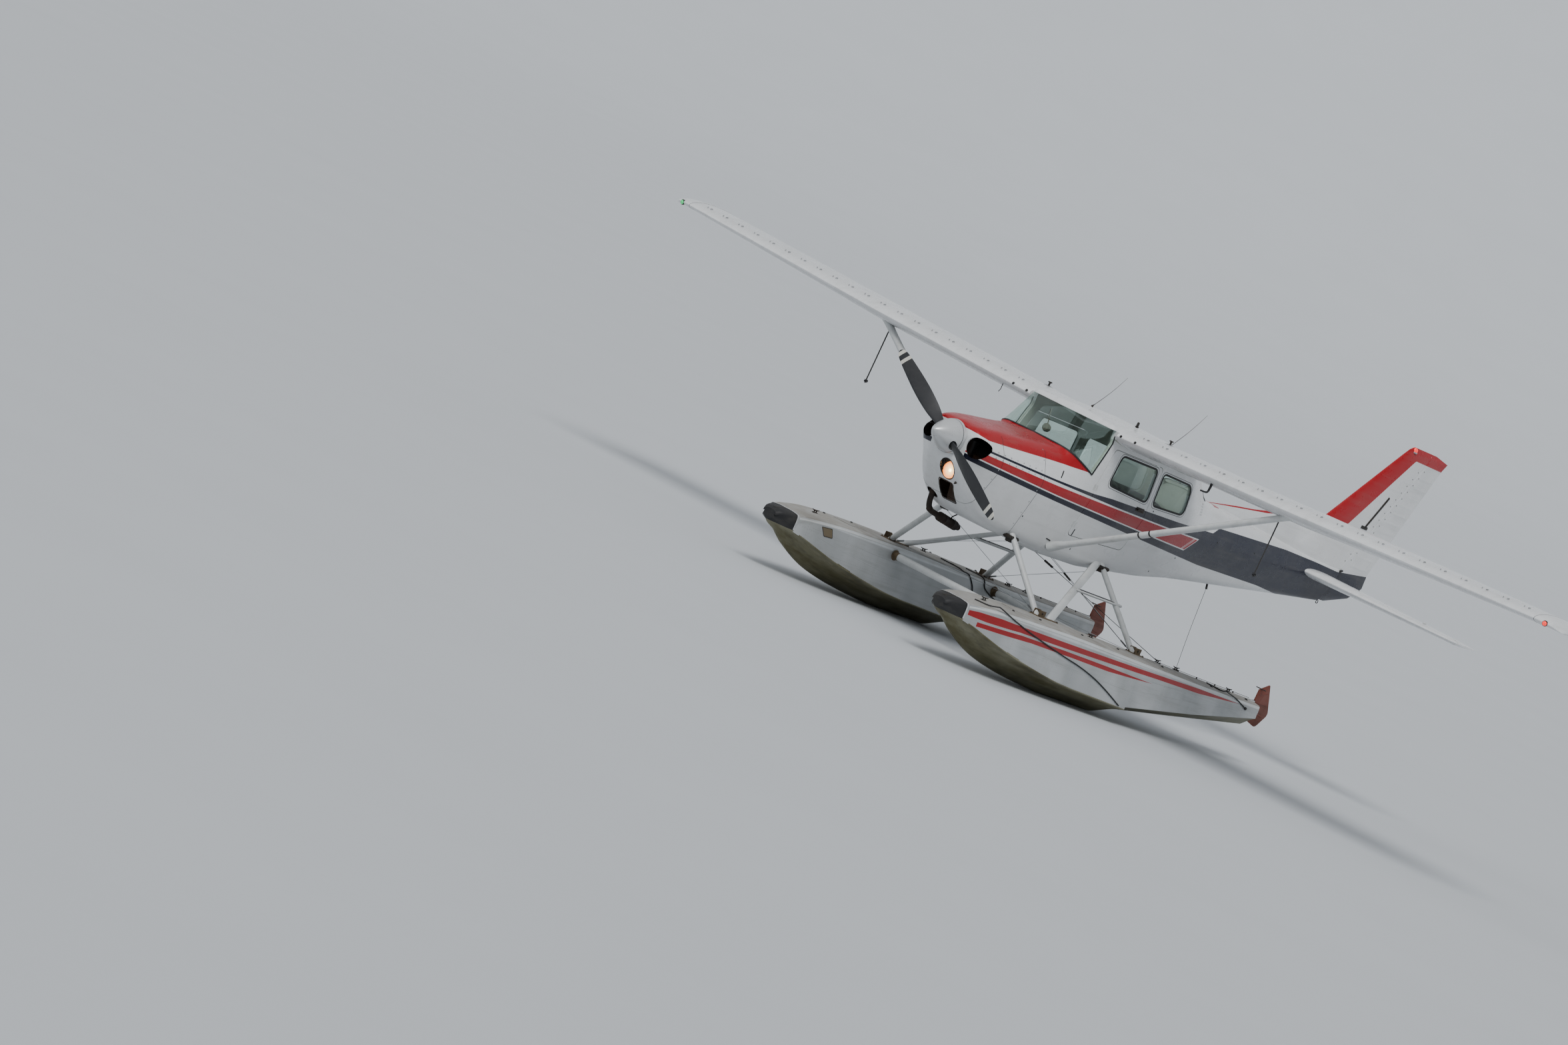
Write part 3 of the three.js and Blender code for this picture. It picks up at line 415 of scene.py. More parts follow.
class Wiring:
    """Short calls for placing and linking nodes in one tree."""

    def __init__(self, tree):
        self.tree = tree

    def node(self, kind, **values):
        n = self.tree.nodes.new(kind)
        for key, value in values.items():
            if hasattr(n, key):
                setattr(n, key, value)
        return n

    def put(self, socket, value):
        if isinstance(value, bpy.types.NodeSocket):
            self.tree.links.new(value, socket)
        elif value is not None:
            socket.default_value = value

    def math(self, operation, a, b=None, c=None):
        n = self.node("ShaderNodeMath", operation=operation)
        for socket, value in zip(n.inputs, (a, b, c)):
            self.put(socket, value)
        return n.outputs[0]

    times = partialmethod(math, "MULTIPLY")
    scaled = partialmethod(math, "MULTIPLY_ADD")
    plus = partialmethod(math, "ADD")
    minus = partialmethod(math, "SUBTRACT")
    most = partialmethod(math, "MAXIMUM")
    least = partialmethod(math, "MINIMUM")
    over = partialmethod(math, "GREATER_THAN")
    under = partialmethod(math, "LESS_THAN")
    size = partialmethod(math, "ABSOLUTE")

    def reach(self, a, b):
        """The length of the hypotenuse over two sides."""
        return self.math("SQRT", self.plus(self.math("POWER", a, 2.0), self.math("POWER", b, 2.0)))

    def mix(self, factor, a, b):
        n = self.node("ShaderNodeMix", data_type="RGBA")
        self.put(n.inputs[0], factor)
        self.put(n.inputs[6], a)
        self.put(n.inputs[7], b)
        return n.outputs[2]

    def noise(self, vector, scale, detail=4.0, rough=0.55):
        n = self.node("ShaderNodeTexNoise")
        self.put(n.inputs["Vector"], vector)
        n.inputs["Scale"].default_value = scale
        n.inputs["Detail"].default_value = detail
        n.inputs["Roughness"].default_value = rough
        return n.outputs["Fac"]

    def span(self, value, low, high, to_low=0.0, to_high=1.0, clamp=True):
        n = self.node("ShaderNodeMapRange", clamp=clamp)
        for socket, v in zip(n.inputs, (value, low, high, to_low, to_high)):
            self.put(socket, v)
        return n.outputs[0]

    def stretched(self, vector, scale):
        n = self.node("ShaderNodeMapping")
        self.put(n.inputs["Vector"], vector)
        n.inputs["Scale"].default_value = scale
        return n.outputs[0]

    def line(self, along, points, low=-0.6, high=2.2):
        """The value of a broken line through (place, value) points at a place along it."""
        points = np.asarray(points, float)
        start, stop = points[0, 0], points[-1, 0]
        curve = self.node("ShaderNodeFloatCurve")
        track = curve.mapping.curves[0]
        flat = np.column_stack([(points[:, 0] - start) / (stop - start), (points[:, 1] - low) / (high - low)])
        for p in flat[1:-1]:
            track.points.new(*p)
        for handle, p in zip(track.points, flat):
            handle.location = p
            handle.handle_type = "VECTOR"
        curve.mapping.update()
        self.put(curve.inputs["Value"], self.span(along, start, stop))
        return self.span(curve.outputs[0], 0.0, 1.0, low, high, clamp=False)


def make_weathering():
    """Dirt blotches, streaks along the airflow, fine grain and a bump height from object coordinates."""
    tree = node_group(
        "weathering",
        [
            ("Vector", "NodeSocketVector", None), ("Dirt", "NodeSocketFloat", 0.3),
            ("Streaks", "NodeSocketFloat", 0.3)
        ],
        [("Grime", "NodeSocketFloat"), ("Gloss", "NodeSocketFloat"), ("Height", "NodeSocketFloat")]
    )
    w = Wiring(tree)
    i, o = w.node("NodeGroupInput"), w.node("NodeGroupOutput")
    v = i.outputs["Vector"]
    blotch = w.span(w.noise(v, 2.2, 6.0, 0.6), 0.48, 0.75)
    streak = w.span(w.noise(w.stretched(v, (16, 0.9, 16)), 1.0, 5.0, 0.6), 0.5, 0.78)
    speck = w.span(w.noise(v, 60.0, 3.0, 0.6), 0.62, 0.75)
    grime = w.times(blotch, i.outputs["Dirt"])
    grime = w.scaled(streak, i.outputs["Streaks"], grime)
    grime = w.scaled(w.times(speck, i.outputs["Dirt"]), 0.5, grime)
    w.tree.links.new(w.least(grime, 1.0), o.inputs["Grime"])
    w.tree.links.new(w.span(w.noise(v, 7.0, 5.0), 0.3, 0.7, -0.06, 0.08), o.inputs["Gloss"])
    w.tree.links.new(w.noise(v, 14.0, 6.0, 0.62), o.inputs["Height"])
    return tree


# Fuselage livery lines as (Y, Z) points
DECK_LINE = [(-0.92, 0.135), (-0.85, 0.118), (-0.78, 0.108), (-0.30, 0.140), (0.045, 0.163), (0.56, 0.192)]
STRIPE_TOP = [(-0.93, 0.036), (0.17, 0.022), (0.42, 0.024), (0.78, 0.030), (1.10, 0.048), (2.42, 0.071),
              (3.17, 0.086), (3.30, 0.150), (4.76, 0.188), (5.44, 0.182), (5.90, 0.170), (6.60, 0.235)]
STRIPE_GAP = [(-0.93, 0.016), (0.17, 0.002), (0.75, -0.004), (1.20, -0.011), (3.00, -0.013)]
RED_TOP = [(-0.93, -0.010), (0.20, -0.026), (3.00, -0.025)]
RED_LOW = [(-0.93, -0.069), (0.26, -0.108), (2.77, -0.154), (3.10, -0.160)]
NAVY_LOW = [
    (-0.93, -0.128), (0.223, -0.166), (1.50, -0.202), (3.19, -0.252), (4.50, -0.236), (5.20, -0.260),
    (6.60, -0.300)
]
PINSTRIPE = 0.012
RED_END = (2.921, 0.992)
END_SLASHES = ((0.045, 0.054), (0.072, 0.081))
TAIL_RED = [(3.30, 0.314), (4.36, 0.440), (5.36, 0.615), (5.71, 0.645), (6.384, 1.474), (7.05, 1.469)]


def make_livery():
    """Where the red and the navy lie on the skin, as a red mask and a navy mask."""
    tree = node_group(
        "livery", [("Vector", "NodeSocketVector", None)],
        [("Red", "NodeSocketFloat"), ("Navy", "NodeSocketFloat")]
    )
    w = Wiring(tree)
    i, o = w.node("NodeGroupInput"), w.node("NodeGroupOutput")
    split = w.node("ShaderNodeSeparateXYZ")
    w.put(split.inputs[0], i.outputs["Vector"])
    x = w.size(split.outputs[0])
    y = w.minus(split.outputs[1], float(SHIFT[1]))
    z = w.minus(split.outputs[2], float(SHIFT[2]))

    def above(points, lift=0.0):
        return w.over(z, w.plus(w.line(y, points), lift))

    def both(*masks):
        out = masks[0]
        for m in masks[1:]:
            out = w.times(out, m)
        return out

    def lacking(m):
        return w.minus(1.0, m)

    wide = w.over(x, 0.20)
    past = w.minus(w.scaled(z, -RED_END[1], y), RED_END[0])
    before_end = w.under(past, 0.0)
    tail = w.over(past, PINSTRIPE)
    red = both(lacking(above(RED_TOP)), above(RED_LOW), before_end)
    for near, far in END_SLASHES:
        hit = both(w.over(past, -far), w.under(past, -near))
        red = both(red, lacking(hit))
    deck = both(above(DECK_LINE), w.under(y, 0.60))
    on_fin = both(above(TAIL_RED), w.over(y, 3.2))
    w.put(o.inputs["Red"], w.most(w.most(both(red, wide, w.under(y, 3.2)), deck), on_fin))
    inside = both(lacking(above(STRIPE_TOP)), above(NAVY_LOW), w.over(x, 0.0))
    upper = above(STRIPE_GAP)
    lower = lacking(above(RED_LOW, -PINSTRIPE))
    navy = both(inside, w.most(w.most(upper, lower), tail))
    front = w.most(wide, w.over(y, 3.0))
    w.put(o.inputs["Navy"], both(navy, front))
    return tree


def make_rivets():
    """Rows of rivet heads: a height where a repeated grid of points is near, with a pitch along each axis."""
    tree = node_group(
        "rivet_rows",
        [
            ("Along", "NodeSocketFloat", 0.0), ("Across", "NodeSocketFloat", 0.0),
            ("Pitch", "NodeSocketFloat", 0.03), ("Row", "NodeSocketFloat", 0.3),
            ("Radius", "NodeSocketFloat", 0.003)
        ],
        [("Height", "NodeSocketFloat"), ("Ring", "NodeSocketFloat")]
    )
    w = Wiring(tree)
    i, o = w.node("NodeGroupInput"), w.node("NodeGroupOutput")
    near = []
    for value, pitch in (("Along", "Pitch"), ("Across", "Row")):
        share = w.math("FRACT", w.math("DIVIDE", i.outputs[value], i.outputs[pitch]))
        near.append(w.times(w.minus(share, 0.5), i.outputs[pitch]))
    far = w.reach(near[0], near[1])
    share = w.math("DIVIDE", far, i.outputs["Radius"])
    w.put(o.inputs["Height"], w.span(share, 1.0, 0.3))
    w.put(o.inputs["Ring"], w.times(w.span(share, 0.8, 1.0), w.span(share, 1.6, 1.1)))
    return tree


GROUPS = {}
MATERIALS = {}


def group(name):
    """A shared effect, made the first time that a material asks for it."""
    makers = {"weathering": make_weathering, "livery": make_livery, "rivet_rows": make_rivets}
    if name not in GROUPS:
        GROUPS[name] = makers[name]()
    return GROUPS[name]


class Finish(Wiring):
    """A material with its Principled shader, object coordinates and short calls for the shared effects."""

    def __init__(self, name, **values):
        self.material = bpy.data.materials.new(name)
        self.material.use_nodes = True
        super().__init__(self.material.node_tree)
        self.shader = self.tree.nodes["Principled BSDF"]
        self.place = self.node("ShaderNodeTexCoord").outputs["Object"]
        for key, value in values.items():
            self.set(key.replace("_", " ").title().replace("Ior", "IOR"), value)
        MATERIALS[name] = self.material

    def set(self, socket, value):
        if isinstance(value, (tuple, list)) and len(value) == 3 and socket != "Normal":
            value = (*value, 1.0)
        self.put(self.shader.inputs[socket], value)

    def use(self, name, **values):
        n = self.node("ShaderNodeGroup")
        n.node_tree = group(name)
        for key, value in values.items():
            self.put(n.inputs[key], value)
        return n.outputs

    def worn(self, dirt, streaks):
        return self.use("weathering", Vector=self.place, Dirt=dirt, Streaks=streaks)

    def bump(self, height, strength, distance=0.002, normal=None):
        n = self.node("ShaderNodeBump")
        n.inputs["Strength"].default_value = strength
        n.inputs["Distance"].default_value = distance
        self.put(n.inputs["Height"], height)
        if normal is not None:
            self.put(n.inputs["Normal"], normal)
        return n.outputs[0]

    def parts(self):
        split = self.node("ShaderNodeSeparateXYZ")
        self.put(split.inputs[0], self.place)
        return split.outputs[0], split.outputs[1], split.outputs[2]


def colour(rgb):
    return (*rgb, 1.0)


def skin_paint():
    """Gloss paint in the aircraft's colours, with oily streaks, grime and faint waves of the thin skin."""
    s = settings()
    f = Finish("skin_paint", coat_weight=0.12, coat_roughness=0.12, specular_ior_level=0.34)
    worn = f.worn(0.22, 0.30)
    livery = f.use("livery", Vector=f.place)
    _, y, z = f.parts()
    # The fuselage is made darker and browner towards its bottom, mixed into the grime mask.
    low = f.span(z, 1.62, 1.15)
    grime = f.scaled(low, 0.22, worn["Grime"])
    base = f.mix(livery["Red"], colour(s.white), colour(s.red))
    base = f.mix(livery["Navy"], base, colour(s.navy))
    dull = f.mix(f.times(grime, 0.55), base, (0.20, 0.19, 0.165, 1))
    f.set("Base Color", dull)
    f.set("Roughness", f.plus(f.scaled(grime, 0.22, 0.27), worn["Gloss"]))
    rivets = f.use("rivet_rows", Along=y, Across=f.plus(z, 0.11), Pitch=0.034, Row=0.41, Radius=0.0028)
    height = f.scaled(rivets["Height"], 0.25, f.times(worn["Height"], 0.6))
    f.set("Normal", f.bump(height, 0.16, 0.003))


def wing_paint():
    """White paint with rivet rows along each rib and stringer, and grime."""
    s = settings()
    f = Finish("wing_paint", coat_weight=0.3, coat_roughness=0.14, specular_ior_level=0.5)
    worn = f.worn(0.20, 0.42)
    x, y, _ = f.parts()
    side = f.size(x)
    ribs = f.use("rivet_rows", Along=y, Across=side, Pitch=0.030, Row=0.31, Radius=0.0026)
    spars = f.use("rivet_rows", Along=side, Across=f.plus(y, 0.19), Pitch=0.030, Row=0.46, Radius=0.0026)
    rivet = f.most(ribs["Height"], spars["Height"])
    ring = f.most(ribs["Ring"], spars["Ring"])
    grime = f.most(worn["Grime"], f.times(ring, 0.35))
    f.set("Base Color", f.mix(f.times(grime, 0.5), colour(s.white), (0.23, 0.22, 0.19, 1)))
    f.set("Roughness", f.plus(f.scaled(grime, 0.2, 0.26), worn["Gloss"]))
    f.set("Normal", f.bump(f.scaled(rivet, 0.8, f.times(worn["Height"], 0.5)), 0.18, 0.002))


def plain_finish(
    name, base, roughness, metallic=0.0, dirt=0.25, second=(0.12, 0.11, 0.09), bump=0.12, grain=None, **more
):
    """A painted, moulded or bare surface with grime, uneven gloss and a fine bump."""
    f = Finish(name, metallic=metallic, **more)
    worn = f.worn(dirt, dirt)
    f.set("Base Color", f.mix(worn["Grime"], colour(base), colour(second)))
    f.set("Roughness", f.plus(f.scaled(worn["Grime"], 0.25, roughness), worn["Gloss"]))
    height = worn["Height"]
    if grain:
        height = f.scaled(f.noise(f.place, grain, 3.0), 0.6, height)
    f.set("Normal", f.bump(height, bump, 0.003))


def float_side_paint():
    """Weathered silver-grey float paint: lighter along the top, grimy in blotches and streaks, riveted,
    with two red stripes on the outer side of each float."""
    s = settings()
    f = Finish("float_side_paint", metallic=0.25, coat_weight=0.12, coat_roughness=0.3)
    worn = f.worn(0.42, 0.45)
    x, y, z = f.parts()
    along = f.minus(y, float(SHIFT[1]))
    high = f.minus(z, float(SHIFT[2]))
    outer = f.over(f.size(x), FLOAT_X + 0.03)

    def band(low, top, start, stop):
        under = f.under(high, f.line(along, top, -2.0, -1.0))
        inside = f.times(under, f.over(high, f.line(along, low, -2.0, -1.0)))
        reach = f.times(f.over(along, start), f.under(along, stop))
        return f.times(inside, reach)

    upper = band(
        [
            (-1.42, -1.345), (-1.04, -1.346), (-0.55, -1.322), (0.15, -1.316), (1.82, -1.296), (2.60, -1.293),
            (3.45, -1.262)
        ],
        [
            (-1.42, -1.318), (-1.28, -1.302), (-1.15, -1.284), (-0.85, -1.268), (0.55, -1.264),
            (2.60, -1.250), (3.45, -1.262)
        ],
        -1.262, 3.43
    )
    lower = band(
        [(-1.42, -1.43), (-1.03, -1.408), (-0.36, -1.378), (0.34, -1.376), (0.95, -1.380), (1.75, -1.350)],
        [(-1.42, -1.39), (-1.15, -1.374), (-0.54, -1.342), (0.16, -1.336), (0.92, -1.340), (1.75, -1.350)],
        -1.135, 1.74,
    )
    stripe = f.times(f.most(upper, lower), outer)
    seam = f.use("rivet_rows", Along=z, Across=y, Pitch=0.026, Row=0.52, Radius=0.0030)
    rails = f.use("rivet_rows", Along=y, Across=f.plus(z, 0.055), Pitch=0.028, Row=0.155, Radius=0.0030)
    rivet = f.most(seam["Height"], rails["Height"])
    ring = f.most(seam["Ring"], rails["Ring"])
    panel = f.span(f.noise(f.stretched(f.place, (0.5, 1.9, 0.6)), 1.0, 2.0), 0.4, 0.62)
    base = f.mix(panel, colour(s.hull), (0.37, 0.385, 0.39, 1))
    base = f.mix(f.span(high, -1.245, -1.235), base, (0.62, 0.64, 0.65, 1))
    base = f.mix(f.times(worn["Grime"], 0.75), base, (0.19, 0.185, 0.16, 1))
    base = f.mix(f.times(ring, 0.5), base, (0.10, 0.10, 0.09, 1))
    faded = f.mix(f.times(worn["Grime"], 0.4), (0.33, 0.010, 0.013, 1), (0.16, 0.03, 0.025, 1))
    f.set("Base Color", f.mix(stripe, base, faded))
    f.set("Roughness", f.plus(f.scaled(worn["Grime"], 0.2, 0.40), worn["Gloss"]))
    f.set("Normal", f.bump(f.scaled(rivet, 1.2, f.times(worn["Height"], 1.1)), 0.30, 0.002))


def float_bottom_paint():
    """The float's planing bottom: olive-stained metal, blotched and grimy, with rivet rows."""
    f = Finish("float_bottom_paint", metallic=0.35)
    worn = f.worn(0.6, 0.75)
    x, y, _ = f.parts()
    scum = f.span(f.noise(f.stretched(f.place, (4, 0.7, 4)), 1.6, 6.0, 0.62), 0.36, 0.66)
    base = f.mix(scum, (0.105, 0.094, 0.040, 1), (0.24, 0.23, 0.155, 1))
    base = f.mix(f.times(worn["Grime"], 0.7), base, (0.035, 0.030, 0.018, 1))
    f.set("Base Color", base)
    f.set("Roughness", f.plus(0.5, worn["Gloss"]))
    rivet = f.use("rivet_rows", Along=y, Across=f.size(f.minus(f.size(x), FLOAT_X)),
                  Pitch=0.03, Row=0.17, Radius=0.0032)
    f.set("Normal", f.bump(f.scaled(rivet["Height"], 1.2, worn["Height"]), 0.3, 0.002))


def float_deck_paint():
    """Dull tan non-slip deck paint, patched with grey and grime at random."""
    f = Finish("float_deck_paint", metallic=0.0)
    worn = f.worn(0.7, 0.35)
    base = f.mix(
        f.span(f.noise(f.place, 5.0, 6.0), 0.42, 0.62), (0.285, 0.272, 0.245, 1), (0.35, 0.345, 0.33, 1)
    )
    base = f.mix(f.times(worn["Grime"], 0.5), base, (0.11, 0.10, 0.085, 1))
    f.set("Base Color", base)
    f.set("Roughness", f.plus(0.72, worn["Gloss"]))
    grit = f.noise(f.place, 420.0, 2.0)
    f.set("Normal", f.bump(grit, 0.45, 0.0015))


def window_plastic():
    """Green-tinted acrylic glazing with faint crazing."""
    f = Finish("window_plastic", metallic=0.0, transmission_weight=1.0, ior=1.18, specular_ior_level=0.62)
    f.set("Base Color", (0.80, 0.93, 0.88))
    f.set("Roughness", f.span(f.noise(f.place, 9.0, 5.0), 0.4, 0.7, 0.0, 0.035))
    clear, blend = f.node("ShaderNodeBsdfTransparent"), f.node("ShaderNodeMixShader")
    clear.inputs[0].default_value = (0.91, 0.965, 0.945, 1)
    rays = f.node("ShaderNodeLightPath")
    f.put(blend.inputs[0], f.most(rays.outputs["Is Shadow Ray"], 0.80))
    f.put(blend.inputs[1], f.shader.outputs[0])
    f.put(blend.inputs[2], clear.outputs[0])
    f.put(f.tree.nodes["Material Output"].inputs[0], blend.outputs[0])


def landing_lens():
    """Clear lens over the reflector dish, whose glow is painted."""
    f = Finish("landing_lens", transmission_weight=1.0, ior=1.2, roughness=0.02)
    ribs = f.math("SINE", f.times(f.parts()[0], 520.0))
    f.set("Base Color", (1.0, 0.97, 0.92))
    f.set("Normal", f.bump(ribs, 0.25, 0.001))


def lamp_glow():
    """Reflector dish behind the lens with a painted warm glow, brightest at its centre, for the lit bulb's
    reflection.
    """
    f = Finish("lamp_glow", base_color=(0.9, 0.6, 0.3), roughness=0.3, emission_strength=3.2)
    x, _, z = f.parts()
    dx, dz = f.minus(x, 0.057), f.minus(z, float(SHIFT[2]) - 0.286)
    far = f.reach(dx, dz)
    f.set("Emission Color", f.mix(f.span(far, 0.012, 0.07), (1.0, 0.78, 0.42, 1), (0.75, 0.20, 0.03, 1)))


def lit_lens(name, rgb, strength):
    """A small coloured lens with its lamp on."""
    f = Finish(name, base_color=rgb, roughness=0.18, coat_weight=0.6, emission_strength=strength)
    f.set(
        "Emission Color",
        f.mix(f.span(f.noise(f.place, 40.0), 0.3, 0.7), colour(rgb), colour([c * 0.6 for c in rgb]))
    )


def seat_cloth():
    """Woven grey-brown upholstery: crossed threads as bump, faded in patches, with a soft sheen."""
    f = Finish("seat_cloth", sheen_weight=0.25, sheen_roughness=0.5)
    x, y, z = f.parts()
    warp = f.math("SINE", f.times(x, 2400.0))
    weft = f.math("SINE", f.times(f.plus(y, z), 2400.0))
    weave = f.times(warp, weft)
    fade = f.span(f.noise(f.place, 6.0, 5.0), 0.35, 0.65)
    base = f.mix(fade, (0.060, 0.055, 0.052, 1), (0.115, 0.105, 0.098, 1))
    f.set("Base Color", f.mix(f.span(weave, -1.0, 1.0), base, (0.035, 0.033, 0.033, 1)))
    f.set("Roughness", f.span(fade, 0.0, 1.0, 0.8, 0.95))
    f.set("Normal", f.bump(weave, 0.35, 0.0008))


def rope_fibre():
    """Dark braided line: slanted yarns from the piece's own UV map."""
    f = Finish("rope_fibre", sheen_weight=0.15)
    uv = f.node("ShaderNodeUVMap").outputs[0]
    split = f.node("ShaderNodeSeparateXYZ")
    f.put(split.inputs[0], uv)
    yarn = f.math("SINE", f.scaled(split.outputs[1], 900.0, f.times(split.outputs[0], 44.0)))
    f.set("Base Color", f.mix(f.span(yarn, -0.6, 0.9), (0.010, 0.010, 0.011, 1), (0.055, 0.052, 0.048, 1)))
    f.set("Roughness", f.span(yarn, -1.0, 1.0, 0.95, 0.75))
    f.set("Normal", f.bump(yarn, 0.5, 0.001))


def bare_metal():
    """Brushed and pitted aluminium or steel."""
    f = Finish("bare_metal", metallic=1.0)
    worn = f.worn(0.5, 0.4)
    brush = f.noise(f.stretched(f.place, (240, 240, 18)), 1.0, 3.0)
    f.set("Base Color", f.mix(worn["Grime"], (0.52, 0.53, 0.54, 1), (0.20, 0.19, 0.17, 1)))
    f.set("Roughness", f.scaled(brush, 0.25, 0.22))
    f.set("Normal", f.bump(brush, 0.1, 0.001))


def blade_paint():
    """Propeller finish: near-black blades with two pale bands towards each tip, worn in patches."""
    f = Finish("blade_paint", coat_weight=0.2, coat_roughness=0.25)
    x, _, z = f.parts()
    dz = f.minus(z, float(SHIFT[2]))
    far = f.reach(x, dz)
    bands = f.most(*[
        f.times(f.over(far, low), f.under(far, high))
        for low, high in ((0.862, 0.898), (0.948, 0.984))
    ])
    worn = f.worn(0.4, 0.2)
    base = f.mix(bands, (0.012, 0.013, 0.016, 1), (0.70, 0.68, 0.60, 1))
    f.set("Base Color", f.mix(f.times(worn["Grime"], 0.5), base, (0.09, 0.085, 0.08, 1)))
    f.set("Roughness", f.plus(0.42, worn["Gloss"]))
    f.set("Normal", f.bump(worn["Height"], 0.08, 0.002))


def make_materials():
    for maker in (
        skin_paint, wing_paint, float_side_paint, float_bottom_paint, float_deck_paint, window_plastic,
        landing_lens, lamp_glow, seat_cloth, rope_fibre, bare_metal, blade_paint,
    ):
        maker()
    plain_finish(
        "strut_paint", (0.60, 0.615, 0.61), 0.34, dirt=0.28, second=(0.20, 0.19, 0.16), coat_weight=0.2
    )
    plain_finish("spinner_paint", (0.60, 0.61, 0.615), 0.30, metallic=0.35, dirt=0.16, coat_weight=0.3)
    plain_finish(
        "rubber", (0.012, 0.012, 0.013), 0.62, dirt=0.35, second=(0.07, 0.065, 0.055), bump=0.3, grain=160.0
    )
    plain_finish("black_plastic", (0.012, 0.012, 0.013), 0.45, dirt=0.1, bump=0.2, grain=500.0)
    plain_finish("dark_metal", (0.045, 0.042, 0.038), 0.5, metallic=0.7, dirt=0.4, second=(0.10, 0.055, 0.03))
    plain_finish(
        "exhaust_steel", (0.030, 0.025, 0.022), 0.55, metallic=0.7, dirt=0.6, second=(0.080, 0.045, 0.026),
        bump=0.3
    )
    plain_finish("fitting_brown", (0.14, 0.10, 0.055), 0.5, metallic=0.5, dirt=0.5, second=(0.05, 0.03, 0.02))
    plain_finish(
        "rudder_paint", (0.165, 0.035, 0.018), 0.5, dirt=0.75, second=(0.045, 0.018, 0.008), bump=0.2
    )
    plain_finish("engine_iron", (0.06, 0.06, 0.062), 0.55, metallic=0.6, dirt=0.5)
    plain_finish(
        "cabin_lining", (0.42, 0.43, 0.38), 0.75, dirt=0.25, second=(0.22, 0.21, 0.18), bump=0.3, grain=300.0
    )
    plain_finish("cabin_carpet", (0.05, 0.045, 0.042), 0.95, dirt=0.4, bump=0.6, grain=700.0)
    plain_finish("hatch_paint", (0.13, 0.10, 0.055), 0.6, dirt=0.5)
    plain_finish("dial_face", (0.012, 0.012, 0.012), 0.35, dirt=0.05, coat_weight=0.8)
    plain_finish("dial_mark", (0.75, 0.76, 0.74), 0.5, dirt=0.05)
    plain_finish("wire_steel", (0.30, 0.31, 0.32), 0.35, metallic=0.9, dirt=0.3)
    lit_lens("filament", (1.0, 0.86, 0.55), 9.0)
    lit_lens("red_lens", (0.85, 0.03, 0.02), 1.6)
    lit_lens("green_lens", (0.03, 0.55, 0.16), 0.8)


# Fuselage form. Columns in millimetres: Y, bottom Z, top Z, half widths at bottom, middle and top,
# middle Z, corner radii at bottom and top.
MM = 0.001
COWL_ROWS = MM * np.array([
    [-890, -118, 150, 120, 290, 120, 5, 110, 110],
    [-865, -215, 172, 190, 385, 200, 0, 150, 140],
    [-790, -325, 194, 245, 432, 240, -10, 170, 160],
    [-640, -490, 220, 290, 462, 280, -30, 180, 180],
    [-420, -612, 243, 330, 490, 320, -40, 180, 200],
    [-180, -655, 265, 370, 512, 355, -50, 160, 215],
    [0, -655, 283, 390, 525, 380, -50, 150, 230],
])
BODY_ROWS = MM * np.array([
    [0, -655, 283, 390, 525, 380, -50, 150, 230],
    [250, -672, 318, 405, 540, 410, -50, 150, 220],
    [700, -690, 706, 405, 545, 505, -50, 140, 60],
    [1300, -676, 742, 405, 545, 505, -50, 140, 60],
    [2330, -570, 700, 345, 480, 440, -20, 130, 60],
    [2950, -482, 352, 275, 390, 250, 10, 120, 150],
    [4400, -325, 272, 155, 240, 130, 20, 90, 100],
    [5300, -222, 212, 85, 138, 75, 30, 60, 60],
    [6040, -140, 205, 40, 58, 40, 40, 30, 35],
])
SOFT_REACH = np.array([
    [0, 0], [0.68, 0], [0.76, 0.05], [2.2, 0.06], [2.7, 0.12], [3.4, 0.25], [5.75, 0.2], [6.04, 0]
])
ROOF_CROWN = 0.06
FLANK_RADIUS = 0.26
TIGHTEST_CORNER = 0.02


def body_rows(at):
    return softened(BODY_ROWS, at, np.interp(at, SOFT_REACH[:, 0], SOFT_REACH[:, 1]))


def half_rings(rows, grow=0.0, grow_bottom=None, steps=7, straights=4):
    """The left half of each fuselage ring, top to bottom: four straight sides whose three corners are
    quadratic curves. Each side may be pushed out, and a corner drawn in is tighter."""
    low = grow if grow_bottom is None else grow_bottom
    y, bottom, top, low_half, mid_half, top_half, mid_z, low_radius, top_radius = np.asarray(rows, float).T
    zero = np.zeros_like(y)
    shoulder = top - ROOF_CROWN * top_half
    corners = np.stack([
        np.stack([zero, top + grow], -1),
        np.stack([top_half + grow, shoulder + grow], -1),
        np.stack([mid_half + grow, mid_z], -1),
        np.stack([low_half + grow, bottom - low], -1),
        np.stack([zero, bottom - low], -1),
    ], 1)
    radius = np.stack(
        [
            np.maximum(top_radius + grow, TIGHTEST_CORNER), zero + FLANK_RADIUS,
            np.maximum(low_radius + low, TIGHTEST_CORNER)
        ],
        1
    )
    here = corners[:, 1:4]
    a, b = corner_ends(corners[:, 0:3], here, corners[:, 2:5], radius)
    t = np.linspace(0, 1, steps + 1)[:-1, None]
    s = np.linspace(0, 1, straights + 1)[:-1, None]
    runs = []
    for k in range(3):
        start = corners[:, 0] if k == 0 else b[:, k - 1]
        runs.append(start[:, None] + (a[:, k] - start)[:, None] * s)
        runs.append((1 - t) ** 2 * a[:, k, None] + 2 * t * (1 - t) * here[:, k, None] + t**2 * b[:, k, None])
    s = np.linspace(0, 1, straights + 1)[:, None]
    runs.append(b[:, 2, None] + (corners[:, 4] - b[:, 2])[:, None] * s)
    flat = np.concatenate(runs, 1)
    return np.stack([flat[..., 0], np.broadcast_to(y[:, None], flat.shape[:2]), flat[..., 1]], -1)


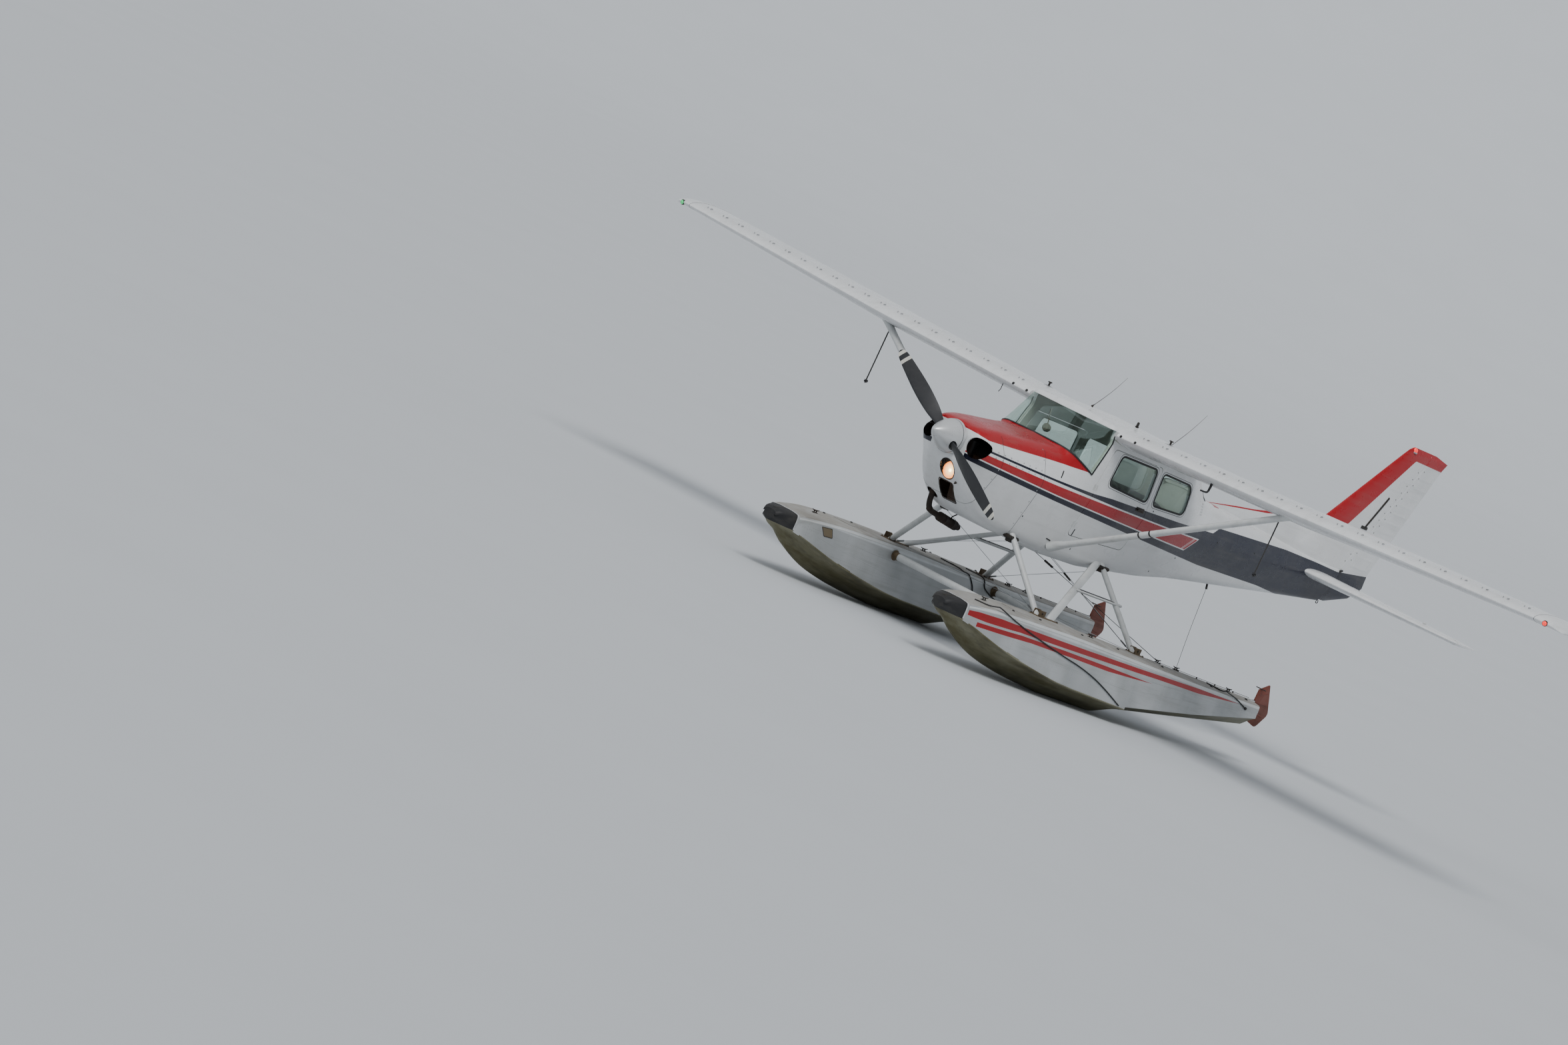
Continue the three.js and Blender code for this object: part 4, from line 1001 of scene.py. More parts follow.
def fuselage(rows, grow=0.0, grow_bottom=None):
    """A closed fuselage length from rows: each half ring and its mirror."""
    left = half_rings(rows, grow, grow_bottom)
    right = left[:, -2:0:-1] * [-1, 1, 1]
    return loft(np.concatenate([left, right], 1))


def rings_at(y):
    """The left half rings of the fuselage at places along Y, of the cowl ahead of the firewall."""
    return half_rings(np.where(y[:, None] < 0, rows_at(y), body_rows(np.maximum(y, 0))))


def skin_x(y, z):
    """The half width of the fuselage at places given by Y and Z, read off the half rings there."""
    y, z = np.atleast_1d(np.asarray(y, float)), np.atleast_1d(np.asarray(z, float))
    rings = rings_at(y)
    high, low = rings[:, :-1], rings[:, 1:]
    inside = (high[..., 2] >= z[:, None]) & (low[..., 2] < z[:, None])
    k = np.where(inside.any(1), inside.shape[1] - 1 - inside[:, ::-1].argmax(1), 0)
    n = np.arange(len(y))
    a, b = high[n, k], low[n, k]
    share = (z - a[:, 2]) / (b[:, 2] - a[:, 2] + 1e-12)
    return np.where(inside.any(1), a[:, 0] + (b[:, 0] - a[:, 0]) * np.clip(share, 0, 1), 0.0)


def rows_at(y):
    """Cowl rows at places along Y, read off the smooth curve through the table."""
    fine = curve_through(COWL_ROWS, 90)
    return np.column_stack([y, *looked_up(fine, y, *range(1, 9))])


def on_skin(path, lift=0.0):
    """Points of the left skin over (Y, Z) points, lifted off it."""
    path = np.asarray(path, float)
    return np.column_stack([skin_x(path[:, 0], path[:, 1]) + lift, path])


def walk_faces(faces):
    """All face corners in one row, and beside each the corner that follows it round its face."""
    return [np.concatenate([np.roll(np.asarray(f), turn) for f in faces]) for turn in (0, -1)]


def face_facts(shape):
    """Centres and unit normals of a shape's faces."""
    points, faces = shape
    corner, follower = walk_faces(faces)
    count = np.array([len(f) for f in faces])
    start = np.concatenate([[0], np.cumsum(count)[:-1]])
    p, q = points[corner], points[follower]
    normal = np.add.reduceat(np.cross(p, q), start, axis=0)
    normal /= np.linalg.norm(normal, axis=1)[:, None] + 1e-15
    return np.add.reduceat(p, start, axis=0) / count[:, None], normal


def largest(shape):
    """The biggest connected body of a shape."""
    points, faces = shape
    label = np.arange(len(points))
    corner, follower = walk_faces(faces)
    while True:
        low = np.minimum(label[corner], label[follower])
        new = label.copy()
        np.minimum.at(new, corner, low)
        np.minimum.at(new, follower, low)
        new = new[new]
        if (new == label).all():
            break
        label = new
    first = np.array([label[f[0]] for f in faces])
    names, count = np.unique(first, return_counts=True)
    kept = [faces[i] for i in np.flatnonzero(first == names[count.argmax()])]
    used = np.unique(np.concatenate([np.asarray(f) for f in kept]))
    place = np.full(len(points), -1)
    place[used] = np.arange(len(used))
    return points[used], [place[f].tolist() for f in kept]


# Side outlines as (Y, Z, corner radius)
DOOR = [
    (0.760, -0.415, 0.060), (1.712, -0.375, 0.060), (1.712, 0.484, 0.050), (0.842, 0.484, 0.050),
    (0.760, 0.130, 0.040)
]
DOOR_WINDOW = [(0.938, 0.158, 0.060), (1.652, 0.130, 0.060), (1.634, 0.452, 0.060), (0.985, 0.452, 0.060)]
QUARTER_WINDOW = [(1.776, 0.128, 0.060), (2.385, 0.145, 0.080), (2.345, 0.428, 0.110), (1.768, 0.440, 0.050)]
WINDSHIELD = [(0.238, 0.330, 0), (0.632, 0.186, 0), (0.742, 0.520, 0), (0.712, 0.800, 0), (0.238, 0.800, 0)]
REAR_WINDOW = [(2.420, 0.800, 0), (2.420, 0.470, 0), (2.900, 0.340, 0), (2.900, 0.800, 0)]
REAR_WINDOW_HALF = 0.290
DOOR_GAP = 0.005
SEAM = 0.0008
LAMP_X, LAMP_Z = 0.055, -0.283
COWL_STATIONS = 64
FRONT_OPEN_Y = -0.875


def outline(corners, grow=0.0):
    """A rounded side outline, each corner pushed away from its middle."""
    c = np.asarray(corners, float).copy()
    c[:, :2] += np.sign(c[:, :2] - c[:, :2].mean(0)) * grow
    sharp = c[:, 2] == 0
    return c[:, :2] if sharp.all() else rounded(c, 9)


def left_side(corners, grow=0.0):
    return prism("x", outline(corners, grow), 0.15, 0.80)


def both_sides(corners, grow=0.0):
    return prism("x", outline(corners, grow), -0.80, 0.80)


# Wing form. Columns: X, leading edge Y, chord, thickness ratio, twist in degrees, Z drop.
WING_ROWS = np.array([
    [0, 0.700, 1.630, 0.115, 1.5, 0],
    [2.560, 0.700, 1.630, 0.115, 1.5, 0],
    [5.330, 0.888, 1.120, 0.095, -1.5, -0.020],
    [5.450, 0.925, 1.050, 0.080, -1.5, -0.012],
    [5.520, 1.020, 0.880, 0.040, -1.5, 0.010],
])
WING_TIP_X = 5.520
WING_LE_Z = 0.585
TIP_ROUND = 0.018
TIP_SEAM_X = 5.275


def foil_half(s):
    """Half thickness of a foil of thickness ratio one: the four-digit foil formula with a closed tail."""
    return 5 * (0.2969 * np.sqrt(s) - 0.126 * s - 0.3516 * s**2 + 0.2843 * s**3 - 0.1036 * s**4)


def camber(s):
    """A camber line of 2 percent at 40 percent chord, two parabolas that meet there."""
    return np.where(s < 0.4, 0.125 * (0.8 * s - s * s), (0.02 / 0.36) * (0.2 + 0.8 * s - s * s))


def foil_walk(steps):
    """Chord fractions and sides from the tail over the top to the nose and back below."""
    s = (1 + np.cos(np.linspace(0, np.pi, steps + 1))) / 2
    share = np.concatenate([s, s[-2:0:-1]])
    side = np.concatenate([np.ones(steps + 1), -np.ones(steps - 1)])
    return share, side


def wing_point(x, s, side, swell=0.0):
    """Points on the wing skin at span, chord fraction and side; swell lifts them off it."""
    x, s, side = np.broadcast_arrays(np.asarray(x, float), np.asarray(s, float), np.asarray(side, float))
    le, chord, ratio, twist, drop = looked_up(WING_ROWS, np.abs(x), *range(1, 6))
    rim = np.clip((np.abs(x) - (WING_TIP_X - TIP_ROUND)) / TIP_ROUND, 0, 0.995)
    ratio = ratio * np.sqrt(1 - rim**2)
    angle = np.radians(twist)
    up = (camber(s) + side * ratio * foil_half(s)) * chord + side * swell
    back = s * chord
    return np.stack([
        x, le + back * np.cos(angle) + up * np.sin(angle),
        WING_LE_Z + np.abs(x) * DIHEDRAL - drop - back * np.sin(angle) + up * np.cos(angle),
    ], -1)


def beads(value, pitch, start=0.0):
    """Raised ribs every pitch along a skin, as a height from 0 to 1: narrow smooth bumps."""
    share = np.mod(value - start, pitch) / pitch
    return np.clip(1 - np.abs(share - 0.5) / 0.22, 0, 1) ** 2


def bead_stations(start, stop, pitch):
    """Places along a skin that catch both feet and the crest of every bead."""
    feet = np.array([0.0, 0.28, 0.39, 0.5, 0.61, 0.72])
    centres = start + pitch * np.arange(int((stop - start) / pitch) + 1)
    at = (centres[:, None] + feet[None] * pitch).ravel()
    return np.unique(np.concatenate([[start], at[(at > start + 1e-4) & (at < stop - 1e-4)], [stop]]))


def wing_skin(stations, bead=None, steps=26):
    """The closed wing through stations; with a bead pitch, ribs rise behind 80 percent of the chord."""
    s, side = foil_walk(steps)
    x = np.asarray(stations, float)[:, None]
    swell = 0.0
    if bead:
        rise = np.clip((s - 0.79) / 0.02, 0, 1) * np.clip((0.985 - s) / 0.02, 0, 1)
        swell = 0.0022 * beads(x, bead, stations[0]) * rise
    return loft(wing_point(x, s[None], side[None], swell))


def behind_line(x0, x1, y0, y1):
    """Everything behind a line on the wing's plan."""
    deep = 0.6
    rings = [
        [[x, y, -deep], [x, y + 2 * deep, -deep], [x, y + 2 * deep, 2 * deep], [x, y, 2 * deep]]
        for x, y in ((x0, y0), (x1, y1))
    ]
    return loft(rings)


BEARINGS = (0.2, 0.8)
BEARING_HALF = 0.012
BEARING_GAP = 0.001
WING_BEARING_GAP = 0.0022


def nose_rods(a, b, radius_a, radius_b, clearance, bearing=BEARING_GAP):
    """Rods about a hinge line that clear the moving nose, closer at the two bearings."""
    a, b = np.asarray(a, float), np.asarray(b, float)
    past = (MOVING_GAP + 0.001) / np.linalg.norm(b - a)
    spans, start = [], -past
    for mid in BEARINGS:
        spans += [
            (start, mid - BEARING_HALF, clearance),
            (mid - BEARING_HALF - past, mid + BEARING_HALF + past, bearing),
        ]
        start = mid + BEARING_HALF
    spans.append((start, 1 + past, clearance))
    rods = []
    for s0, s1, extra in spans:
        r0, r1 = [between(radius_a, radius_b, s) + extra for s in (s0, s1)]
        rods.append(rod(between(a, b, s0), between(a, b, s1), r0, r1, 32))
    return rods


AILERON_SPAN, AILERON_SHARE = (2.574, 5.080), 0.77
FLAP_SPAN, FLAP_SHARE = (0.600, 2.546), 0.735
FLAP_SLOT, FLAP_PIN = 0.012, 0.006
END_GAP = 0.007
BEAD_PITCH = 0.082


def make_wing():
    """The left wing's fixed part, aileron and flap, cut from one skin along their hinge lines."""
    stations = np.concatenate([
        [WING_ROOT_X], np.linspace(0.62, 2.56, 14), np.linspace(2.72, 5.33, 18),
        [5.36, 5.39, 5.42, 5.45, 5.47, 5.485, 5.50],
        WING_TIP_X - TIP_ROUND * (1 - np.sin(np.linspace(0.25, 1, 6) * np.pi / 2))
    ])
    whole = wing_skin(stations)
    above, below = [[wing_point(x, AILERON_SHARE, side) for x in AILERON_SPAN] for side in (1, -1)]
    hinge = [(a + b) / 2 for a, b in zip(above, below)]
    half = [np.linalg.norm(a - b) / 2 + 0.001 for a, b in zip(above, below)]
    (x0, y0, _), (x1, y1, _) = hinge
    slope = (y1 - y0) / (x1 - x0)
    fine = wing_skin(bead_stations(AILERON_SPAN[0] - 0.02, AILERON_SPAN[1] + 0.02, BEAD_PITCH), BEAD_PITCH)
    region = joined(behind_line(x0, x1, y0, y1), rod(*hinge, *half, 32))
    aileron = common(fine, region)
    ends = behind_line(
        x0 - END_GAP, x1 + END_GAP, y0 - END_GAP * slope - MOVING_GAP, y1 + END_GAP * slope - MOVING_GAP,
    )
    fixed = cut(whole, ends, *nose_rods(*hinge, *half, MOVING_GAP, WING_BEARING_GAP))
    flap_y = wing_point(WING_ROOT_X, FLAP_SHARE, -1)[1]
    f0, f1 = FLAP_SPAN
    fine = wing_skin(bead_stations(f0 - 0.02, f1 + 0.02, BEAD_PITCH), BEAD_PITCH)
    flap = common(fine, behind_line(f0, f1, flap_y, flap_y))
    pins = [wing_point(x, FLAP_SHARE, -1) + [0, FLAP_PIN, 0.014] for x in FLAP_SPAN]
    out = unit(pins[1] - pins[0]) * (END_GAP - TOUCH_GAP)
    flap = joined(flap, rod(pins[0] - out, pins[1] + out, FLAP_PIN, count=12))
    fixed = largest(
        cut(fixed, behind_line(f0 - END_GAP, f1 + END_GAP, flap_y - FLAP_SLOT, flap_y - FLAP_SLOT))
    )
    return fixed, aileron, flap


def roof_foil():
    """The wing's middle, across the roof."""
    s, side = foil_walk(26)
    x = np.array([-ROOF_HALF, ROOF_HALF])[:, None]
    return loft(wing_point(x, s[None], side[None]))


# Tail form in metres
HINGE_BOTTOM, HINGE_TOP = np.array([0, 5.778, -0.175]), np.array([0, 6.682, 1.610])
RUDDER_NOSE = (0.048, 0.023)
CONE_STATIONS = np.concatenate([np.linspace(2.95, 6.0, 62), [6.02, 6.04]])
# Columns: Z, leading edge Y, trailing edge Y, full thickness.
FIN_ROWS = MM * np.array([
    [-150, 5560, 5965, 76], [-38, 5430, 6365, 92], [95, 5180, 6520, 104], [245, 4968, 6506, 110],
    [1475, 6146, 6940, 62], [1562, 6232, 6992, 44], [1598, 6300, 6740, 14],
])
# Columns: X, leading edge Y, trailing edge Y, full thickness.
STAB_ROWS = MM * np.array([[0, 5190, 6330, 104], [1660, 5690, 6245, 52], [1725, 5790, 6190, 16]])
STAB_Z = 0.065
ELEVATOR_Y, ELEVATOR_INNER_X, ELEVATOR_OUTER_X = 5.800, 0.089, 1.640
ELEVATOR_NOSE = (0.046, 0.030)
TORQUE_TUBE = 0.018


def rudder_hinge_y(z):
    return np.interp(z, [HINGE_BOTTOM[2], HINGE_TOP[2]], [HINGE_BOTTOM[1], HINGE_TOP[1]])


def ribs_behind(line, te, y, value, bead, low, high):
    """Height of the raised ribs on a hinged surface between two stations, from just behind its hinge line
    to just before its trailing edge."""
    rise = np.clip((y - line - 0.05) / 0.03, 0, 1) * np.clip((te - 0.02 - y) / 0.02, 0, 1)
    return 0.002 * beads(value, bead, low)[:, None] * rise * ((value > low) & (value < high))[:, None]


def fin_skin(bead=None):
    """The fin and rudder outline as a foil at each height; ribs rise behind the rudder hinge."""
    z = np.concatenate([
        np.linspace(-0.15, 0.245, 12)[:-1], np.linspace(0.245, 1.475, 16)[:-1], np.linspace(1.475, 1.562, 5),
        [1.572, 1.582, 1.590, 1.595, 1.598]
    ])
    if bead:
        z = np.unique(np.round(np.concatenate([z, bead_stations(0.12, 1.44, bead)]), 5))
    le, te, thick = looked_up(FIN_ROWS, z[:, None], 1, 2, 3)
    s, side = foil_walk(24)
    x = side[None] * foil_half(s)[None] * thick
    y = le + s[None] * (te - le)
    if bead:
        x = x + side[None] * ribs_behind(rudder_hinge_y(z)[:, None], te, y, z, bead, 0.12, 1.43)
    return loft(np.stack([x, y, np.broadcast_to(z[:, None], x.shape)], -1))


def stab_skin(bead=None):
    """The tailplane as a foil at each span station; ribs rise on the elevator."""
    x = np.concatenate([np.linspace(0, 1.66, 18), [1.68, 1.70, 1.712, 1.72, 1.725]])
    if bead:
        x = np.unique(np.round(np.concatenate([x, bead_stations(0.30, 1.60, bead)]), 5))
    le, te, thick = looked_up(STAB_ROWS, x[:, None], 1, 2, 3)
    s, side = foil_walk(24)
    y = le + s[None] * (te - le)
    z = STAB_Z + side[None] * foil_half(s)[None] * thick
    if bead:
        z = z + side[None] * ribs_behind(ELEVATOR_Y, te, y, x, bead, 0.30, 1.60)
    return loft(np.stack([np.broadcast_to(x[:, None], y.shape), y, z], -1))


def rudder_region(shift):
    """Everything behind the rudder's hinge line, which may be shifted along Y."""
    along = HINGE_TOP - HINGE_BOTTOM
    rings = []
    for p in (HINGE_BOTTOM - 0.1 * along, HINGE_BOTTOM + 1.1 * along):
        y, z = p[1], p[2]
        rings.append([[-0.2, y + shift, z], [0.2, y + shift, z], [0.2, y + 0.9, z], [-0.2, y + 0.9, z]])
    return loft(rings)


def rudder_room():
    """The tools that clear the rudder's swing out of the fin and the tail cone."""
    return [rudder_region(-MOVING_GAP), *nose_rods(HINGE_BOTTOM, HINGE_TOP, *RUDDER_NOSE, MOVING_GAP)]


# Floats about their own centre plane. Columns: Y, keel Z, chine Z, chine half, deck Z, deck half.
FLOAT_ROWS = MM * np.array([
    [-1500, -1385, -1362, 62, -1300, 55], [-1440, -1425, -1378, 105, -1272, 90],
    [-1290, -1476, -1408, 178, -1250, 150], [-1130, -1560, -1440, 238, -1226, 192],
    [-740, -1690, -1526, 322, -1194, 256], [-300, -1764, -1588, 356, -1184, 280],
    [150, -1803, -1634, 370, -1178, 286], [450, -1820, -1648, 370, -1178, 286],
    [1410, -1820, -1664, 370, -1190, 286], [1412, -1772, -1634, 366, -1190, 286],
    [2600, -1622, -1495, 300, -1208, 232], [3860, -1455, -1345, 150, -1218, 122],
])
BUMPER_Y, BUMPER_Z = -1.280, -1.396
FLUTE = 0.014
GUNWALE_DROP, GUNWALE_WIDE, DECK_CROWN = 0.034, 0.022, 0.009
CHINE_LEAN = 0.004
TRANSOM_Y = 3.860
WATER_HINGE_Y = 3.922
LUGS = ((-1.372, -1.352), (-1.222, -1.202))


def float_rows():
    """Bow rows follow a smooth curve through the table; the step and the afterbody stay straight."""
    bow = curve_through(FLOAT_ROWS[:8], 46)
    flat = [FLOAT_ROWS[7] + (FLOAT_ROWS[8] - FLOAT_ROWS[7]) * t for t in np.linspace(0, 1, 9)[1:]]
    aft = softened(FLOAT_ROWS[9:], np.linspace(1.412, 3.86, 22), 0.0)
    return np.vstack([bow, flat, aft])


def float_hull(dx, grow=0.0):
    """Each ring runs from the keel strip up a hollow bottom to the chine, up the side, over the rounded
    gunwale and across the crowned deck, then back down the other side."""
    y, keel, chine, chine_half, deck, deck_half = float_rows().T
    strip = np.minimum(0.018, chine_half / 3)

    full_size = np.minimum(1, chine_half / 0.3)[:, None]

    def run(x0, z0, x1, z1, count, sag=0.0, bow=0.0):
        t = np.linspace(0, 1, count + 1)[:-1][None]
        x = x0[:, None] + (x1 - x0)[:, None] * t + bow * np.sin(np.pi * t) * full_size
        z = z0[:, None] + (z1 - z0)[:, None] * t + sag * np.sin(np.pi * t**1.5) * full_size
        return np.stack([x, z], -1)

    edge_x, edge_z = deck_half + GUNWALE_WIDE, deck - GUNWALE_DROP
    t = np.linspace(0, np.pi / 2, 7)[:-1][None]
    round_x = deck_half[:, None] + GUNWALE_WIDE * np.cos(t)
    round_z = edge_z[:, None] + GUNWALE_DROP * np.sin(t)
    low_x, low_z, middle = chine_half - CHINE_LEAN, chine + GUNWALE_DROP, [deck_half * 0.5, deck + DECK_CROWN]
    half = np.concatenate([
        run(strip, keel, chine_half, chine, 8, sag=FLUTE),
        run(chine_half, chine, low_x, low_z, 2),
        run(low_x, low_z, edge_x, edge_z, 7, bow=CHINE_LEAN),
        np.stack([round_x, round_z], -1),
        run(deck_half, deck, *middle, 3),
        np.stack(middle, -1)[:, None],
    ], 1)
    full = np.concatenate([half, half[:, ::-1] * [-1, 1]], 1)
    full = full + grow * np.sign(full - [0, -1.4]) * [1, 0]
    return loft(np.stack([full[..., 0] + dx, np.broadcast_to(y[:, None], full.shape[:2]), full[..., 1]], -1))


def float_at(y, column):
    """One column of the smoothed float table at places along Y."""
    rows = float_rows()
    return np.interp(y, rows[:, 0], rows[:, column])


def deck_z(y):
    return float_at(y, 4) + DECK_CROWN


def deck_half(y):
    return float_at(y, 5)


def hull_side(y, z):
    """How far the float's side stands from its centre plane at a place on it."""
    rows = [float_at(y, k) for k in range(6)]
    low_z, high_z = rows[2] + GUNWALE_DROP, rows[4] - GUNWALE_DROP
    low_x, high_x = rows[3] - CHINE_LEAN, rows[5] + GUNWALE_WIDE
    t = np.clip((z - low_z) / (high_z - low_z), 0, 1)
    return low_x + (high_x - low_x) * t + CHINE_LEAN * np.sin(np.pi * t)


# Struts: lower or inner end, upper or outer end, chord, thickness
STRUT_LOW, STRUT_HIGH = np.array([0.480, 0.632, -0.560]), np.array([2.590, 0.880, 0.665])
FUSELAGE_FRONT, FUSELAGE_REAR = np.array([0.405, 0.045, -0.600]), np.array([0.400, 1.570, -0.560])
DECK_FRONT, DECK_REAR = np.array([0.940, 0.205, -1.200]), np.array([0.955, 1.872, -1.215])
DIAGONAL_LOW, DIAGONAL_HIGH = DECK_FRONT + [0, 0.165, 0], FUSELAGE_REAR + [0, -0.080, 0]


def strut(a, b, chord, thick, count=2, swell=None):
    """A streamlined strut: one foil section carried from end to end, its long side along Y. A swell
    multiplies the section's size at each place."""
    a, b = np.asarray(a, float), np.asarray(b, float)
    s, side = foil_walk(16)
    across = unit(np.cross(unit(b - a), [0, 1, 0]))
    t = np.linspace(0, 1, count) if swell is None else np.asarray(swell)[:, 0]
    size = np.ones(len(t)) if swell is None else np.asarray(swell)[:, 1]
    centre = a + (b - a) * t[:, None]
    chordwise = ((s - 0.35) * chord)[None, :, None] * size[:, None, None] * np.array([0, 1, 0])
    thickwise = (side * foil_half(s) * thick)[None, :, None] * size[:, None, None] * across
    return loft(centre[:, None] + chordwise + thickwise)


ROPE_RADIUS = 0.007
ROPE_TOP = 0.543
ROPE_FOOT = -0.003
SPREADER_Z = -1.272
FOOTSTEP_Z = -0.845
ROPE_X, ROPE_Y = 2.440, 0.866


# Small parts


def hoop(path, outward, width, height, count=8, closed=True):
    """A bead along a path: an ellipse, wide across the path and raised along the outward directions."""
    path = np.asarray(path, float)
    outward = np.broadcast_to(outward, path.shape)
    along = np.roll(path, -1, 0) - np.roll(path, 1, 0) if closed else np.gradient(path, axis=0)
    along = unit(along)
    up = unit(outward - along * (outward * along).sum(1)[:, None])
    rings = path[:, None] + spokes(np.cross(along, up) * width, up * height, count)
    if not closed:
        return loft(rings)
    return rings.reshape(-1, 3), quads(len(path), count, closed_rows=True, closed_columns=True)


def studs(points, outward, radius, height=0.002, count=10):
    """Low domed heads standing on a surface, one at each point: three rings that draw in."""
    points, up = np.asarray(points, float).reshape(-1, 3), np.asarray(outward, float).reshape(-1, 3)
    up = np.broadcast_to(unit(up), points.shape)
    helper = np.where(np.abs(up[:, 2:]) < 0.9, [[0.0, 0.0, 1.0]], [[0.0, 1.0, 0.0]])
    side = unit(np.cross(up, helper))
    spoke = spokes(side, np.cross(up, side), count)
    lift, wide = np.array([-1.0, 0.5, 1.0]) * height, np.array([1.0, 1.0, 0.6]) * radius
    rings = points[:, None, None] + up[:, None, None] * lift[
        None, :, None, None
    ] + spoke[:, None] * wide[None, :, None, None]
    one = loft(rings[0])[1]
    faces = [[i + k * 3 * count for i in face] for k in range(len(points)) for face in one]
    return rings.reshape(-1, 3), faces


def tiles(centres, forward, up, size, rake=0.85):
    """Small blocks standing on a surface: length along forward, width across, height along up; the top
    is drawn in by the rake."""
    centres = np.asarray(centres, float).reshape(-1, 3)
    forward = np.broadcast_to(np.asarray(forward, float).reshape(-1, 3), centres.shape)
    up = unit(np.broadcast_to(np.asarray(up, float).reshape(-1, 3), centres.shape))
    forward = unit(forward - up * (forward * up).sum(1)[:, None])
    side = np.cross(up, forward)
    length, width, height = size
    plan = np.array([[-1, -1], [1, -1], [1, 1], [-1, 1]]) / 2
    rings = []
    for lift, scale in ((-0.25, 1.0), (0.8, 1.0), (1.0, rake)):
        ring = centres[:, None] + up[:, None] * (lift * height)
        ring = ring + forward[:, None] * (
            plan[:, :1] * length * scale
        ) + side[:, None] * (plan[:, 1:] * width * scale)
        rings.append(ring)
    rings = np.stack(rings, 1)
    one = loft(rings[0])[1]
    faces = [[i + k * 12 for i in face] for k in range(len(centres)) for face in one]
    return rings.reshape(-1, 3), faces


def skin_normals(path):
    """Outward directions of the left skin at (Y, Z) points."""
    y, z = np.asarray(path, float).T
    step = 0.004
    dy = (skin_x(y + step, z) - skin_x(y - step, z)) / (2 * step)
    dz = (skin_x(y, z + step) - skin_x(y, z - step)) / (2 * step)
    return unit(np.column_stack([np.ones_like(y), -dy, -dz]))


def ring_at(y):
    """The left half of the fuselage ring at one place along Y, from the top round to the bottom."""
    return rings_at(np.array([y]))[0]


def top_points(x, y):
    """Points of the upper skin at places given by X and Y."""
    x, y = np.asarray(x, float), np.asarray(y, float)
    rings = rings_at(y)
    near, far = rings[:, :-1], rings[:, 1:]
    k = ((near[..., 0] <= np.abs(x)[:, None]) & (far[..., 0] > np.abs(x)[:, None])).argmax(1)
    n = np.arange(len(y))
    a, b = near[n, k], far[n, k]
    share = (np.abs(x) - a[:, 0]) / (b[:, 0] - a[:, 0] + 1e-12)
    return np.column_stack([x, y, a[:, 2] + (b[:, 2] - a[:, 2]) * share])


def nose_points(x, z):
    """Points of the nose's front at places given by X and Z: the first place along Y where the skin is
    that wide."""
    x, z = np.asarray(x, float), np.asarray(z, float)
    grid = np.linspace(-0.8899, -0.12, 150)
    width = skin_x(np.tile(grid, len(x)), np.repeat(z, len(grid))).reshape(len(x), -1)
    reach = np.maximum(np.abs(x), 0.035)
    k = np.maximum((width >= reach[:, None]).argmax(1), 1)
    n = np.arange(len(x))
    share = (reach - width[n, k - 1]) / (width[n, k] - width[n, k - 1] + 1e-12)
    return np.column_stack([x, grid[k - 1] + (grid[k] - grid[k - 1]) * np.clip(share, 0, 1), z])


def wing_normals(x, s, side):
    ahead, behind = np.clip(np.asarray(s) - 0.004, 0, 1), np.clip(np.asarray(s) + 0.004, 0, 1)
    a = wing_point(x, behind, side) - wing_point(x, ahead, side)
    b = wing_point(np.asarray(x) + 0.01, s, side) - wing_point(np.asarray(x) - 0.01, s, side)
    return unit(np.cross(b, a) * np.asarray(side, float)[..., None])


def wing_share(x, y):
    """The chord fraction of a place along Y at a span."""
    le, chord = looked_up(WING_ROWS, np.abs(x), 1, 2)
    return (y - le) / chord


def hull_points(y, z, sign=1):
    """Points of the left float's side at (Y, Z) places: outer side for sign 1, inner side for -1."""
    y, z = np.asarray(y, float), np.asarray(z, float)
    return np.column_stack([FLOAT_X + sign * hull_side(y, z), y, z])


def draped(points, count, sign=1, lift=0.006):
    """A smooth line over a float's side through a few (Y, Z) places."""
    path = curve_through(points, count)
    return hull_points(path[:, 0], path[:, 1], sign) + [sign * lift, 0, 0]


def cleat(centre, along):
    """A horn cleat: two feet and a bar whose ends thin and rise."""
    centre, along = np.asarray(centre, float), np.asarray(along, float)
    t = np.linspace(-1, 1, 13)
    bar = centre + along * (t * 0.055)[:, None] + np.array([0, 0, 1]) * (0.022 + 0.008 * t**2)[:, None]
    feet = [
        rod(centre + along * s * 0.018, centre + along * s * 0.016 + [0, 0, 0.024], 0.007, 0.006)
        for s in (-1, 1)
    ]
    base = tiles([centre], along, [0, 0, 1], (0.065, 0.026, 0.005))
    return together(swept(bar, 0.006 * (1 - 0.45 * t**2), 10), *feet, base)


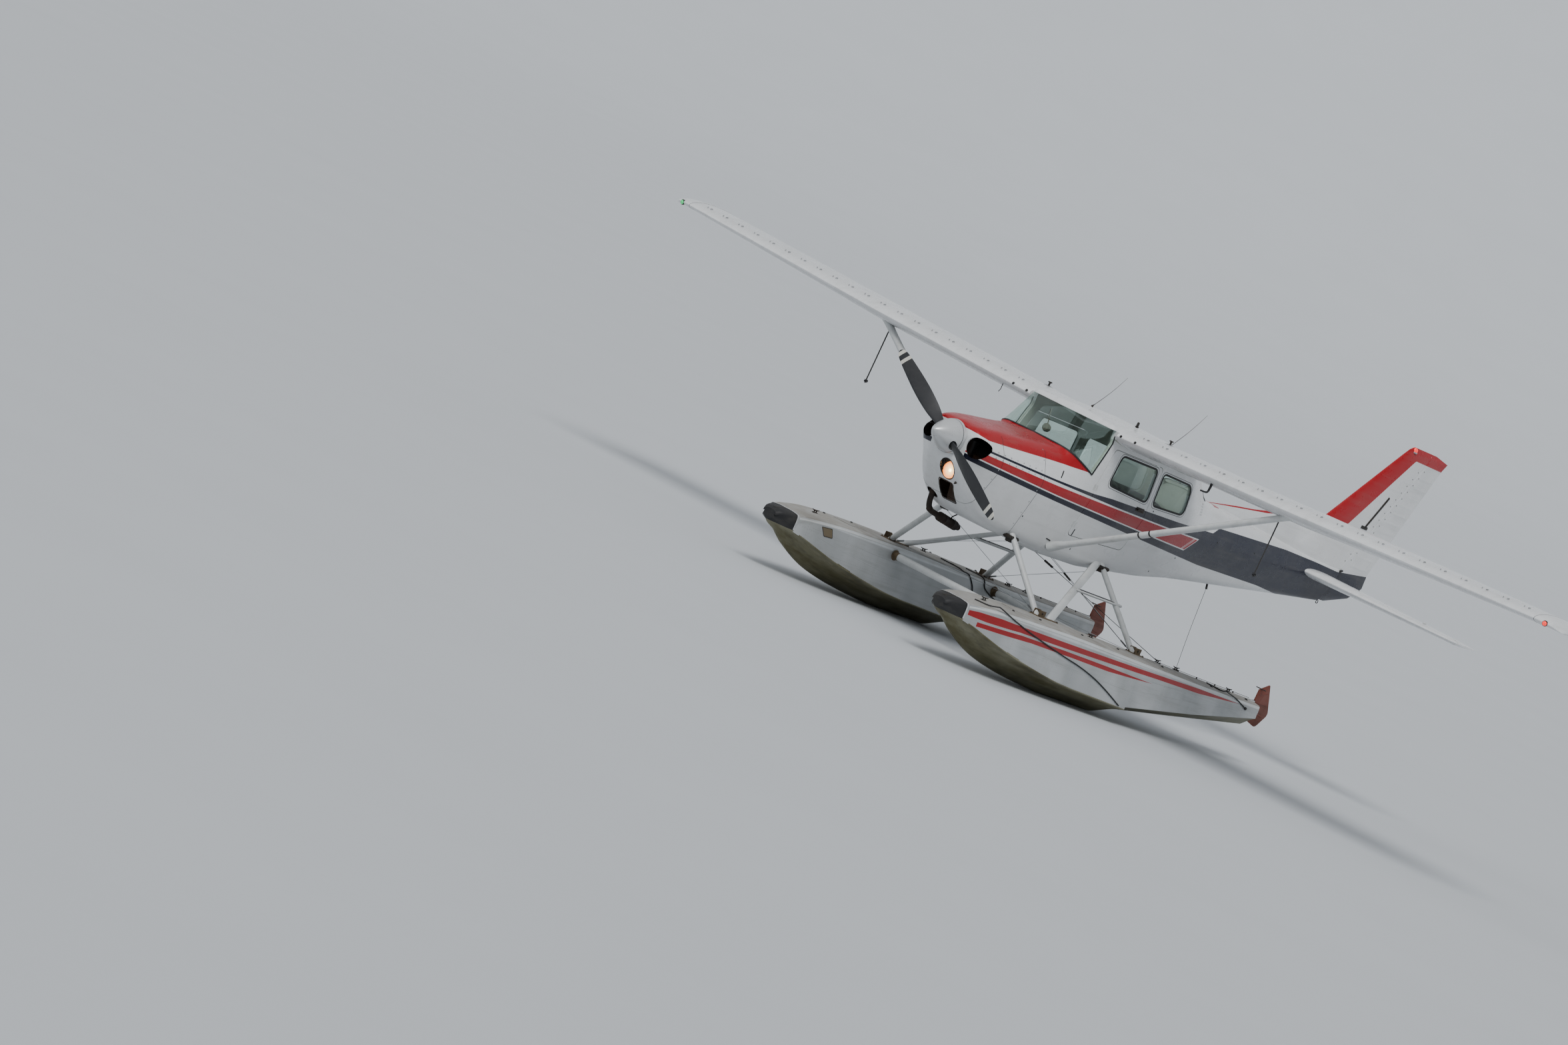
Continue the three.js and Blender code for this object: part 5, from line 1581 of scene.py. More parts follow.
def cushion(centre, across, forward, up, thick, channels=4, bolster=0.3):
    """A crowned closed cushion: each section across it is a rounded box whose top rises to the middle and
    to two side bolsters, its sides pull in between the corners, and sewn channels cross it."""
    centre, across, forward, up = [np.asarray(a, float) for a in (centre, across, forward, up)]
    v = np.sin(np.linspace(-1, 1, 72) * np.pi / 2) * 0.999
    t = around(72)
    cx, cz = np.sign(np.cos(t)) * np.abs(np.cos(t)) ** 0.42, np.sign(np.sin(t)) * np.abs(np.sin(t)) ** 0.62
    end = (1 - np.abs(v) ** 6) ** (1 / 6)
    pull = 1 - 0.035 * (1 - v**2) ** 0.5
    u = cx[None] * (end * pull)[:, None]
    crown = 0.66 + 0.34 * (1 - cx[None] ** 2) * (1 - v[:, None] ** 2) ** 0.5 + bolster * np.exp(
        -(((np.abs(cx[None]) - 0.78) / 0.16) ** 2)
    ) * 0.4
    height = cz[None] * end[:, None] ** 0.7 * thick * np.where(cz[None] > 0, crown, 0.62)
    places = (np.arange(channels) + 1) / (channels + 1) * 1.7 - 0.85
    groove = np.exp(-(((v[:, None] - places[None]) / 0.035) ** 2)).sum(1)
    inner = np.clip((0.72 - np.abs(cx)) / 0.1, 0, 1)
    edge_seam = np.exp(-(((np.abs(cx) - 0.68) / 0.03) ** 2)) * (np.abs(v[:, None]) < 0.9)
    height = height - np.where(cz[None] > 0, 0.012 * groove[:, None] * inner[None] + 0.009 * edge_seam, 0)
    welt = 0.006 * np.exp(-((cz[None] / 0.22) ** 2)) * np.abs(cx[None])
    points = (
        centre + across * (u * (1 + welt / np.linalg.norm(across)))[..., None]
        + forward * np.broadcast_to(v[:, None], u.shape)[..., None] + up * height[..., None]
    )
    return loft(points)


def skin_studs(spots, *sizes):
    """Studs on the fuselage side at (Y, Z) spots."""
    return studs(on_skin(spots), skin_normals(spots), *sizes)


def skin_tiles(spots, forward, *sizes):
    """Small blocks on the fuselage side at (Y, Z) spots."""
    return tiles(on_skin(spots), forward, skin_normals(spots), *sizes)


# Operators: one for each piece or group of like pieces


class Maker(bpy.types.Operator):
    """Common manners of the makers."""

    bl_idname = "floatplane.maker"
    bl_label = "Maker"
    bl_options = {"UNDO"}

    def make(self):
        raise NotImplementedError

    def execute(self, context):
        self.make()
        return {"FINISHED"}


class FLOATPLANE_OT_camera(Maker):
    """Place the camera at the photograph's viewing angle"""

    bl_idname = "floatplane.camera"
    bl_label = "Camera"

    def make(self):
        right = np.array([0.7134615, 0.56026254, 0.42080705])
        down = np.array([0.37164338, 0.20654977, -0.90510684])
        ahead = np.array([-0.59401505, 0.80214904, -0.06085256])
        place = np.array([37.3728, -53.1244, 2.5622]) + SHIFT
        data = bpy.data.cameras.new("camera")
        data.sensor_width = 36.0
        data.lens = 162.81
        data.clip_start, data.clip_end = 1.0, 1000.0
        camera = bpy.data.objects.new("camera", data)
        turn = Matrix([list(right), list(-down), list(-ahead)]).transposed().to_4x4()
        camera.matrix_world = Matrix.Translation(place.tolist()) @ turn
        bpy.context.scene.collection.objects.link(camera)
        bpy.context.scene.camera = camera


class FLOATPLANE_OT_ropes(Maker):
    """Hang the two mooring ropes and tie their knots"""

    bl_idname = "floatplane.ropes"
    bl_label = "Mooring ropes"

    def make(self):
        for side, sign in (("left", 1), ("right", -1)):
            z = np.linspace(ROPE_TOP - HAIRLINE, ROPE_FOOT, 60)
            path = columns(sign * ROPE_X, ROPE_Y, z)
            shape, uv_rows = self.laid(path)
            rope = piece(f"rope_{side}", shape, "rope_fibre", 80, f"mooring_rope_{side}")
            layer = rope.data.uv_layers.new(name="UVMap")
            corner = np.empty(len(rope.data.loops), int)
            rope.data.loops.foreach_get("vertex_index", corner)
            layer.data.foreach_set("uv", uv_rows[corner].ravel())
            knot = self.knot(path[-1] + [0, 0, 0.022])
            tied = piece(f"rope_knot_{side}", knot, "black_plastic", 80)

    def laid(self, path):
        """A three-strand rope: the tube's radius falls between strands that turn once every 60 mm."""
        count, lay = 18, 0.060
        _, side, up = ring_frames(path)
        angle = around(count)
        run = walked(path)
        strand = np.abs(np.cos(1.5 * (angle[None] - 2 * np.pi * run[:, None] / lay)))
        radius = ROPE_RADIUS * (0.84 + 0.16 * strand)
        shape = loft(path[:, None] + spokes(side, up, count) * radius[..., None])
        uv = np.stack(np.broadcast_arrays(angle[None] / (2 * np.pi), run[:, None]), -1).reshape(-1, 2)
        return shape, uv

    def knot(self, centre):
        """An overhand knot: a tube along a trefoil curve pressed round the rope."""
        t = np.linspace(0, 2 * np.pi, 91)[:-1]
        curve = np.stack([
            np.sin(t) + 2 * np.sin(2 * t), np.cos(t) - 2 * np.cos(2 * t), -np.sin(3 * t) * 1.5,
        ], -1) * 0.0058
        _, side, up = ring_frames(np.vstack([curve, curve[:1]]))
        rings = curve[:, None] + spokes(side[:-1], up[:-1], 10) * 0.0056
        return rings.reshape(-1, 3) + centre, quads(90, 10, closed_rows=True, closed_columns=True)


class FLOATPLANE_OT_cowling(Maker):
    """Make the two cowls with their inlets and the landing light's opening"""

    bl_idname = "floatplane.cowling"
    bl_label = "Cowling"

    def make(self):
        rows = curve_through(COWL_ROWS, COWL_STATIONS)
        rows[-1, 0] = -HAIRLINE
        hollow_rows = rows[rows[:, 0] > FRONT_OPEN_Y].copy()
        hollow_rows = np.vstack([hollow_rows, hollow_rows[-1:]])
        hollow_rows[-1, 0] = 0.005
        outer = fuselage(rows)
        t = around(48)
        inlet = prism("y", np.column_stack([0.285 + 0.105 * np.cos(t), 0.098 * np.sin(t)]), -1.0, -0.70)
        corners = [
            (-0.045, -0.545, 0.014), (0.120, -0.545, 0.014), (0.120, -0.395, 0.014), (-0.045, -0.395, 0.014)
        ]
        shell = cut(
            outer, fuselage(hollow_rows, -COWL_SKIN), inlet, mirrored(inlet),
            rod([0, -1.0, 0], [0, -0.80, 0], 0.062, count=40),
            rod([LAMP_X, -1.0, LAMP_Z], [LAMP_X, -0.60, LAMP_Z], 0.08435, count=48),
            prism("y", rounded(corners, 4), -0.90, -0.45), block(-0.23, 0.23, -0.17, 0.02, -0.72, -0.56),
            rod([-0.190, -0.535, -0.40], [-0.190, -0.535, -0.70], 0.062, count=32),
        )
        above = block(-0.7, 0.7, -0.790, 0.02, 0.020, 0.5)
        lower = cut(shell, above)
        upper = common(shell, block(-0.7, 0.7, -0.790 + SEAM, 0.02, 0.020 + SEAM, 0.5))
        # Faces inside the cowl are painted black: painted shade.
        paints = ["skin_paint", "black_plastic"]
        piece("cowl_lower_skin", lower, paints, 34, "cowl_lower", zones=self.inside(lower))
        piece("cowl_upper_skin", upper, paints, 34, "cowl_upper", zones=self.inside(upper))

    def inside(self, shape):
        """1 on faces that look inwards, black as painted shade inside the cowl, and 0 on the painted ones."""
        centre, normal = face_facts(shape)
        inner = (normal * centre * [1, 0, 1]).sum(1) < -0.02
        return (inner | ((normal[:, 1] > 0.75) & (centre[:, 1] < -0.80))).astype(np.int32)


class FLOATPLANE_OT_fuselage(Maker):
    """Make the cabin shell, the doors, the tail cone and all the glazing"""

    bl_idname = "floatplane.fuselage"
    bl_label = "Fuselage"

    def make(self):
        at = np.concatenate([
            np.linspace(0, 0.25, 6), np.linspace(0.25, 0.7, 16)[1:], np.linspace(0.7, 2.95, 52)[1:]
        ])
        outer = fuselage(body_rows(at))
        room_at = np.concatenate([[0.020], at[(at > 0.03) & (at < 2.89)], [2.905]])
        hollow = common(
            fuselage(body_rows(room_at), -CABIN_WALL, -0.060), block(-0.9, 0.9, -0.1, 3.1, -0.610, 1.0)
        )
        roof = roof_foil()
        wall = cut(outer, hollow)
        shell = joined(wall, cut(roof, hollow))
        rear_hole = common(
            prism("x", outline(REAR_WINDOW), -REAR_WINDOW_HALF, REAR_WINDOW_HALF),
            block(-0.9, 0.9, 2.3, 3.0, 0.3, 0.9)
        )
        doorway = left_side(DOOR, DOOR_GAP)
        shell = cut(
            shell, doorway, mirrored(doorway), both_sides(QUARTER_WINDOW, TOUCH_GAP),
            both_sides(WINDSHIELD, TOUCH_GAP), rear_hole
        )
        linings = ["skin_paint", "cabin_lining", "cabin_carpet"]
        piece("cabin_skin", shell, linings, 34, "cabin_shell", zones=self.lined(shell))
        door = cut(common(wall, left_side(DOOR)), left_side(DOOR_WINDOW, TOUCH_GAP))
        pair("door_skin", door, linings, 34, "door_{}", body="door_{}", zones=self.lined(door))
        glass_at = np.concatenate([[0.010], at[(at > 0.02) & (at < 2.93)], [2.940]])
        glass = cut(outer, fuselage(body_rows(glass_at), -GLASS_THICK))
        pair(
            "door_pane", common(glass, left_side(DOOR_WINDOW)), "window_plastic", 50, "door_window_{}",
            body="door_{}"
        )
        pair(
            "quarter_pane", common(glass, left_side(QUARTER_WINDOW)), "window_plastic", 50,
            "quarter_window_{}"
        )
        piece(
            "windshield_pane", common(cut(glass, roof), both_sides(WINDSHIELD)), "window_plastic", 50,
            "windshield"
        )
        rear = common(
            glass,
            prism(
                "x", outline(REAR_WINDOW, -TOUCH_GAP), TOUCH_GAP - REAR_WINDOW_HALF,
                REAR_WINDOW_HALF - TOUCH_GAP
            )
        )
        piece("rear_pane", rear, "window_plastic", 50, "rear_window")
        self.tail()

    def lined(self, shape):
        """0 paint outside, 1 lining on faces that look into the cabin, 2 carpet on the floor."""
        centre, normal = face_facts(shape)
        out = centre * [1, 0, 1]
        out /= np.linalg.norm(out, axis=1)[:, None] + 1e-9
        inner = (normal * out).sum(1) < -0.12
        inner |= (normal[:, 1] > 0.9) & (centre[:, 1] < 0.10) & (centre[:, 1] > 0.01)
        inner |= (normal[:, 1] < -0.9) & (centre[:, 1] > 2.85) & (centre[:, 1] < 2.93)
        floor = inner & (normal[:, 2] > 0.8) & (centre[:, 2] < -0.45)
        return inner.astype(np.int32) + floor.astype(np.int32)

    def tail(self):
        outer = fuselage(body_rows(CONE_STATIONS))
        inner = fuselage(body_rows(np.linspace(2.97, 5.6, 40)), -0.010)
        bore = rod([-0.2, ELEVATOR_Y, STAB_Z], [0.2, ELEVATOR_Y, STAB_Z], TORQUE_TUBE + 0.001, count=32)
        port = rod([0, 2.94, 0], [0, 2.99, 0], 0.090, count=32)
        cone = largest(cut(outer, *rudder_room(), bore, inner, port))
        piece("tail_cone_skin", moved(cone, (0, 0.0006, 0)), "skin_paint", 34, "tail_cone")


class FLOATPLANE_OT_wings(Maker):
    """Make the wings, ailerons and flaps"""

    bl_idname = "floatplane.wings"
    bl_label = "Wings"

    def make(self):
        fixed, aileron, flap = make_wing()
        pair("wing_skin", fixed, "wing_paint", 32, "wing_{}")
        pair("aileron_skin", aileron, "wing_paint", 25, "aileron_{}", body="aileron_{}")
        pair("flap_skin", flap, "wing_paint", 25, "flap_{}", body="flap_{}")


class FLOATPLANE_OT_tail(Maker):
    """Make the fin, rudder, tailplane and elevators"""

    bl_idname = "floatplane.tail"
    bl_label = "Tail"

    def make(self):
        cone = fuselage(body_rows(CONE_STATIONS))
        rows = curve_through(
            [[3.290, 0.316, 0.006], [3.82, 0.389, 0.011], [4.36, 0.461, 0.016], [5.45, 0.672, 0.030]], 24
        )
        dorsal = loft([
            [
                [-h, y, 0.10], [h, y, 0.10], [h * 0.8, y, top - 0.02], [h * 0.45, y, top - 0.004],
                [0, y, top], [-h * 0.45, y, top - 0.004], [-h * 0.8, y, top - 0.02]
            ]
            for y, top, h in rows
        ])
        fin = largest(cut(joined(fin_skin(), dorsal), *rudder_room(), cone))
        piece("fin_skin", fin, "skin_paint", 30, "fin")
        nose = rod(HINGE_BOTTOM, HINGE_TOP, *RUDDER_NOSE, 32)
        rudder = common(fin_skin(0.105), joined(rudder_region(0), nose))
        piece("rudder_skin", rudder, "skin_paint", 25, "rudder", body="rudder")
        root, tip = [ELEVATOR_INNER_X, ELEVATOR_Y, STAB_Z], [ELEVATOR_OUTER_X, ELEVATOR_Y, STAB_Z]
        plan = [
            [ELEVATOR_INNER_X, 5.6], [ELEVATOR_INNER_X, 5.815], [0.262, 6.42], [2.0, 6.42], [2.0, ELEVATOR_Y],
            [ELEVATOR_OUTER_X, ELEVATOR_Y], [ELEVATOR_OUTER_X, 5.6]
        ]
        behind = joined(block(0, 2.0, ELEVATOR_Y, 6.5, -0.3, 0.4), rod(root, tip, *ELEVATOR_NOSE, 32))
        elevator = common(common(stab_skin(0.095), behind), prism("z", plan, -0.3, 0.4))
        pair("elevator_skin", elevator, "wing_paint", 25, "elevator_{}", body="elevator")
        plane = cut(
            stab_skin(), block(0, 2.0, ELEVATOR_Y - MOVING_GAP, 6.5, -0.3, 0.4),
            *nose_rods(root, tip, *ELEVATOR_NOSE, MOVING_GAP),
            block(0, ELEVATOR_INNER_X, ELEVATOR_Y - 0.06, 6.5, -0.3, 0.4),
            block(ELEVATOR_OUTER_X - MOVING_GAP, 2.0, ELEVATOR_Y - 0.018, 6.5, -0.3, 0.4), cone,
            block(-0.01, 0.045, 5.0, 6.5, -0.2, 0.3)
        )
        pair("stabilizer_skin", largest(plane), "wing_paint", 30, "stabilizer_{}")


class FLOATPLANE_OT_floats(Maker):
    """Make the float hulls with the lugs for the water rudders, and the bow bumpers"""

    bl_idname = "floatplane.floats"
    bl_label = "Floats"

    def make(self):
        hull = float_hull(FLOAT_X)
        nose = block(FLOAT_X - 0.4, FLOAT_X + 0.4, -1.6, BUMPER_Y + HAIRLINE, BUMPER_Z - HAIRLINE, -1.1)
        body = cut(hull, nose)
        lugs = [
            block(FLOAT_X - 0.016, FLOAT_X + 0.016, TRANSOM_Y - 0.03, WATER_HINGE_Y + 0.014, z0, z1)
            for z0, z1 in LUGS
        ]
        body = joined(body, *lugs)
        centre, normal = face_facts(body)
        chine = np.interp(centre[:, 1], FLOAT_ROWS[:, 0], FLOAT_ROWS[:, 2])
        below = (centre[:, 2] < chine + 0.006) & (np.abs(normal[:, 1]) < 0.97)
        top = (normal[:, 2] > 0.55) & (centre[:, 2] > -1.33)
        zones = np.where(below, 1, np.where(top, 2, 0)).astype(np.int32)
        paints = ["float_side_paint", "float_bottom_paint", "float_deck_paint"]
        pair("float_hull", body, paints, 28, "float_{}", zones=zones)
        bumper = common(hull, block(FLOAT_X - 0.4, FLOAT_X + 0.4, -1.6, BUMPER_Y, BUMPER_Z, -1.1))
        pair("bumper_rubber", bumper, "rubber", 40, "bow_bumper_{}")


class FLOATPLANE_OT_struts(Maker):
    """Make the wing struts and the float struts"""

    bl_idname = "floatplane.struts"
    bl_label = "Struts"

    def make(self):
        along = unit(STRUT_HIGH - STRUT_LOW)
        swell = [(0, 1.16), (0.03, 1.12), (0.07, 1.0), (0.90, 1.0), (0.94, 1.04), (0.975, 1.12), (1.0, 1.22)]
        wing_strut = strut(STRUT_LOW, STRUT_HIGH - 0.02 * along, 0.132, 0.058, swell=swell)
        pair("wing_strut_skin", wing_strut, "strut_paint", 40, "wing_strut_{}")
        for name, low, high, chord, thick in (
            (
                "front", DECK_FRONT, FUSELAGE_FRONT, 0.095, 0.048
            ), ("rear", DECK_REAR, FUSELAGE_REAR, 0.095, 0.048),
            ("diagonal", DIAGONAL_LOW, DIAGONAL_HIGH, 0.140, 0.040),
        ):
            name, leg = f"float_strut_{name}", strut(low + [0, 0, 0.012], high, chord, thick)
            pair(name + "_skin", leg, "strut_paint", 40, name + "_{}")


class FLOATPLANE_OT_window_trim(Maker):
    """Fit rubber seals, outer frames and the windshield's edges and braces"""

    bl_idname = "floatplane.window_trim"
    bl_label = "Window trim"

    def side_seal(self, name, corners, body):
        path = evened(outline(corners, 0.002), 0.016, closed=True)
        seal = hoop(on_skin(path, 0.001), skin_normals(path), 0.0095, 0.0045)
        path = evened(outline(corners, 0.024), 0.02, closed=True)
        rim = hoop(on_skin(path, 0.0), skin_normals(path), 0.0024, 0.0018)
        pair(name, together(seal, rim), "rubber", 60, body=body)

    def make(self):
        self.side_seal("door_window_seal", DOOR_WINDOW, "door_{}")
        self.side_seal("quarter_window_seal", QUARTER_WINDOW, "airframe")
        (y0, z0, _), (y1, z1, _), (y2, z2, _) = WINDSHIELD[:3]
        y = np.linspace(0.2545, y1, 26)
        z = z0 + (y - y0) * (z1 - z0) / (y1 - y0)
        left = np.column_stack([skin_x(y, z), y, z])
        left[0] = [0, *top_points([0.0], [0.2552])[0, 1:]]
        base = np.vstack([left[::-1] * [-1, 1, 1], left[1:]])
        base = evened(base, 0.02)
        out = base * [1, 0, 1] + [0, -0.25, 0.3]
        piece("windshield_base_seal", hoop(base, out, 0.012, 0.005, closed=False), "rubber", 60)
        z = np.linspace(z1, z2, 16)
        post = np.column_stack([y1 + (z - z1) * (y2 - y1) / (z2 - z1), z])
        post = np.vstack([post, [[0.738, 0.56], [0.735, 0.592]]])
        pair(
            "windshield_post_seal",
            hoop(on_skin(post, 0.001), skin_normals(post), 0.010, 0.005, closed=False), "rubber", 60
        )
        inner = post[1:-1]
        pair(
            "windshield_post",
            hoop(on_skin(inner + [0.012, 0], -0.022), skin_normals(inner), 0.024, 0.012, closed=False),
            "cabin_lining", 60
        )
        cap_at = np.linspace(0.5, 0.80, 40)
        band = cut(
            fuselage(body_rows(cap_at), 0.0022),
            fuselage(body_rows(np.concatenate([[0.48], cap_at[1:-1], [0.83]])), -0.0015)
        )
        band = common(
            band, prism("x", [[0.560, 0.640], [0.800, 0.640], [0.800, 0.9], [0.560, 0.9]], -0.60, 0.60)
        )
        piece("windshield_cap", largest(band), "wing_paint")
        y = np.linspace(2.421, 2.899, 26)
        x = np.minimum(REAR_WINDOW_HALF, skin_x(y, 0.470 + (y - 2.42) * (0.340 - 0.470) / 0.48))
        back = np.linspace(1, -1, 24)[1:-1]
        plan = np.vstack([
            np.column_stack([x, y]), columns(back * x[-1], y[-1]),
            np.column_stack([-x, y])[::-1], columns(-back * x[0], y[0]),
        ])
        path = top_points(plan[:, 0], plan[:, 1])
        piece("rear_window_seal", hoop(path, path * [1, 0, 1] + [0, 0.12, 0.1], 0.011, 0.005), "rubber", 60)
        brace = swept([[0.0, 0.89, 0.594], [0.40, 0.89, 0.652]], 0.014, 14)
        pair("windshield_brace", brace, "strut_paint", 60)
        hub = swept([[-0.2, 0.64, 0.56], [-0.2, 0.69, 0.40]], 0.004, 8)
        bowl = turned(
            [(0, 0.012), (0.006, 0.034), (0.03, 0.042), (0.055, 0.036), (0.066, 0.016)], (-0.2, 0.66, 0.392),
            (0, 1, -0.15), 28
        )
        piece("compass_body", together(hub, bowl), "hatch_paint")
        piece(
            "compass_card", turned([(0, 0.026), (0.004, 0.028)], (-0.2, 0.724, 0.382), (0, 1, -0.15), 28),
            "dial_mark"
        )


class FLOATPLANE_OT_nose_details(Maker):
    """Make the engine, landing light, intake frame, cowl fasteners and exhaust"""

    bl_idname = "floatplane.nose_details"
    bl_label = "Nose details"

    def make(self):
        self.engine()
        self.lamp()
        self.exhaust()
        corners = rounded(
            [
                (-0.050, -0.550, 0.016), (0.125, -0.550, 0.016), (0.125, -0.390, 0.016),
                (-0.050, -0.390, 0.016)
            ],
            4
        )
        path = evened(corners, 0.012, closed=True)
        frame_path = nose_points(path[:, 0], path[:, 1])
        piece(
            "intake_frame", hoop(frame_path, [0, -0.8, -0.6], 0.006, 0.003), "dark_metal", 60,
        )
        seam = columns(np.linspace(-0.76, -0.05, 9), 0.045)
        lower = columns(np.linspace(-0.70, -0.05, 8), -0.008)
        edge_z = np.array([-0.50, -0.38, -0.26, -0.14, 0.14, 0.22])
        edge = columns(-0.028, edge_z)
        bowl_z = np.array([-0.40, -0.30, -0.20, -0.10, 0.12])
        bowl = columns(-0.615, bowl_z)
        places = np.vstack([seam, lower, edge, bowl])
        pair("cowl_fasteners", skin_studs(places, 0.0065, 0.0016), "bare_metal", 50)
        for name, y, low, high in (
            ("bowl_seam", -0.600, -0.52, 0.19), ("firewall_seam", -0.004, -0.60, 0.235)
        ):
            ring = ring_at(y)
            ring = evened(ring[(ring[:, 2] < high) & (ring[:, 2] > low)], 0.02)
            pair(
                name, hoop(ring, ring * [1, 0, 1] + [0, 0, 0.1], 0.0022, 0.0012, 6, closed=False), "rubber",
                60
            )
        knob = nose_points([0.161], [-0.365])
        piece(
            "tow_knob",
            together(
                studs(knob, [[0, -0.8, -0.6]], 0.012, 0.016),
                studs(knob + [0, -0.012, -0.010], [[0, -0.8, -0.6]], 0.007, 0.012)
            ),
            "dark_metal", 50
        )

    def engine(self):
        case = slab((-0.12, -0.690, -0.150), (0.12, -0.115, 0.085), 0.04)
        at = np.arange(0, 0.205, 0.005)
        fins = np.column_stack([at, np.where(np.arange(len(at)) % 2, 0.100, 0.070)])
        fins = np.repeat(fins, 2, axis=0)[1:]
        fins[1::2, 0] = fins[1::2, 0] - 0.0025
        fins = fins[np.argsort(fins[:, 0], kind="stable")]
        parts = [case, rod([0, -0.60, 0], [0, -0.9553, 0], 0.042, count=32)]
        for sign in (-1, 1):
            for y in (-0.57 + 0.02 * sign, -0.34 + 0.02 * sign):
                start = np.array([sign * 0.118, y, -0.045])
                parts.append(turned(fins, start, [sign, 0, 0], 36))
                head = start + [sign * 0.195, 0, 0]
                ends, reach = (head, head + [sign * 0.016, 0, 0]), [0, 0.07, 0.08]
                parts.append(slab(np.minimum(*ends) - reach, np.maximum(*ends) + reach, 0.007))
                pipe = [
                    start + d
                    for d in ([sign * 0.16, -0.03, -0.07], [sign * 0.15, 0, -0.13], [0, 0.03, -0.135])
                ]
                parts.append(swept(curve_through(pipe, 14), 0.018, 10))
            for z in (-0.15, 0.09):
                parts.append(rod([sign * 0.10, -0.20, z * 0.7], [sign * 0.23, -0.128, z], 0.016))
                parts.append(rod([sign * 0.23, -0.130, z], [sign * 0.23, -HAIRLINE, z], 0.016))
        piece("engine_detail", together(*parts), "engine_iron", 40, "engine_block")

    def lamp(self):
        centre = np.array([LAMP_X, 0, LAMP_Z])
        t = around(48)
        rim = nose_points(centre[0] + 0.0862 * np.cos(t), centre[2] + 0.0862 * np.sin(t))
        piece("lamp_ring", hoop(rim, [0.05, -0.85, -0.5], 0.005, 0.0035), "dark_metal", 60)
        rows = curve_through(COWL_ROWS, COWL_STATIONS)
        inner_rows = rows[rows[:, 0] > FRONT_OPEN_Y]
        lens = common(
            cut(fuselage(rows), fuselage(inner_rows, -0.005)),
            rod(centre + [0, -1.0, 0], centre + [0, -0.70, 0], 0.084, count=48)
        )
        piece("lamp_lens", lens, "landing_lens", 30, "landing_light")
        back = centre + [0, -0.700, 0]
        at = np.linspace(0, 1, 14)
        dish = np.column_stack([0.075 * at**2, 0.012 + 0.066 * at])
        # The reflector dish takes a painted glow that stands in for the lit bulb's reflection.
        piece("lamp_dish", turned(dish, back, [0, -1, -0.05], 48), "lamp_glow")
        piece(
            "lamp_bulb",
            turned(
                [(0, 0.010), (0.012, 0.016), (0.026, 0.014), (0.034, 0.004)], back + [0.004, -0.052, -0.004],
                [0, -1, -0.05], 24
            ),
            "filament", 60
        )

    def exhaust(self):
        path = curve_through(
            [
                [-0.190, -0.535, -0.1905], [-0.190, -0.535, -0.40], [-0.190, -0.530, -0.58],
                [-0.190, -0.470, -0.700], [-0.190, -0.300, -0.735]
            ],
            54
        )
        pipe = swept(path, 0.027, 28)
        along = unit([0, 0.38, -0.042])
        length = 0.3820
        profile = [
            (0, 0.027), (0.012, 0.034), (0.03, 0.044), (0.045, 0.046), (0.10, 0.0455), (0.102, 0.0468),
            (0.108, 0.0468), (0.110, 0.0455), (0.24, 0.0455), (0.242, 0.0468), (0.248, 0.0468),
            (0.250, 0.0455), (0.31, 0.0455), (0.325, 0.044), (0.340, 0.034), (0.345, 0.028), (length, 0.027),
            (length, 0.023), (0.35, 0.022)
        ]
        can = turned(profile, [-0.190, -0.310, -0.733], along, 40)
        clamps = []
        for k in (24, 40):
            step = path[k + 1] - path[k]
            clamps.append(
                turned(
                    [(-0.010, 0.0275), (-0.009, 0.031), (0.009, 0.031), (0.010, 0.0275)], path[k], step, 28
                )
            )
        hanger = swept(
            curve_through([[-0.19, -0.08, -0.72], [-0.19, -0.085, -0.70], [-0.16, -0.06, -0.655]], 10), 0.006,
            8
        )
        piece(
            "exhaust_pipe", together(pipe, can, *clamps, hanger), "exhaust_steel", 35, "exhaust",
        )


PROPELLER_Y = -0.985
SPINNER_FOOT, SPINNER_LENGTH, SPINNER_RADIUS = -0.905, 0.295, 0.165


def spinner_radius(s):
    """The spinner's radius from its foot, s = 0, to its point, s = 1: a blunt power curve."""
    return SPINNER_RADIUS * np.clip(1 - s**1.35, 0, 1) ** 0.72


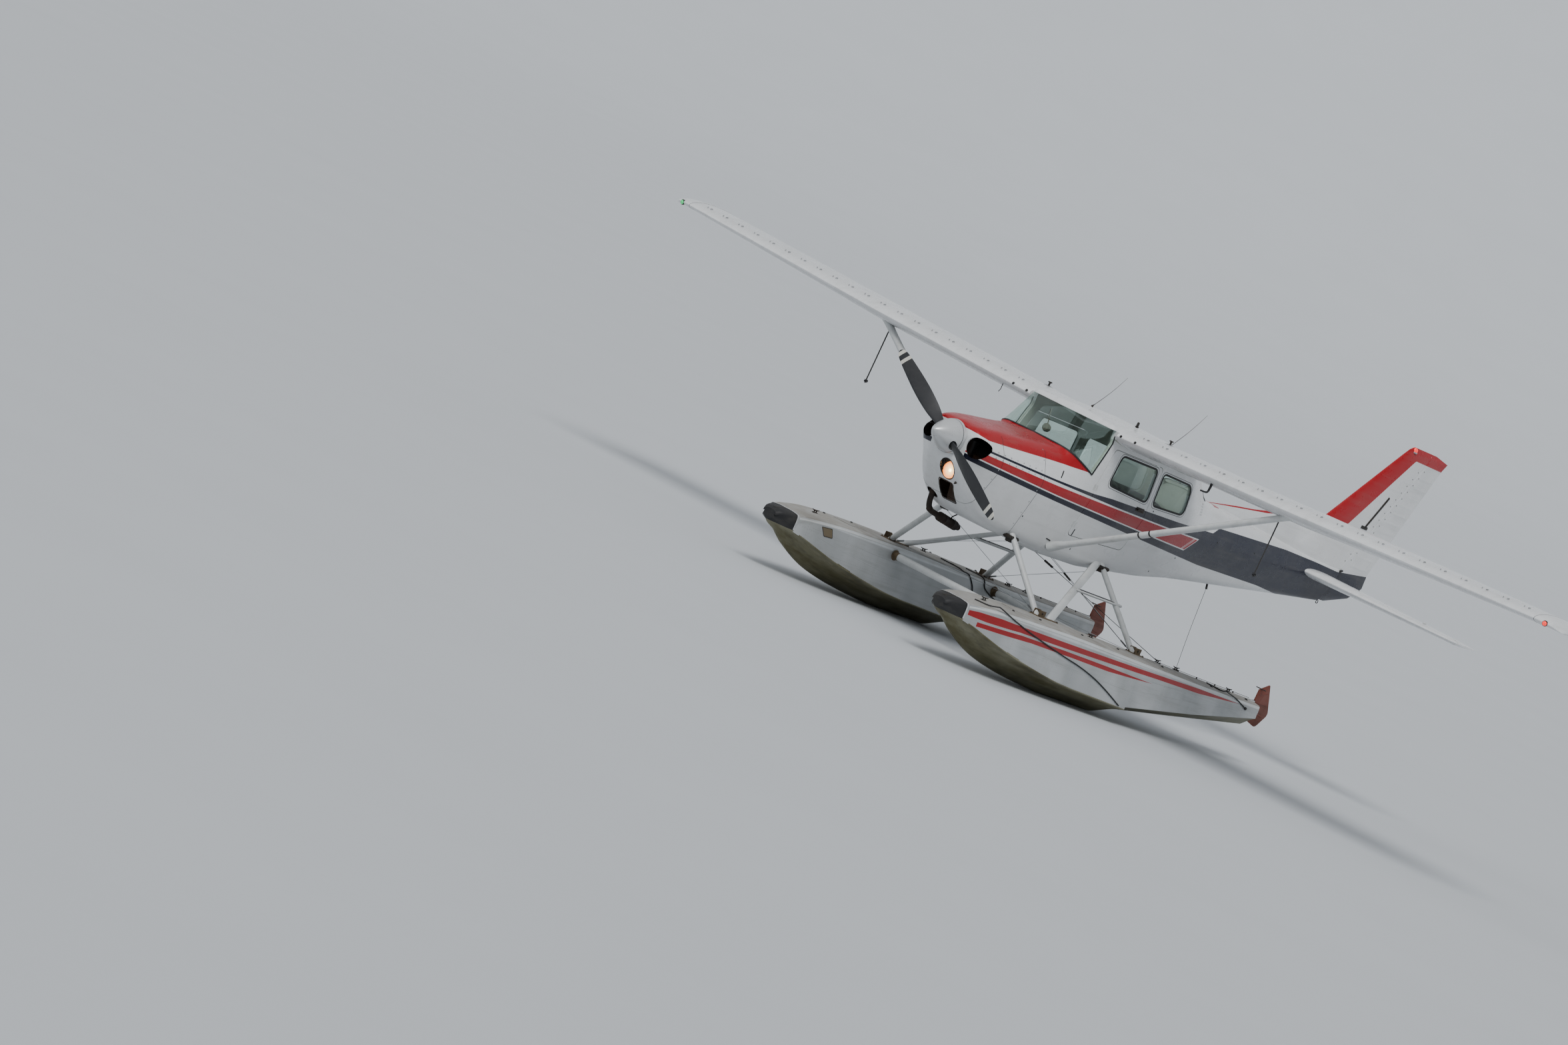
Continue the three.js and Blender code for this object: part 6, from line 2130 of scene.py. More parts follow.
class FLOATPLANE_OT_propeller(Maker):
    """Make the propeller blades, hub and spinner"""

    bl_idname = "floatplane.propeller"
    bl_label = "Propeller and spinner"

    def make(self):
        turn = math.radians(-150)
        spin = np.array([
            [math.cos(turn), 0, math.sin(turn)], [0, 1, 0], [-math.sin(turn), 0, math.cos(turn)]
        ])
        centre = np.array([0, PROPELLER_Y, 0])

        def placed(shape, half_turn=False):
            points = shape[0] * ([-1, 1, -1] if half_turn else [1, 1, 1])
            return points @ spin.T + centre, shape[1]

        blade = self.blade()
        hub = turned(
            [(0, 0.080), (0.004, 0.095), (0.056, 0.095), (0.060, 0.080)], [0, -0.030, 0], [0, 1, 0], 48
        )
        whole = together(placed(hub), placed(blade), placed(blade, True))
        piece("propeller_blades", whole, "blade_paint", 40, "propeller", body="propeller")
        s = np.concatenate([np.linspace(0, 0.9, 40), 1 - 0.1 * np.linspace(1, 0, 16)[1:] ** 2])
        profile = np.column_stack([s * SPINNER_LENGTH, spinner_radius(s)])
        body = turned(np.vstack([[0, 0], profile]), [0, SPINNER_FOOT, 0], [0, -1, 0], 96)
        body = cut(
            body, rod([0, PROPELLER_Y, 0], [0, -0.895, 0], 0.052, count=40),
            placed(rod([0, -0.0304, 0], [0, 0.0304, 0], 0.0954, count=48))
        )
        angle = math.radians(42)
        t = around(36)
        oval = np.column_stack([0.054 * np.cos(t), 0.038 * np.sin(t)])
        plan = np.column_stack([
            oval[:, 1] * math.cos(angle) - oval[:, 0] * math.sin(angle),
            oval[:, 0] * math.cos(angle) + oval[:, 1] * math.sin(angle)
        ])
        slot = loft([np.column_stack([np.full(36, r), plan]) for r in (0.066, 0.185)])
        body = largest(cut(body, placed(slot), placed(slot, True)))
        piece("spinner_shell", body, "spinner_paint", 40, "spinner", body="propeller")
        ring_s = 0.115
        t = around(72)
        r = spinner_radius(ring_s)
        ring = columns(r * np.cos(t), SPINNER_FOOT - ring_s * SPINNER_LENGTH, r * np.sin(t))
        screws = ring[::6] + [0, 0.012, 0]
        piece("spinner_ring", hoop(ring, ring * [1, 0, 1], 0.0035, 0.0010), "rubber", 60, body="propeller")
        piece(
            "spinner_screws", studs(screws * [1.006, 1, 1.006], screws * [1, 0, 1], 0.0045, 0.0012),
            "bare_metal", 60, body="propeller"
        )

    def blade(self):
        """Sections along the blade: round at the root, a thin foil outboard, drawn in to a rounded tip."""
        table = MM * np.array([
            [70, 74, 60, 50], [160, 92, 34, 42], [300, 136, 24, 33], [520, 150, 17, 24], [760, 128, 12, 18],
            [930, 96, 8, 15], [1000, 44, 4, 14]
        ])
        rows = curve_through(table, 60)
        tip = np.array([0.984, 0.990, 0.9945, 0.9975, 0.9993, 1.0])
        rows = np.vstack([rows[rows[:, 0] < 0.98], np.column_stack([tip, *looked_up(rows, tip, 1, 2, 3)])])
        shrink = np.sqrt(1 - np.clip((rows[:, 0] - 0.972) / 0.0281, 0, 0.995) ** 2)
        r, chord, thick, angle = rows[:, 0], rows[:, 1] * shrink, rows[:, 2] * shrink, rows[:, 3] / MM
        s, side = foil_walk(18)
        foil = np.clip((r - 0.12) / 0.14, 0, 1)[:, None]
        half = foil * foil_half(s)[None] + (1 - foil) * np.sqrt(s * (1 - s))[None]
        u, v = (0.5 - s)[None] * chord[:, None], side[None] * half * thick[:, None]
        a = np.radians(angle)[:, None]
        points = np.stack(
            [
                np.broadcast_to(r[:, None], u.shape), v * np.cos(a) - u * np.sin(a),
                u * np.cos(a) + v * np.sin(a)
            ],
            -1
        )
        return loft(points)


class FLOATPLANE_OT_body_details(Maker):
    """Fit door handles, locks, hinges, vents, drains, antennas and a tie ring to the body"""

    bl_idname = "floatplane.body_details"
    bl_label = "Body details"

    def make(self):
        handle = np.array([[1.600, 0.046]])
        place, out = on_skin(handle), skin_normals(handle)
        lever = together(
            tiles(place, [0, 1, 0], out, (0.150, 0.042, 0.003)),
            tiles(place + out * 0.008, [0, 1, 0.05], out, (0.115, 0.016, 0.010)),
            studs(place + out * 0.004 + [[0, 0.045, 0]], out, 0.011, 0.006)
        )
        pair("door_handle", lever, "dark_metal", body="door_{}")
        lock = np.array([[1.655, -0.02]])
        pair("door_lock", skin_studs(lock, 0.009, 0.002), "bare_metal", body="door_{}")
        near, far = np.array([[0.781, -0.300], [0.781, 0.088]]), np.array([[0.738, -0.300], [0.738, 0.088]])
        pair(
            "hinge_leaf_door", skin_tiles(near, [0, 0, 1], (0.055, 0.022, 0.002)), "strut_paint",
            body="door_{}"
        )
        pair("hinge_leaf_body", skin_tiles(far, [0, 0, 1], (0.055, 0.022, 0.002)), "strut_paint")
        blocks = [
            common(
                cut(
                    fuselage(body_rows(np.linspace(0.70, 0.80, 5))),
                    fuselage(body_rows(np.linspace(0.69, 0.81, 5)), -CABIN_WALL)
                ),
                block(0.15, 0.80, 0.7547, 0.7597, z0, z1)
            )
            for z0, z1 in ((-0.330, -0.270), (0.060, 0.120))
        ]
        pair("hinge_block", together(*blocks), "strut_paint")
        dots = np.array([
            [0.017, -0.408], [2.413, -0.470], [2.719, -0.263], [1.838, 0.080], [0.951, -0.534], [3.30, 0.02],
            [4.10, 0.05]
        ])
        pair("drain_dots", skin_studs(dots, 0.008, 0.003), "rubber")
        slots = np.array([[0.560, -0.524], [0.253, 0.085]])
        pair("side_slots", skin_tiles(slots, [[0, 1, -0.1], [0, 0.25, 1]], (0.075, 0.012, 0.004)), "rubber")
        slot = np.array([[0.827, -0.377]])
        pair("door_slot", skin_tiles(slot, [0, -0.1, 1], (0.07, 0.012, 0.003)), "rubber", body="door_{}")
        louvre_z = np.linspace(0.21, 0.31, 5)
        louvre = columns(2.815, louvre_z)
        pair("vent_louvres", skin_tiles(louvre, [0, 1, 0.1], (0.055, 0.008, 0.006), 0.6), "strut_paint")
        whips = []
        for x, y, tip_y, tip_z in ((0.0, 0.930, 1.263, 1.113), (0.0, 2.375, 2.734, 1.082)):
            foot = top_points([x], [y])[0] if y > 2 else np.array([x, y, 0.745])
            t = np.linspace(0, 1, 12)[:, None]
            path = foot + (np.array([x, tip_y, tip_z]) - foot) * t + [0, 0.02, 0] * np.sin(t * np.pi)
            whips.append(swept(path, np.linspace(settings().whip / 2, 0.0012, 12), 8))
            whips.append(
                turned(
                    [(-0.005, 0.012), (0.003, 0.011), (0.012, 0.006), (0.03, 0.004)], foot, path[1] - path[0],
                    16
                )
            )
        piece("whip_antennas", together(*whips), "dark_metal", 50)
        stub = top_points([0.339], [1.242])[0] * [1, 1, 0] + [0, 0, 0.742]
        piece(
            "roof_stub",
            together(
                studs([stub], [[0, 0, 1]], 0.02, 0.006),
                tiles([stub], [0, 1, 0.2], [0, 0, 1], (0.030, 0.010, 0.045), 0.7)
            ),
            "dark_metal"
        )
        mast_top = np.array([0, 3.95, -0.385])
        piece("belly_mast", strut(mast_top, mast_top + [0, 0.03, -0.075], 0.035, 0.016), "dark_metal")
        ring_t = around(24)
        eye = columns(0.0, 5.872 + 0.018 * np.cos(ring_t), -0.178 + 0.018 * np.sin(ring_t))
        piece("tail_tie_ring", hoop(eye, eye - [0, 5.872, -0.178], 0.004, 0.004), "dark_metal", 60)


class FLOATPLANE_OT_wing_details(Maker):
    """Fit vortex generators, vents, fuel caps, probes, tip lamps, covers and brackets to the wings"""

    bl_idname = "floatplane.wing_details"
    bl_label = "Wing details"

    def make(self):
        count = settings().generators
        x = 0.783 + 0.2275 * np.arange(count)
        x = x[x < 5.2]
        vanes = []
        for offset, lean in ((-0.026, -0.30), (0.026, 0.30)):
            at = x + offset
            y = np.interp(at, WING_ROWS[:, 0], WING_ROWS[:, 1]) + 0.115
            s = wing_share(at, y)
            forward = np.column_stack([np.full(len(at), lean), np.ones(len(at)), np.zeros(len(at))])
            vanes.append(
                tiles(
                    wing_point(at, s, 1), forward, wing_normals(at, s, np.ones(len(at))),
                    (0.030, 0.003, 0.012), 0.55
                )
            )
        pair("vortex_generators", together(*vanes), "bare_metal")
        at = np.array([0.590, 0.762])
        s = np.array([0.0015, 0.0015])
        nose = wing_point(at, s, 1)
        pair("wing_vents", studs(nose, [[0, -0.95, 0.3], [0, -0.95, 0.3]], 0.014, 0.003, 16), "rubber")
        cap_x, cap_s = np.array([0.762]), wing_share(np.array([0.762]), np.array([1.235]))
        cap, cap_up = wing_point(cap_x, cap_s, 1), wing_normals(cap_x, cap_s, np.ones(1))
        pair(
            "fuel_cap", together(studs(cap, cap_up, 0.048, 0.004, 28), studs(cap, cap_up, 0.030, 0.008, 24)),
            "bare_metal"
        )
        pair(
            "fuel_cap_vent",
            together(
                tiles(cap, [0, 1, 0.3], cap_up, (0.020, 0.010, 0.040), 0.8),
                tiles(cap + cap_up * 0.036, [0, 1, 0.35], cap_up, (0.050, 0.016, 0.010), 0.8)
            ),
            "dark_metal"
        )
        root = wing_point(1.667, 0.05, -1)
        pitot = curve_through(
            [
                root + [0, 0, 0.005], root + [0, -0.002, -0.045], root + [0, -0.012, -0.082],
                root + [0, -0.05, -0.092], root + [0, -0.125, -0.092]
            ],
            26
        )
        piece(
            "pitot_tube",
            swept(pitot, np.interp(np.linspace(0, 1, 26), [0, 0.5, 1], [0.013, 0.010, 0.008]), 12),
            "black_plastic", 50
        )
        root = wing_point(-0.90, 0.03, -1)
        probe = curve_through(
            [root + [0, 0, 0.005], root + [0, 0.004, -0.050], root + [-0.03, 0.03, -0.085]], 12
        )
        piece("wing_probe", swept(probe, 0.004, 8), "dark_metal", 50)
        for side, sign, glass in (("left", 1, "red_lens"), ("right", -1, "green_lens")):
            at = wing_point(sign * 5.385, 0.0, 1) + [0, -0.002, 0]
            lens = turned(
                [(-0.03, 0.020), (0, 0.022), (0.010, 0.020), (0.018, 0.014), (0.0215, 0.004)],
                at + [0, 0.006, -0.004], [sign * 0.25, -1, -0.25], 28
            )
            piece(f"tip_lamp_{side}", lens, glass, 50)
            cup = turned(
                [(-0.05, 0.012), (-0.012, 0.026), (0.004, 0.0265), (0.006, 0.0235)], at + [0, 0.008, -0.004],
                [sign * 0.25, -1, -0.25], 28
            )
            piece(f"tip_lamp_cup_{side}", cup, "dark_metal", 50)
        at = np.array([1.0, 1.6, 2.2, 3.1, 3.7, 4.3, 4.9])
        s = np.full(7, 0.42)
        pair(
            "inspection_covers",
            studs(wing_point(at, s, -1), wing_normals(at, s, -np.ones(7)), 0.055, 0.0014, 28), "wing_paint"
        )
        at = np.array([2.75, 3.83, 4.90])
        s = np.full(3, AILERON_SHARE - 0.03)
        pair(
            "aileron_brackets",
            tiles(
                wing_point(at, s, -1), [0, 1, 0], wing_normals(at, s, -np.ones(3)), (0.075, 0.012, 0.014), 0.6
            ),
            "strut_paint"
        )
        walk, side = foil_walk(30)
        line = wing_point(np.full(60, TIP_SEAM_X), walk, side)
        pair(
            "tip_seam",
            hoop(
                line[1:], wing_normals(np.full(60, TIP_SEAM_X), walk, side)[1:] + [0, 1e-6, 0], 0.0022,
                0.0009, 6, closed=False
            ),
            "rubber", 60
        )


class FLOATPLANE_OT_strut_details(Maker):
    """Fit brackets, bolts, deck plates, bands, fairings, footsteps, spreader bars and wires"""

    bl_idname = "floatplane.strut_details"
    bl_label = "Strut details"

    def make(self):
        for name, centre in (("front", FUSELAGE_FRONT), ("rear", FUSELAGE_REAR + [0.0, 0.02, 0.0])):
            y0, z0 = centre[1], centre[2]
            bracket = together(
                slab((0.352, y0 - 0.060, z0 - 0.048), (0.455, y0 + 0.080, z0 - 0.012), 0.010),
                slab((0.380, y0 - 0.040, z0 - 0.078), (0.438, y0 + 0.055, z0 - 0.030), 0.008),
            )
            pair(f"gear_bracket_{name}", bracket, "dark_metal", 30)
            bolts = np.array([
                [0.4385, y0 - 0.02, z0 - 0.060], [0.4385, y0 + 0.035, z0 - 0.060],
                [0.4555, y0 - 0.04, z0 - 0.030], [0.4555, y0 + 0.06, z0 - 0.030]
            ])
            pair(f"gear_bolts_{name}", studs(bolts, [[1, 0, 0]], 0.009, 0.006, 6), "dark_metal", 30)
        for name, deck, ahead, aft in (
            ("front", DECK_FRONT, 0.075, 0.270), ("rear", DECK_REAR, 0.080, 0.105)
        ):
            z = deck_z(deck[1])
            plate = slab(
                (deck[0] - 0.062, deck[1] - ahead, z - 0.02), (deck[0] + 0.062, deck[1] + aft, z + 0.008),
                0.01
            )
            lugs = [
                slab(
                    (deck[0] + dx, deck[1] - 0.05, z), (deck[0] + dx + 0.007, deck[1] + 0.055, z + 0.062),
                    0.003
                )
                for dx in (-0.036, 0.029)
            ]
            pair(f"deck_fitting_{name}", together(plate, *lugs), "fitting_brown", 30)
            corners = np.array([[dx, dy] for dx in (-0.048, 0.048) for dy in (-ahead + 0.018, aft - 0.018)])
            heads = columns(deck[0] + corners[:, 0], deck[1] + corners[:, 1], z + 0.008)
            pins = np.array([[deck[0] + 0.037, deck[1], z + 0.035]])
            pair(
                f"deck_bolts_{name}",
                together(
                    studs(heads, [[0, 0, 1]], 0.009, 0.006, 6), studs(pins, [[1, 0, 0]], 0.011, 0.006, 6)
                ),
                "dark_metal", 30
            )
        bands = [
            strut(
                between(STRUT_LOW, STRUT_HIGH, t), between(STRUT_LOW, STRUT_HIGH, t + 0.006), 0.132, 0.058,
                swell=[(0, 1.035), (1, 1.035)]
            )
            for t in (0.357, 0.402)
        ]
        pair("strut_bands", together(*bands), "rubber")
        foot = strut(
            between(STRUT_LOW, STRUT_HIGH, -0.02), between(STRUT_LOW, STRUT_HIGH, 0.045), 0.150, 0.085,
            swell=[(0, 1.08), (0.35, 1.02), (0.7, 0.92), (1, 0.80)]
        )
        pair("strut_foot_fairing", foot, "strut_paint", 50)
        self.footsteps()
        self.spreaders()
        self.wires()

    def footsteps(self):
        share = (FOOTSTEP_Z - DIAGONAL_LOW[2]) / (DIAGONAL_HIGH[2] - DIAGONAL_LOW[2])
        front = between(DIAGONAL_LOW, DIAGONAL_HIGH, share)
        share = (FOOTSTEP_Z - DECK_REAR[2]) / (FUSELAGE_REAR[2] - DECK_REAR[2])
        rear = between(DECK_REAR, FUSELAGE_REAR, share)
        body = slab((front[0] - 0.040, front[1], -0.859), (front[0] + 0.040, rear[1] + 0.090, -0.8325), 0.012)
        pair("footstep_plank", body, "strut_paint", 30, "footstep_{}")
        tread = slab(
            (front[0] - 0.032, front[1] + 0.06, -0.835), (front[0] + 0.032, rear[1] - 0.05, -0.831), 0.004
        )
        pair("footstep_tread", tread, "rubber", 30)

    def spreaders(self):
        for name, y in (("front", 0.120), ("rear", 1.850)):
            edge = FLOAT_X - hull_side(y, SPREADER_Z) + 0.004
            bar = turned(
                [(0, 0.030), (0.002, 0.034), (2 * edge - 0.002, 0.034), (2 * edge, 0.030)],
                [-edge, y, SPREADER_Z], [1, 0, 0], 40
            )
            piece(f"spreader_tube_{name}", bar, "strut_paint", 40, f"spreader_{name}")
            collar = turned(
                [(0, 0.052), (0.006, 0.052), (0.012, 0.040), (0.05, 0.037), (0.052, 0.034)],
                [edge - 0.006, y, SPREADER_Z], [-1, 0, 0], 32
            )
            pair(f"spreader_collar_{name}", collar, "fitting_brown", 35)

    def wires(self):
        half = settings().wire / 2
        front_foot, rear_foot = DECK_FRONT + [-0.03, 0.02, 0.03], DECK_REAR + [-0.03, -0.02, 0.03]
        crossing = []
        for top, foot in (
            (FUSELAGE_FRONT + [-0.02, 0.02, -0.075], front_foot),
            (FUSELAGE_REAR + [-0.02, 0.04, -0.075], rear_foot)
        ):
            top = top * [-1, 1, 1]
            crossing.append(rod(top, foot, half * 0.8, count=8))
            crossing.append(rod(between(top, foot, 0.90), between(top, foot, 0.955), 0.008, count=10))
        crossing.append(rod(front_foot, rear_foot * [-1, 1, 1], half * 0.7, count=8))
        pair("bracing_wires", together(*crossing), "wire_steel", 60)
        a, b = np.array([0.1, 1.185, -0.690]), np.array([0.95, 1.808, -1.182])
        c, d = np.array([0.0, 0.905, -0.672]), np.array([0.95, 2.298, -1.180])
        e, f = np.array([0.0, 3.977, -0.458]), np.array([0.95, 2.641, -1.180])
        lines = [
            rod(a, b, half * 0.7, count=8), rod(between(a, b, 0.18), between(a, b, 0.26), 0.009, count=10),
            rod(c, d, half, count=8), rod(between(c, d, 0.14), between(c, d, 0.20), 0.011, count=10),
            swept(curve_through([e, between(e, f, 0.5) + [0, 0, -0.06], f], 30), 0.0022, 8),
        ]
        piece("rudder_cables", together(*lines), "dark_metal", 60)


class FLOATPLANE_OT_float_details(Maker):
    """Fit rails, stringers, cleats, covers, bumper straps, lines and water rudders to the floats"""

    bl_idname = "floatplane.float_details"
    bl_label = "Float details"

    def both(self, path):
        """A path on the float's outer side and its mirror on the inner side, each with its sign."""
        return (path, 1), (path * [-1, 1, 1] + [2 * FLOAT_X, 0, 0], -1)

    def make(self):
        y = np.linspace(-1.27, 3.85, 90)
        edge = np.column_stack([FLOAT_X + deck_half(y) + 0.020, y, deck_z(y) - DECK_CROWN - 0.030])
        rails = [hoop(p, [s, 0, 0.25], 0.011, 0.005, closed=False) for p, s in self.both(edge)]
        pair("gunwale_rails", together(*rails), "strut_paint", 60)
        y = np.linspace(-1.22, 1.405, 60)
        chine, half = float_at(y, 2), float_at(y, 3)
        path = np.column_stack([FLOAT_X + half, y, chine + 0.004])
        rails = [hoop(p, [s, 0, -0.3], 0.007, 0.0045, 6, closed=False) for p, s in self.both(path)]
        pair("chine_rails", together(*rails), "float_bottom_paint", 60)
        stringers = []
        for z_share, start, stop in ((0.36, -1.0, 3.6), (0.68, -1.1, 3.7)):
            y = np.linspace(start, stop, 60)
            low = float_at(y, 2) + GUNWALE_DROP
            z = low + (deck_z(y) - DECK_CROWN - GUNWALE_DROP - low) * z_share
            for sign in (1, -1):
                stringers.append(
                    hoop(hull_points(y, z, sign), [sign, 0, 0.1], 0.004, 0.0012, 6, closed=False)
                )
        pair("float_stringers", together(*stringers), "float_side_paint", 60)
        self.deck()
        self.bumper()
        self.lines()
        self.rudders()

    def deck(self):
        spots = [(0, -0.86), (0, 0.95), (-0.11, 2.298), (-0.11, 2.641), (0, 3.45)]
        cleats = [cleat([FLOAT_X + dx, y, deck_z(y) + 0.001], [0, 1, 0]) for dx, y in spots]
        pair("deck_cleats", together(*cleats), "dark_metal")
        y = np.array([-0.55, -0.10, 0.62, 1.25, 2.05, 2.95, 3.65])
        caps = columns(FLOAT_X + 0.13, y, deck_z(y) - 0.006)
        caps[:, 0] = np.minimum(caps[:, 0], FLOAT_X + deck_half(y) - 0.045)
        pair(
            "pump_caps",
            together(
                studs(caps, [[0, 0, 1]], 0.022, 0.006, 18),
                studs(caps + [0, 0, 0.006], [[0, 0, 1]], 0.013, 0.010, 14)
            ),
            "rubber"
        )
        covers, screws = [], []
        for y0, y1 in ((-0.42, -0.16), (1.02, 1.34), (2.12, 2.22)):
            z = deck_z((y0 + y1) / 2)
            half = min(0.115, deck_half((y0 + y1) / 2) - 0.06)
            covers.append(slab((FLOAT_X - half, y0, z - 0.004), (FLOAT_X + half, y1, z + 0.0035), 0.018))
            rim = evened(
                [
                    [FLOAT_X - half + 0.012, y0 + 0.012], [FLOAT_X + half - 0.012, y0 + 0.012],
                    [FLOAT_X + half - 0.012, y1 - 0.012], [FLOAT_X - half + 0.012, y1 - 0.012]
                ],
                0.055, closed=True
            )
            screws.append(
                studs(np.column_stack([rim, np.full(len(rim), z + 0.0035)]), [[0, 0, 1]], 0.0045, 0.0015, 8)
            )
        pair("deck_covers", together(*covers), "float_deck_paint", 30)
        pair("deck_cover_screws", together(*screws), "bare_metal")
        quad = np.array([(-0.995, -1.265), (-0.867, -1.253), (-0.836, -1.330), (-0.946, -1.338)])
        quad = evened(quad, 0.01, closed=True)
        lid = loft([hull_points(quad[:, 0], quad[:, 1], -1) + [dx, 0, 0] for dx in (0.002, -0.003)])
        pair("locker_door", lid, "hatch_paint")
        frame_path = hull_points(quad[:, 0], quad[:, 1], -1) + [-0.003, 0, 0]
        pair("locker_frame", hoop(frame_path, [-1, 0, 0.1], 0.003, 0.002, 6), "dark_metal", 60)

    def bumper(self):
        """Metal straps on the rubber: one round its rear edge and one along its top."""
        hull = float_hull(FLOAT_X)[0]
        count = len(hull) // len(float_rows())
        rings = hull.reshape(-1, count, 3)
        k = int(np.searchsorted(float_rows()[:, 0], BUMPER_Y))
        t = (BUMPER_Y - rings[k - 1, 0, 1]) / (rings[k, 0, 1] - rings[k - 1, 0, 1])
        ring = rings[k - 1] + (rings[k] - rings[k - 1]) * t
        band = evened(ring[ring[:, 2] > BUMPER_Z - 0.004], 0.012)
        out = band - [FLOAT_X, BUMPER_Y, -1.36]
        strap = hoop(band + [0, -0.010, 0], out * [1, 0, 1] + [1e-5, 0, 0], 0.012, 0.0035, 8, closed=False)
        pair("bumper_straps", strap, "spinner_paint", 50)
        y = np.linspace(-1.46, BUMPER_Y, 14)
        centre = columns(FLOAT_X, y, deck_z(y) + 0.0005)
        pair("bumper_strap_top", hoop(centre, [[0, 0, 1]], 0.016, 0.003, 8, closed=False), "dark_metal", 50)

    def lines(self):
        outer = [
            (-0.95, -1.178), (-0.899, -1.187), (-0.538, -1.273), (0.035, -1.367), (0.538, -1.436),
            (0.909, -1.518), (1.295, -1.640)
        ]
        short = [(3.10, -1.186), (3.128, -1.193), (3.34, -1.225), (3.559, -1.279)]
        lead = np.array([
            [FLOAT_X + 0.06, -1.08, deck_z(-1.08) + 0.008], [FLOAT_X + 0.18, -1.00, deck_z(-1.0) + 0.004]
        ])
        path = curve_through(np.vstack([lead, draped(outer, 12)]), 70)
        lead = np.array([
            [FLOAT_X + 0.02, 3.02, deck_z(3.02) + 0.008],
            [FLOAT_X + deck_half(3.06) - 0.01, 3.06, deck_z(3.06) + 0.002]
        ])
        tail = curve_through(np.vstack([lead, draped(short, 8)]), 30)
        knot = turned(
            [(0, 0.006), (0.008, 0.014), (0.02, 0.015), (0.03, 0.007)], tail[-1], tail[-1] - tail[-2], 14
        )
        piece("side_lines_left", together(swept(path, 0.006, 10), swept(tail, 0.006, 10), knot), "rubber", 60)
        sides = []
        for y, points in (
            (1.12, [(1.239, -1.190), (1.361, -1.209), (1.478, -1.322), (1.46, -1.44)]),
            (1.56, [(1.643, -1.216), (1.689, -1.276), (1.847, -1.328), (2.13, -1.388)]),
        ):
            lead = [
                [FLOAT_X - 0.10, y, deck_z(y) + 0.008],
                [FLOAT_X - deck_half(y + 0.05), y + 0.05, deck_z(y) + 0.002]
            ]
            sides.append(curve_through(np.vstack([lead, draped(points, 8, -1)]), 40) * [-1, 1, 1])
        a, b = sides
        piece("side_lines_right", together(swept(a, 0.006, 10), swept(b, 0.006, 10)), "rubber", 60)
        y = np.linspace(2.30, 3.90, 40)
        cable = np.column_stack([FLOAT_X - 0.075 + 0.02 * (y - 2.3), y, deck_z(y) + 0.012])
        posts = studs(cable[::8] - [0, 0, 0.010], [[0, 0, 1]], 0.008, 0.014, 8)
        pair("deck_cables", together(swept(cable, 0.0022, 8), posts), "dark_metal", 60)

    def rudders(self):
        corners = MM * np.array([
            [3935, -1230, 0], [3935, -1085, 0], [4085, -1008, 20], [4262, -1290, 60], [4140, -1445, 70],
            [3935, -1400, 50]
        ])
        shape = rounded(corners, 9)
        middle = shape.mean(0)
        inset = middle + (shape - middle) * 0.90
        rings = [
            np.column_stack([np.full(len(p), FLOAT_X + dx), p])
            for p, dx in ((inset, -0.0088), (shape, -0.0035), (shape, 0.0035), (inset, 0.0088))
        ]
        arm = block(
            FLOAT_X - 0.009, FLOAT_X + 0.009, WATER_HINGE_Y, WATER_HINGE_Y + 0.040, LUGS[0][1] + 0.006,
            LUGS[1][0] - 0.006
        )
        room = [
            block(FLOAT_X - 0.06, FLOAT_X + 0.06, TRANSOM_Y, WATER_HINGE_Y + 0.028, z0 - 0.006, z1 + 0.006)
            for z0, z1 in LUGS
        ]
        blade = joined(
            cut(joined(loft(rings), arm), *room),
            rod(
                [FLOAT_X, WATER_HINGE_Y, LUGS[0][1] + HAIRLINE],
                [FLOAT_X, WATER_HINGE_Y, LUGS[1][0] - HAIRLINE], 0.012, count=28
            )
        )
        pair(
            "water_rudder_blade", blade, "rudder_paint", 35, "water_rudder_{}",
            body="water_rudder_{}"
        )
        ribs = []
        for z0, z1 in ((-1.13, -1.10), (-1.21, -1.21), (-1.30, -1.33)):
            for dx in (-0.0092, 0.0092):
                a, b = [FLOAT_X + dx, 3.965, z0], [FLOAT_X + dx * 0.97, 4.165 if z0 < -1.2 else 4.10, z1]
                ribs.append(hoop(evened([a, b], 0.02), [[dx, 0, 0]], 0.007, 0.0025, 8, closed=False))
        pair("water_rudder_ribs", together(*ribs), "rudder_paint", 50, body="water_rudder_{}")
        pins = np.array([
            [FLOAT_X, WATER_HINGE_Y, LUGS[1][1] + 0.001], [FLOAT_X, WATER_HINGE_Y, LUGS[0][0] - 0.001]
        ])
        pair("water_rudder_pins", studs(pins, [[0, 0, 1], [0, 0, -1]], 0.011, 0.006, 6), "bare_metal")
        horn = tiles([[FLOAT_X, 3.965, -1.075]], [1, 0, 0], [0, 0, 1], (0.11, 0.022, 0.007))
        pair("water_rudder_horn", horn, "dark_metal", 50, body="water_rudder_{}")


